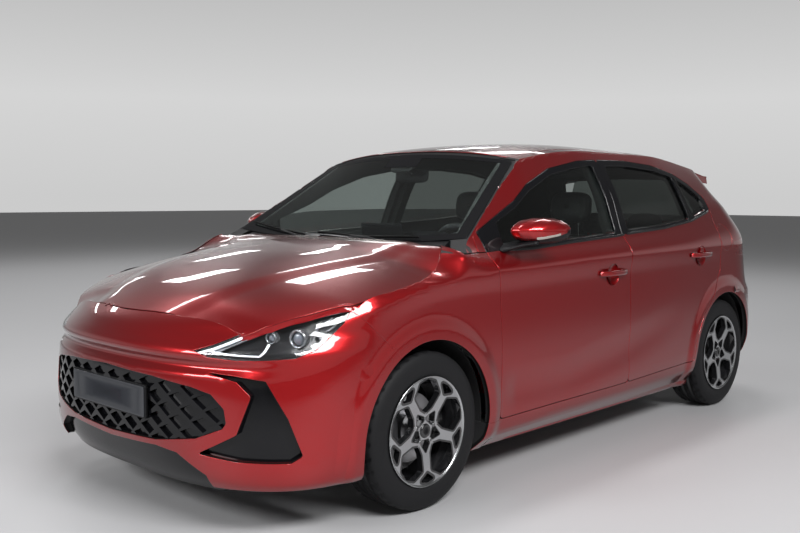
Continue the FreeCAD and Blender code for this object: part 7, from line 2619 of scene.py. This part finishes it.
@dataclass
class Trim:
    """Wipers, window strips, blank plates and the black lower parts."""

    car: Car

    def __post_init__(self) -> None:
        """Takes its finishes from the palette."""
        self.black = self.car.palette.plain(BLACK_TRIM)
        self.gloss = self.car.palette.plain(BLACK_GLOSS)
        self.seal = self.car.palette.plain(SEAL_AND_GAP_SHADE)

    def build(self) -> None:
        """Makes every piece of trim."""
        self.belt()
        self.wipers()
        self.plates()
        self.rear()

    def belt(self) -> None:
        """Strip along the foot of the side windows, in a piece for each door."""
        for door, x0, x1 in (("front_door", station(0.192), station(0.5835)),
                             ("rear_door", station(0.5945), station(0.985))):
            xs = np.linspace(x0, x1, 40)
            zs = belt_line(xs) - 0.001
            path = np.stack([xs, SIDE.y(xs, zs) + 0.0028, zs], -1)
            strip = bar("strip", path, 0.0032, 0.0062, (0, 0, 1), 12, 0.0, 3.0)
            self.car.both(strip, door + "_belt_strip_{}", [self.gloss], door + "_{}", "black_plastic")
        xs = np.array([station(0.8955)] * 14)
        zs = np.linspace(0.736, 0.884, 14) * HEIGHT
        path = np.stack([xs - 0.012 * np.linspace(0, 1, 14), SIDE.y(xs, zs) + 0.001, zs], -1)
        divider = bar("divider", path, 0.004, 0.011, (1, 0, 0), 12, 0.0, 3.0)
        self.car.both(divider, "rear_door_divider_{}", [self.seal], "rear_door_{}", "black_plastic")

    def on_screen(self, a: float, b: float, lift: float) -> Array:
        """Point at a lift above the windscreen."""
        return ScreenForm(-lift).at(np.array([a]), np.array([b]))[0]

    def wipers(self) -> None:
        """Blade, arm and pivot of both wipers."""
        for name, root, tip, heel, toe in (("driver", (0.42, -0.02), (0.12, 0.045), (0.66, 0.035),
                                            (-0.20, 0.075)),
                                           ("passenger", (-0.28, -0.02), (-0.55, 0.05), (-0.30, 0.040),
                                            (-0.93, 0.10))):
            blade = smooth_path([self.on_screen(a, b, 0.010) for a, b in
                                 (heel, ((heel[0] + toe[0]) / 2, (heel[1] + toe[1]) / 2 - 0.004), toe)], 24)
            arm = smooth_path([self.on_screen(root[0], root[1], 0.012),
                               self.on_screen((root[0] + tip[0]) / 2, 0.012, 0.030),
                               self.on_screen(*tip, 0.018)], 18)
            self.car.put(bar("wiper_blade_" + name, blade, 0.004, 0.006, (0.6, 0, 0.8),
                             12).mesh([self.seal]), "shell", "black_plastic")
            self.car.put(bar("wiper_arm_" + name, arm, 0.008, 0.004, (0.6, 0, 0.8), 12,
                             0.4).mesh([self.black]), "shell", "black_plastic")
            cap = lathe("wiper_pivot_" + name, [(0, 0.016), (0.010, 0.015), (0.014, 0.008), (0.016, -0.012),
                                                (0, -0.012)], arm[0], (0.5, 0, 0.86), 20)
            self.car.put(cap.mesh([self.black]), "shell", "black_plastic")

    def plates(self) -> None:
        """Blank plates on their holders, front and rear."""
        outline = rounded([(-0.26, -0.056), (0.26, -0.056), (0.26, 0.056), (-0.26, 0.056)], 0.008, True,
                          0.02)
        plate = board("front_plate", outline, lambda a, b, d: np.stack([2.0525 - d, a, 0.468 + b], -1),
                      0.003, 0.001)
        self.car.put(plate.mesh([self.car.palette.plain(PLATE)]), "shell", "black_plastic")
        holder_line = rounded([(-0.266, -0.062), (0.266, -0.062), (0.266, 0.062), (-0.266, 0.062)], 0.010,
                              True, 0.02)
        holder = board("front_plate_holder", holder_line, lambda a, b,
                       d: np.stack([2.0495 - d, a, 0.468 + b], -1), 0.012, 0.002)
        self.car.put(holder.mesh([self.black]), "shell", "black_plastic")

    def rear(self) -> None:
        """Rear plate and the black panel low in the rear bumper."""
        form = EndForm(False, -0.001)

        def on_tail(a: Array, b: Array, d: Array) -> Array:
            """Carries the plate's outline to the tailgate.

            Args:
                a: first numbers.
                b: second numbers.
                d: depths.

            Returns:
                The points.
            """
            u = np.arcsin(np.clip(a / 0.86, -0.9, 0.9))
            p = form.at(np.abs(u), b)
            return np.stack([p[:, 0] + d - 0.0065, a, b], -1)

        outline = rounded([(-0.26, 0.745), (0.26, 0.745), (0.26, 0.857), (-0.26, 0.857)], 0.008, True, 0.02)
        plate = board("rear_plate", outline, on_tail, 0.004, 0.001)
        self.car.put(plate.mesh([self.car.palette.plain(PLATE)]), "tailgate", "black_plastic")
        lower = Skin("rear_lower_panel", EndForm(False), (-1.25, 1.25, 0.128 * HEIGHT, 0.33 * HEIGHT),
                     [cut(View.END, folded(scaled(((0.0, 0.215), (0.62, 0.215), (0.70, 0.245),
                                                   (0.93, 0.235), (0.93, 0.10), (0.0, 0.10)),
                                                  HALF_WIDTH, HEIGHT)), True, 0.01)], NOSE_PITCH,
                     proud=0.0022, roll=0.0015, hem=0.002)
        self.car.put(lower.build().mesh([self.black]), "shell", "black_plastic")


@dataclass
class WheelDetails:
    """Wheel caps and nuts."""

    car: Car

    def build(self) -> None:
        """Makes the cap and nuts of every wheel."""
        cap_finish = self.car.palette.plain(WHEEL_BLACK)
        steel = self.car.palette.plain(STEEL_NUT)
        for place, x in (("front", FRONT_AXLE_X), ("rear", REAR_AXLE_X)):
            cap = lathe("cap", [(0.0, 0.0865), (0.020, 0.0862), (0.026, 0.0845), (0.0285, 0.081),
                                (0.0285, 0.070), (0.0, 0.070)],
                        (x, TRACK_HALF, AXLE_Z), (0, 1, 0))
            body = "wheel_" + place + "_{}"
            self.car.both(cap, "wheel_cap_" + place + "_{}", [cap_finish], body, "rim_metal")
            nuts = [self.nut(x, math.radians(-54 + 72 * i)) for i in range(5)]
            self.car.both(joined("nuts", nuts), "wheel_nuts_" + place + "_{}", [steel], body, "steel")

    @staticmethod
    def nut(x: float, at: float) -> Shell:
        """One nut on the bolt circle.

        Args:
            x: place of the axle.
            at: angle round the hub.

        Returns:
            The shape.
        """
        r = 0.050
        centre = (x + r * math.cos(at), TRACK_HALF, AXLE_Z + r * math.sin(at))
        return lathe("nut", [(0.0, 0.0835), (0.006, 0.0835), (0.0095, 0.081), (0.0105, 0.070),
                             (0.0, 0.070)], centre, (0, 1, 0), 6)


def joined(name: str, shells: Sequence[Shell]) -> Shell:
    """One shell from several that stay apart in space.

    Args:
        name: name of the piece.
        shells: shapes to join.

    Returns:
        The shape.
    """
    points = np.vstack([s.points for s in shells])
    normals = np.vstack([s.normals for s in shells])
    flats = np.vstack([s.flat for s in shells])
    starts = np.cumsum([0] + [len(s.points) for s in shells[:-1]])
    faces = np.vstack([s.faces + k for s, k in zip(shells, starts)])
    whole = Shell(name, points, faces, normals, flats)
    whole.marks = np.concatenate([s.marks for s in shells])
    return whole


@dataclass
class Cabin:
    """Seats, head restraints, displays, inner mirror and wheel pad."""

    car: Car
    seat_y: float = 0.345
    lean: float = math.atan2(0.229, 0.600)
    bench_lean: float = math.atan2(0.242, 0.540)

    def __post_init__(self) -> None:
        """Takes its finishes from the palette."""
        self.cloth = self.car.palette.cloth()
        self.side = self.car.palette.plain(LEATHER)
        self.plastic = self.car.palette.plain(CABIN)
        self.chrome = self.car.palette.plain(CHROME)

    def soft(self, shell: Shell, material: bpy.types.Material,
             replaces: Sequence[str] = ()) -> None:
        """Puts a padded piece on the shell.

        Args:
            shell: the shape.
            material: its material.
            replaces: nodes that it stands for.
        """
        obj = shell.mesh([material])
        self.car.put(obj, "shell", "seat_fabric", replaces)

    def build(self) -> None:
        """Makes the seats and what stands in front of them."""
        for side, y in (("left", self.seat_y), ("right", -self.seat_y)):
            self.front_seat(side, y)
        self.bench()
        self.front_things()

    @staticmethod
    def bolstered(p: Array) -> Array:
        """Raises the sides of a front seat's cushions.

        Args:
            p: the cushion's own points.

        Returns:
            The points.
        """
        across = np.abs(p[:, :, 1]) / 0.25
        lift = 0.022 * smooth((across - 0.55) / 0.3) - 0.014
        q = p.copy()
        q[:, :, 2] += np.where(q[:, :, 2] > 0, lift * np.minimum(q[:, :, 2] / 0.05, 1.0), 0.0)
        return q

    def head_restraint(self, stem: str, x: float, y: float, z: float, half: Sequence[float]) -> None:
        """Head restraint on its two posts.

        Args:
            stem: end of its name.
            x: its place along the car.
            y: place across the car.
            z: its height.
            half: its half sizes.
        """
        place = leaned((x, y, z), 0.12)
        self.soft(pad("head_restraint_" + stem, half, place, 3.4, 2.6, fine=48), self.side)
        posts = [bar("post", np.array([(x, y + s * 0.052, z - half[0] * 1.9),
                                       (x, y + s * 0.052, z - half[0] * 1.2),
                                       (x, y + s * 0.052, z - half[0] * 0.6)]), 0.006, 0.006, (1, 0, 0),
                     12) for s in (1, -1)]
        self.car.put(joined("head_restraint_posts_" + stem, posts).mesh([self.chrome]), "shell", "steel")

    def front_seat(self, side: str, y: float) -> None:
        """Cushion, backrest, head restraint and frame of a front seat.

        Args:
            side: left or right.
            y: place across the car.
        """
        seams = (-0.60, 0.60)
        cushion = pad("front_cushion_" + side, (0.265, 0.245, 0.070), laid((-0.125, y, 0.405)), 5.0, 3.0,
                      seams, self.bolstered)
        self.soft(cushion, self.cloth, ["front_seats"])
        back = pad("front_backrest_" + side, (0.315, 0.228, 0.062), leaned((-0.4545, y, 0.705), self.lean),
                   4.0, 3.0, seams, self.bolstered)
        self.soft(back, self.cloth)
        self.head_restraint("front_" + side, -0.5755, y, 1.155, (0.088, 0.128, 0.046))
        rails = [bar("rail", np.array([(x, y + s * 0.17, 0.185) for x in (-0.36, -0.25, -0.1, 0.0, 0.08)]),
                     0.016, 0.010, (0, 0, 1), 12)
                 for s in (1, -1)]
        legs = [bar("leg", np.array([(x, y + s * 0.17, z) for z in (0.19, 0.25, 0.30, 0.35)]), 0.010, 0.020,
                    (1, 0, 0), 12)
                for s in (1, -1) for x in (-0.30, 0.04)]
        self.car.put(joined("seat_frame_" + side, rails + legs).mesh([self.plastic]), "shell", "steel")

    def bench(self) -> None:
        """Cushion, backrest and head restraints of the rear bench."""
        seams = (-0.36, 0.36)
        cushion = pad("rear_cushion", (0.290, 0.595, 0.072), laid((-0.992, 0.0, 0.442)), 7.0, 3.0, seams,
                      fine=96)
        self.soft(cushion, self.cloth, ["rear_bench"])
        back = pad("rear_backrest", (0.295, 0.525, 0.064), leaned((-1.288, 0.0, 0.700), self.bench_lean),
                   6.0, 3.0, seams, fine=96)
        self.soft(back, self.cloth)
        for name, y in (("left", 0.33), ("middle", 0.0), ("right", -0.33)):
            self.head_restraint("rear_" + name, -1.425, y, 1.045, (0.070, 0.115, 0.040))

    def front_things(self) -> None:
        """Wheel pad, displays, inner mirror and screen sensor."""
        lo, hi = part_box("steering_wheel")
        hub = (np.array(lo) + np.array(hi)) / 2
        tilt = 0.42
        face = np.array([-math.cos(tilt), 0.0, math.sin(tilt)])
        up = np.array([math.sin(tilt), 0.0, math.cos(tilt)])

        def on_wheel(p: Array) -> Array:
            """Carries the pad's own points to the steering wheel."""
            return hub + p[:, :1] * up + p[:, 1:2] * np.array([0.0, 1.0, 0.0]) + p[:, 2:3] * face

        centre = pad("wheel_pad", (0.062, 0.085, 0.022), on_wheel, 3.0, 2.6, fine=40)
        self.car.put(centre.mesh([self.side]), "steering_wheel", "interior_plastic")
        screen = rounded([(-0.135, -0.075), (0.135, -0.075), (0.135, 0.075), (-0.135, 0.075)], 0.012, True,
                         0.02)
        show = board("centre_display", screen, lambda a, b,
                     d: np.stack([0.545 + 0.2 * b + d, a, 1.005 + b], -1), 0.018, 0.003)
        self.car.put(show.mesh([self.car.palette.plain(BLACK_GLOSS)]), "shell", "interior_plastic")
        small = rounded([(-0.10, -0.055), (0.10, -0.055), (0.10, 0.055), (-0.10, 0.055)], 0.012, True, 0.02)
        dials = board("driver_display", small, lambda a, b,
                      d: np.stack([0.575 + 0.2 * b + d, a + self.seat_y, 0.995 + b], -1), 0.03, 0.003)
        self.car.put(dials.mesh([self.car.palette.plain(BLACK_GLOSS)]), "shell", "interior_plastic")
        top = ScreenForm(0.0).at(np.array([0.0]), np.array([0.86]))[0]
        view = pad("inner_mirror", (0.036, 0.115, 0.010),
                   leaned((top[0] - 0.085, 0.0, top[2] - 0.055), 0.1), 4.0, 2.4, fine=40)
        self.car.put(view.mesh([self.car.palette.plain(BLACK_GLOSS)]), "shell", "interior_plastic")
        stalk = bar("inner_mirror_stalk",
                    smooth_path([(top[0] - 0.012, 0, top[2] - 0.010), (top[0] - 0.05, 0, top[2] - 0.03),
                                                       (top[0] - 0.082, 0, top[2] - 0.05)], 10), 0.010,
                    0.008, (0, 0, 1), 12)
        self.car.put(stalk.mesh([self.plastic]), "shell", "interior_plastic")
        sensor = pad("screen_sensor", (0.05, 0.075, 0.016), self.under_screen, 4.0, 2.6, fine=40)
        self.car.put(sensor.mesh([self.plastic]), "shell", "interior_plastic")

    @staticmethod
    def under_screen(p: Array) -> Array:
        """Place just inside the windscreen at its top middle.

        Args:
            p: the sensor's own points.

        Returns:
            The points.
        """
        foot, head = (ScreenForm(0.024).at(np.array([0.0]), np.array([v]))[0] for v in (0.84, 0.94))
        up = unit(head - foot)
        side = np.array([0.0, 1.0, 0.0])
        return (foot + head) / 2 + p[:, :1] * up + p[:, 1:2] * side + p[:, 2:3] * np.cross(up, side)


NODE_FINISHES: Dict[str, Finish] = {
    "bonnet": BLACK_SATIN, "headlamps": LAMP_DARK, "front_bumper": BLACK_TRIM, "grille": BLACK_GLOSS,
    "front_fenders": BLACK_SATIN, "roof": BLACK_SATIN, "body_sides": BLACK_SATIN, "tail_lamps": LAMP_RED,
    "tailgate": BLACK_SATIN, "rear_bumper": BLACK_TRIM, "floor_pan": UNDER, "wheel_housings": UNDER,
                                    "cowl": BLACK_TRIM,
    "front_subframe": UNDER, "rear_axle": UNDER, "exhaust": EXHAUST, "engine": ENGINE, "dashboard": CABIN,
    "front_seats": CLOTH, "rear_bench": CLOTH, "steering_wheel": LEATHER, "knuckle_left": STEEL,
                                    "knuckle_right": STEEL}
PAINTED_NODES = ("bonnet", "front_bumper", "front_fenders", "roof", "body_sides", "tailgate", "rear_bumper",
                 "front_door_left",
                 "front_door_right", "rear_door_left", "rear_door_right")


def finish_nodes(palette: Palette) -> None:
    """Gives the CAD's own pieces the materials that fit the skins over them.

    Args:
        palette: materials.
    """
    for name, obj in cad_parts.items():
        kind = NODE_FINISHES.get(name)
        if name in PAINTED_NODES or name.startswith("mirror"):
            material = palette.panel()
        elif kind is not None:
            material = palette.plain(kind)
        elif name.startswith("brake_disc"):
            material = palette.plain(DISC)
        elif name.startswith("tyre"):
            material = palette.plain(RUBBER)
        elif name.startswith("rim"):
            material = palette.plain(SILVER_FACE)
        elif "glass" in name or name == "windscreen":
            material = palette.glass("dark_glass", DARK_TINT)
        else:
            material = palette.plain(BLACK_TRIM)
        obj.data.materials.clear()
        obj.data.materials.append(material)


@dataclass
class Studio:
    """Pale floor, soft light and the camera that the photo was taken with."""

    position: Tuple[float, float, float] = (3.81140507, 3.20012233, 1.21339974)
    yaw: float = 3.90009937
    pitch: float = 0.0755296
    roll: float = 0.00424095
    lens: float = 41.687

    def build(self) -> None:
        """Makes floor, surroundings, lamps and camera."""
        self.floor()
        self.world()
        self.lights()
        self.camera()

    def floor(self) -> None:
        """Wide plain floor just below the tyres."""
        data = bpy.data.meshes.new("studio_floor")
        size = 60.0
        data.from_pydata([(-size, -size, 0), (size, -size, 0), (size, size, 0), (-size, size, 0)], [],
                         [(0, 1, 2, 3)])
        obj = bpy.data.objects.new("studio_floor", data)
        bpy.context.scene.collection.objects.link(obj)
        obj.location.z = -0.0005
        m = bpy.data.materials.new("studio_floor")
        m.use_nodes = True
        p = m.node_tree.nodes["Principled BSDF"]
        p.inputs["Base Color"].default_value = (0.46, 0.46, 0.47, 1)
        p.inputs["Roughness"].default_value = 0.45
        p.inputs["Specular IOR Level"].default_value = 0.25
        data.materials.append(m)

    def world(self) -> None:
        """Pale even surroundings, a little brighter overhead."""
        world = bpy.data.worlds.new("studio")
        bpy.context.scene.world = world
        world.use_nodes = True
        t = world.node_tree
        t.nodes.clear()
        n = t.nodes
        out, sky = n.new("ShaderNodeOutputWorld"), n.new("ShaderNodeBackground")
        place, parts = n.new("ShaderNodeTexCoord"), n.new("ShaderNodeSeparateXYZ")
        ramp = n.new("ShaderNodeValToRGB")
        t.links.new(place.outputs["Generated"], parts.inputs["Vector"])
        t.links.new(parts.outputs["Z"], ramp.inputs["Fac"])
        e = ramp.color_ramp.elements
        e[0].position, e[0].color = 0.0, (0.60, 0.60, 0.60, 1)
        e[1].position, e[1].color = 1.0, (0.16, 0.16, 0.16, 1)
        for at, grey in ((0.10, 0.66), (0.22, 0.50), (0.34, 0.14)):
            k = e.new(at)
            k.color = (grey, grey, grey, 1)
        t.links.new(ramp.outputs["Color"], sky.inputs["Color"])
        path, power = n.new("ShaderNodeLightPath"), n.new("ShaderNodeMapRange")
        power.inputs["To Min"].default_value, power.inputs["To Max"].default_value = 0.72, 1.0
        t.links.new(path.outputs["Is Camera Ray"], power.inputs["Value"])
        t.links.new(power.outputs["Result"], sky.inputs["Strength"])
        t.links.new(sky.outputs["Background"], out.inputs["Surface"])

    def lights(self) -> None:
        """Two large soft lamps, and rows of small ceiling panels that the paint and glass mirror."""
        for name, at, size, power in (("key", (2.5, 5.5, 4.8), (4.5, 1.6), 540.0),
                                      ("front", (7.0, -0.5, 3.6), (3.5, 1.4), 260.0)):
            self.lamp(name, at, size, power, Vector((0, 0, 0.5)))
        for i, x in enumerate((-9.0, -5.6, -2.2, 1.2)):
            for j, y in enumerate((-11.0, -7.4, -3.8, -0.2)):
                self.lamp(f"panel_{i}_{j}", (x, y, 4.4), (1.5, 0.6), 34.0, Vector((x, y, 0.0)))

    @staticmethod
    def lamp(name: str, at: Sequence[float], size: Sequence[float], power: float, target: Vector) -> None:
        """One rectangular lamp that faces a point.

        Args:
            name: name of the lamp.
            at: its place.
            size: its two sizes.
            power: power of the lamp.
            target: point that it faces.
        """
        data = bpy.data.lights.new(name, "AREA")
        data.shape = "RECTANGLE"
        data.size, data.size_y = size
        data.energy = power
        obj = bpy.data.objects.new(name, data)
        obj.location = at
        obj.rotation_euler = (target - Vector(at)).to_track_quat("-Z", "Y").to_euler()
        obj.visible_camera = False
        bpy.context.scene.collection.objects.link(obj)

    def camera(self) -> None:
        """Camera at the photograph's place and angle."""
        data = bpy.data.cameras.new("photo_camera")
        data.sensor_width, data.lens = 36.0, self.lens
        obj = bpy.data.objects.new("photo_camera", data)
        look = Vector((math.cos(self.yaw) * math.cos(self.pitch), math.sin(self.yaw) * math.cos(self.pitch),
                       -math.sin(self.pitch)))
        right = look.cross(Vector((0, 0, 1))).normalized()
        up = right.cross(look)
        c, s = math.cos(self.roll), math.sin(self.roll)
        right, up = right * c + up * s, up * c - right * s
        turn = Matrix((right, up, -look)).transposed().to_4x4()
        obj.matrix_world = Matrix.Translation(self.position) @ turn
        bpy.context.scene.collection.objects.link(obj)
        bpy.context.scene.camera = obj


def main() -> None:
    """Dresses the car and sets the stage."""
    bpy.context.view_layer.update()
    palette = Palette()
    finish_nodes(palette)
    car = Car(palette)
    for part in (Bodywork(car), Glazing(car), Lamps(car), LampInsides(car), Mirrors(car), Handles(car),
                 Trim(car), Wheels(car),
                 WheelDetails(car), Cabin(car)):
        part.build()
        LOG.info("built %s", type(part).__name__)
    Studio().build()
    bpy.context.scene.view_settings.view_transform = "Standard"


if __name__ == "__main__":
    main()
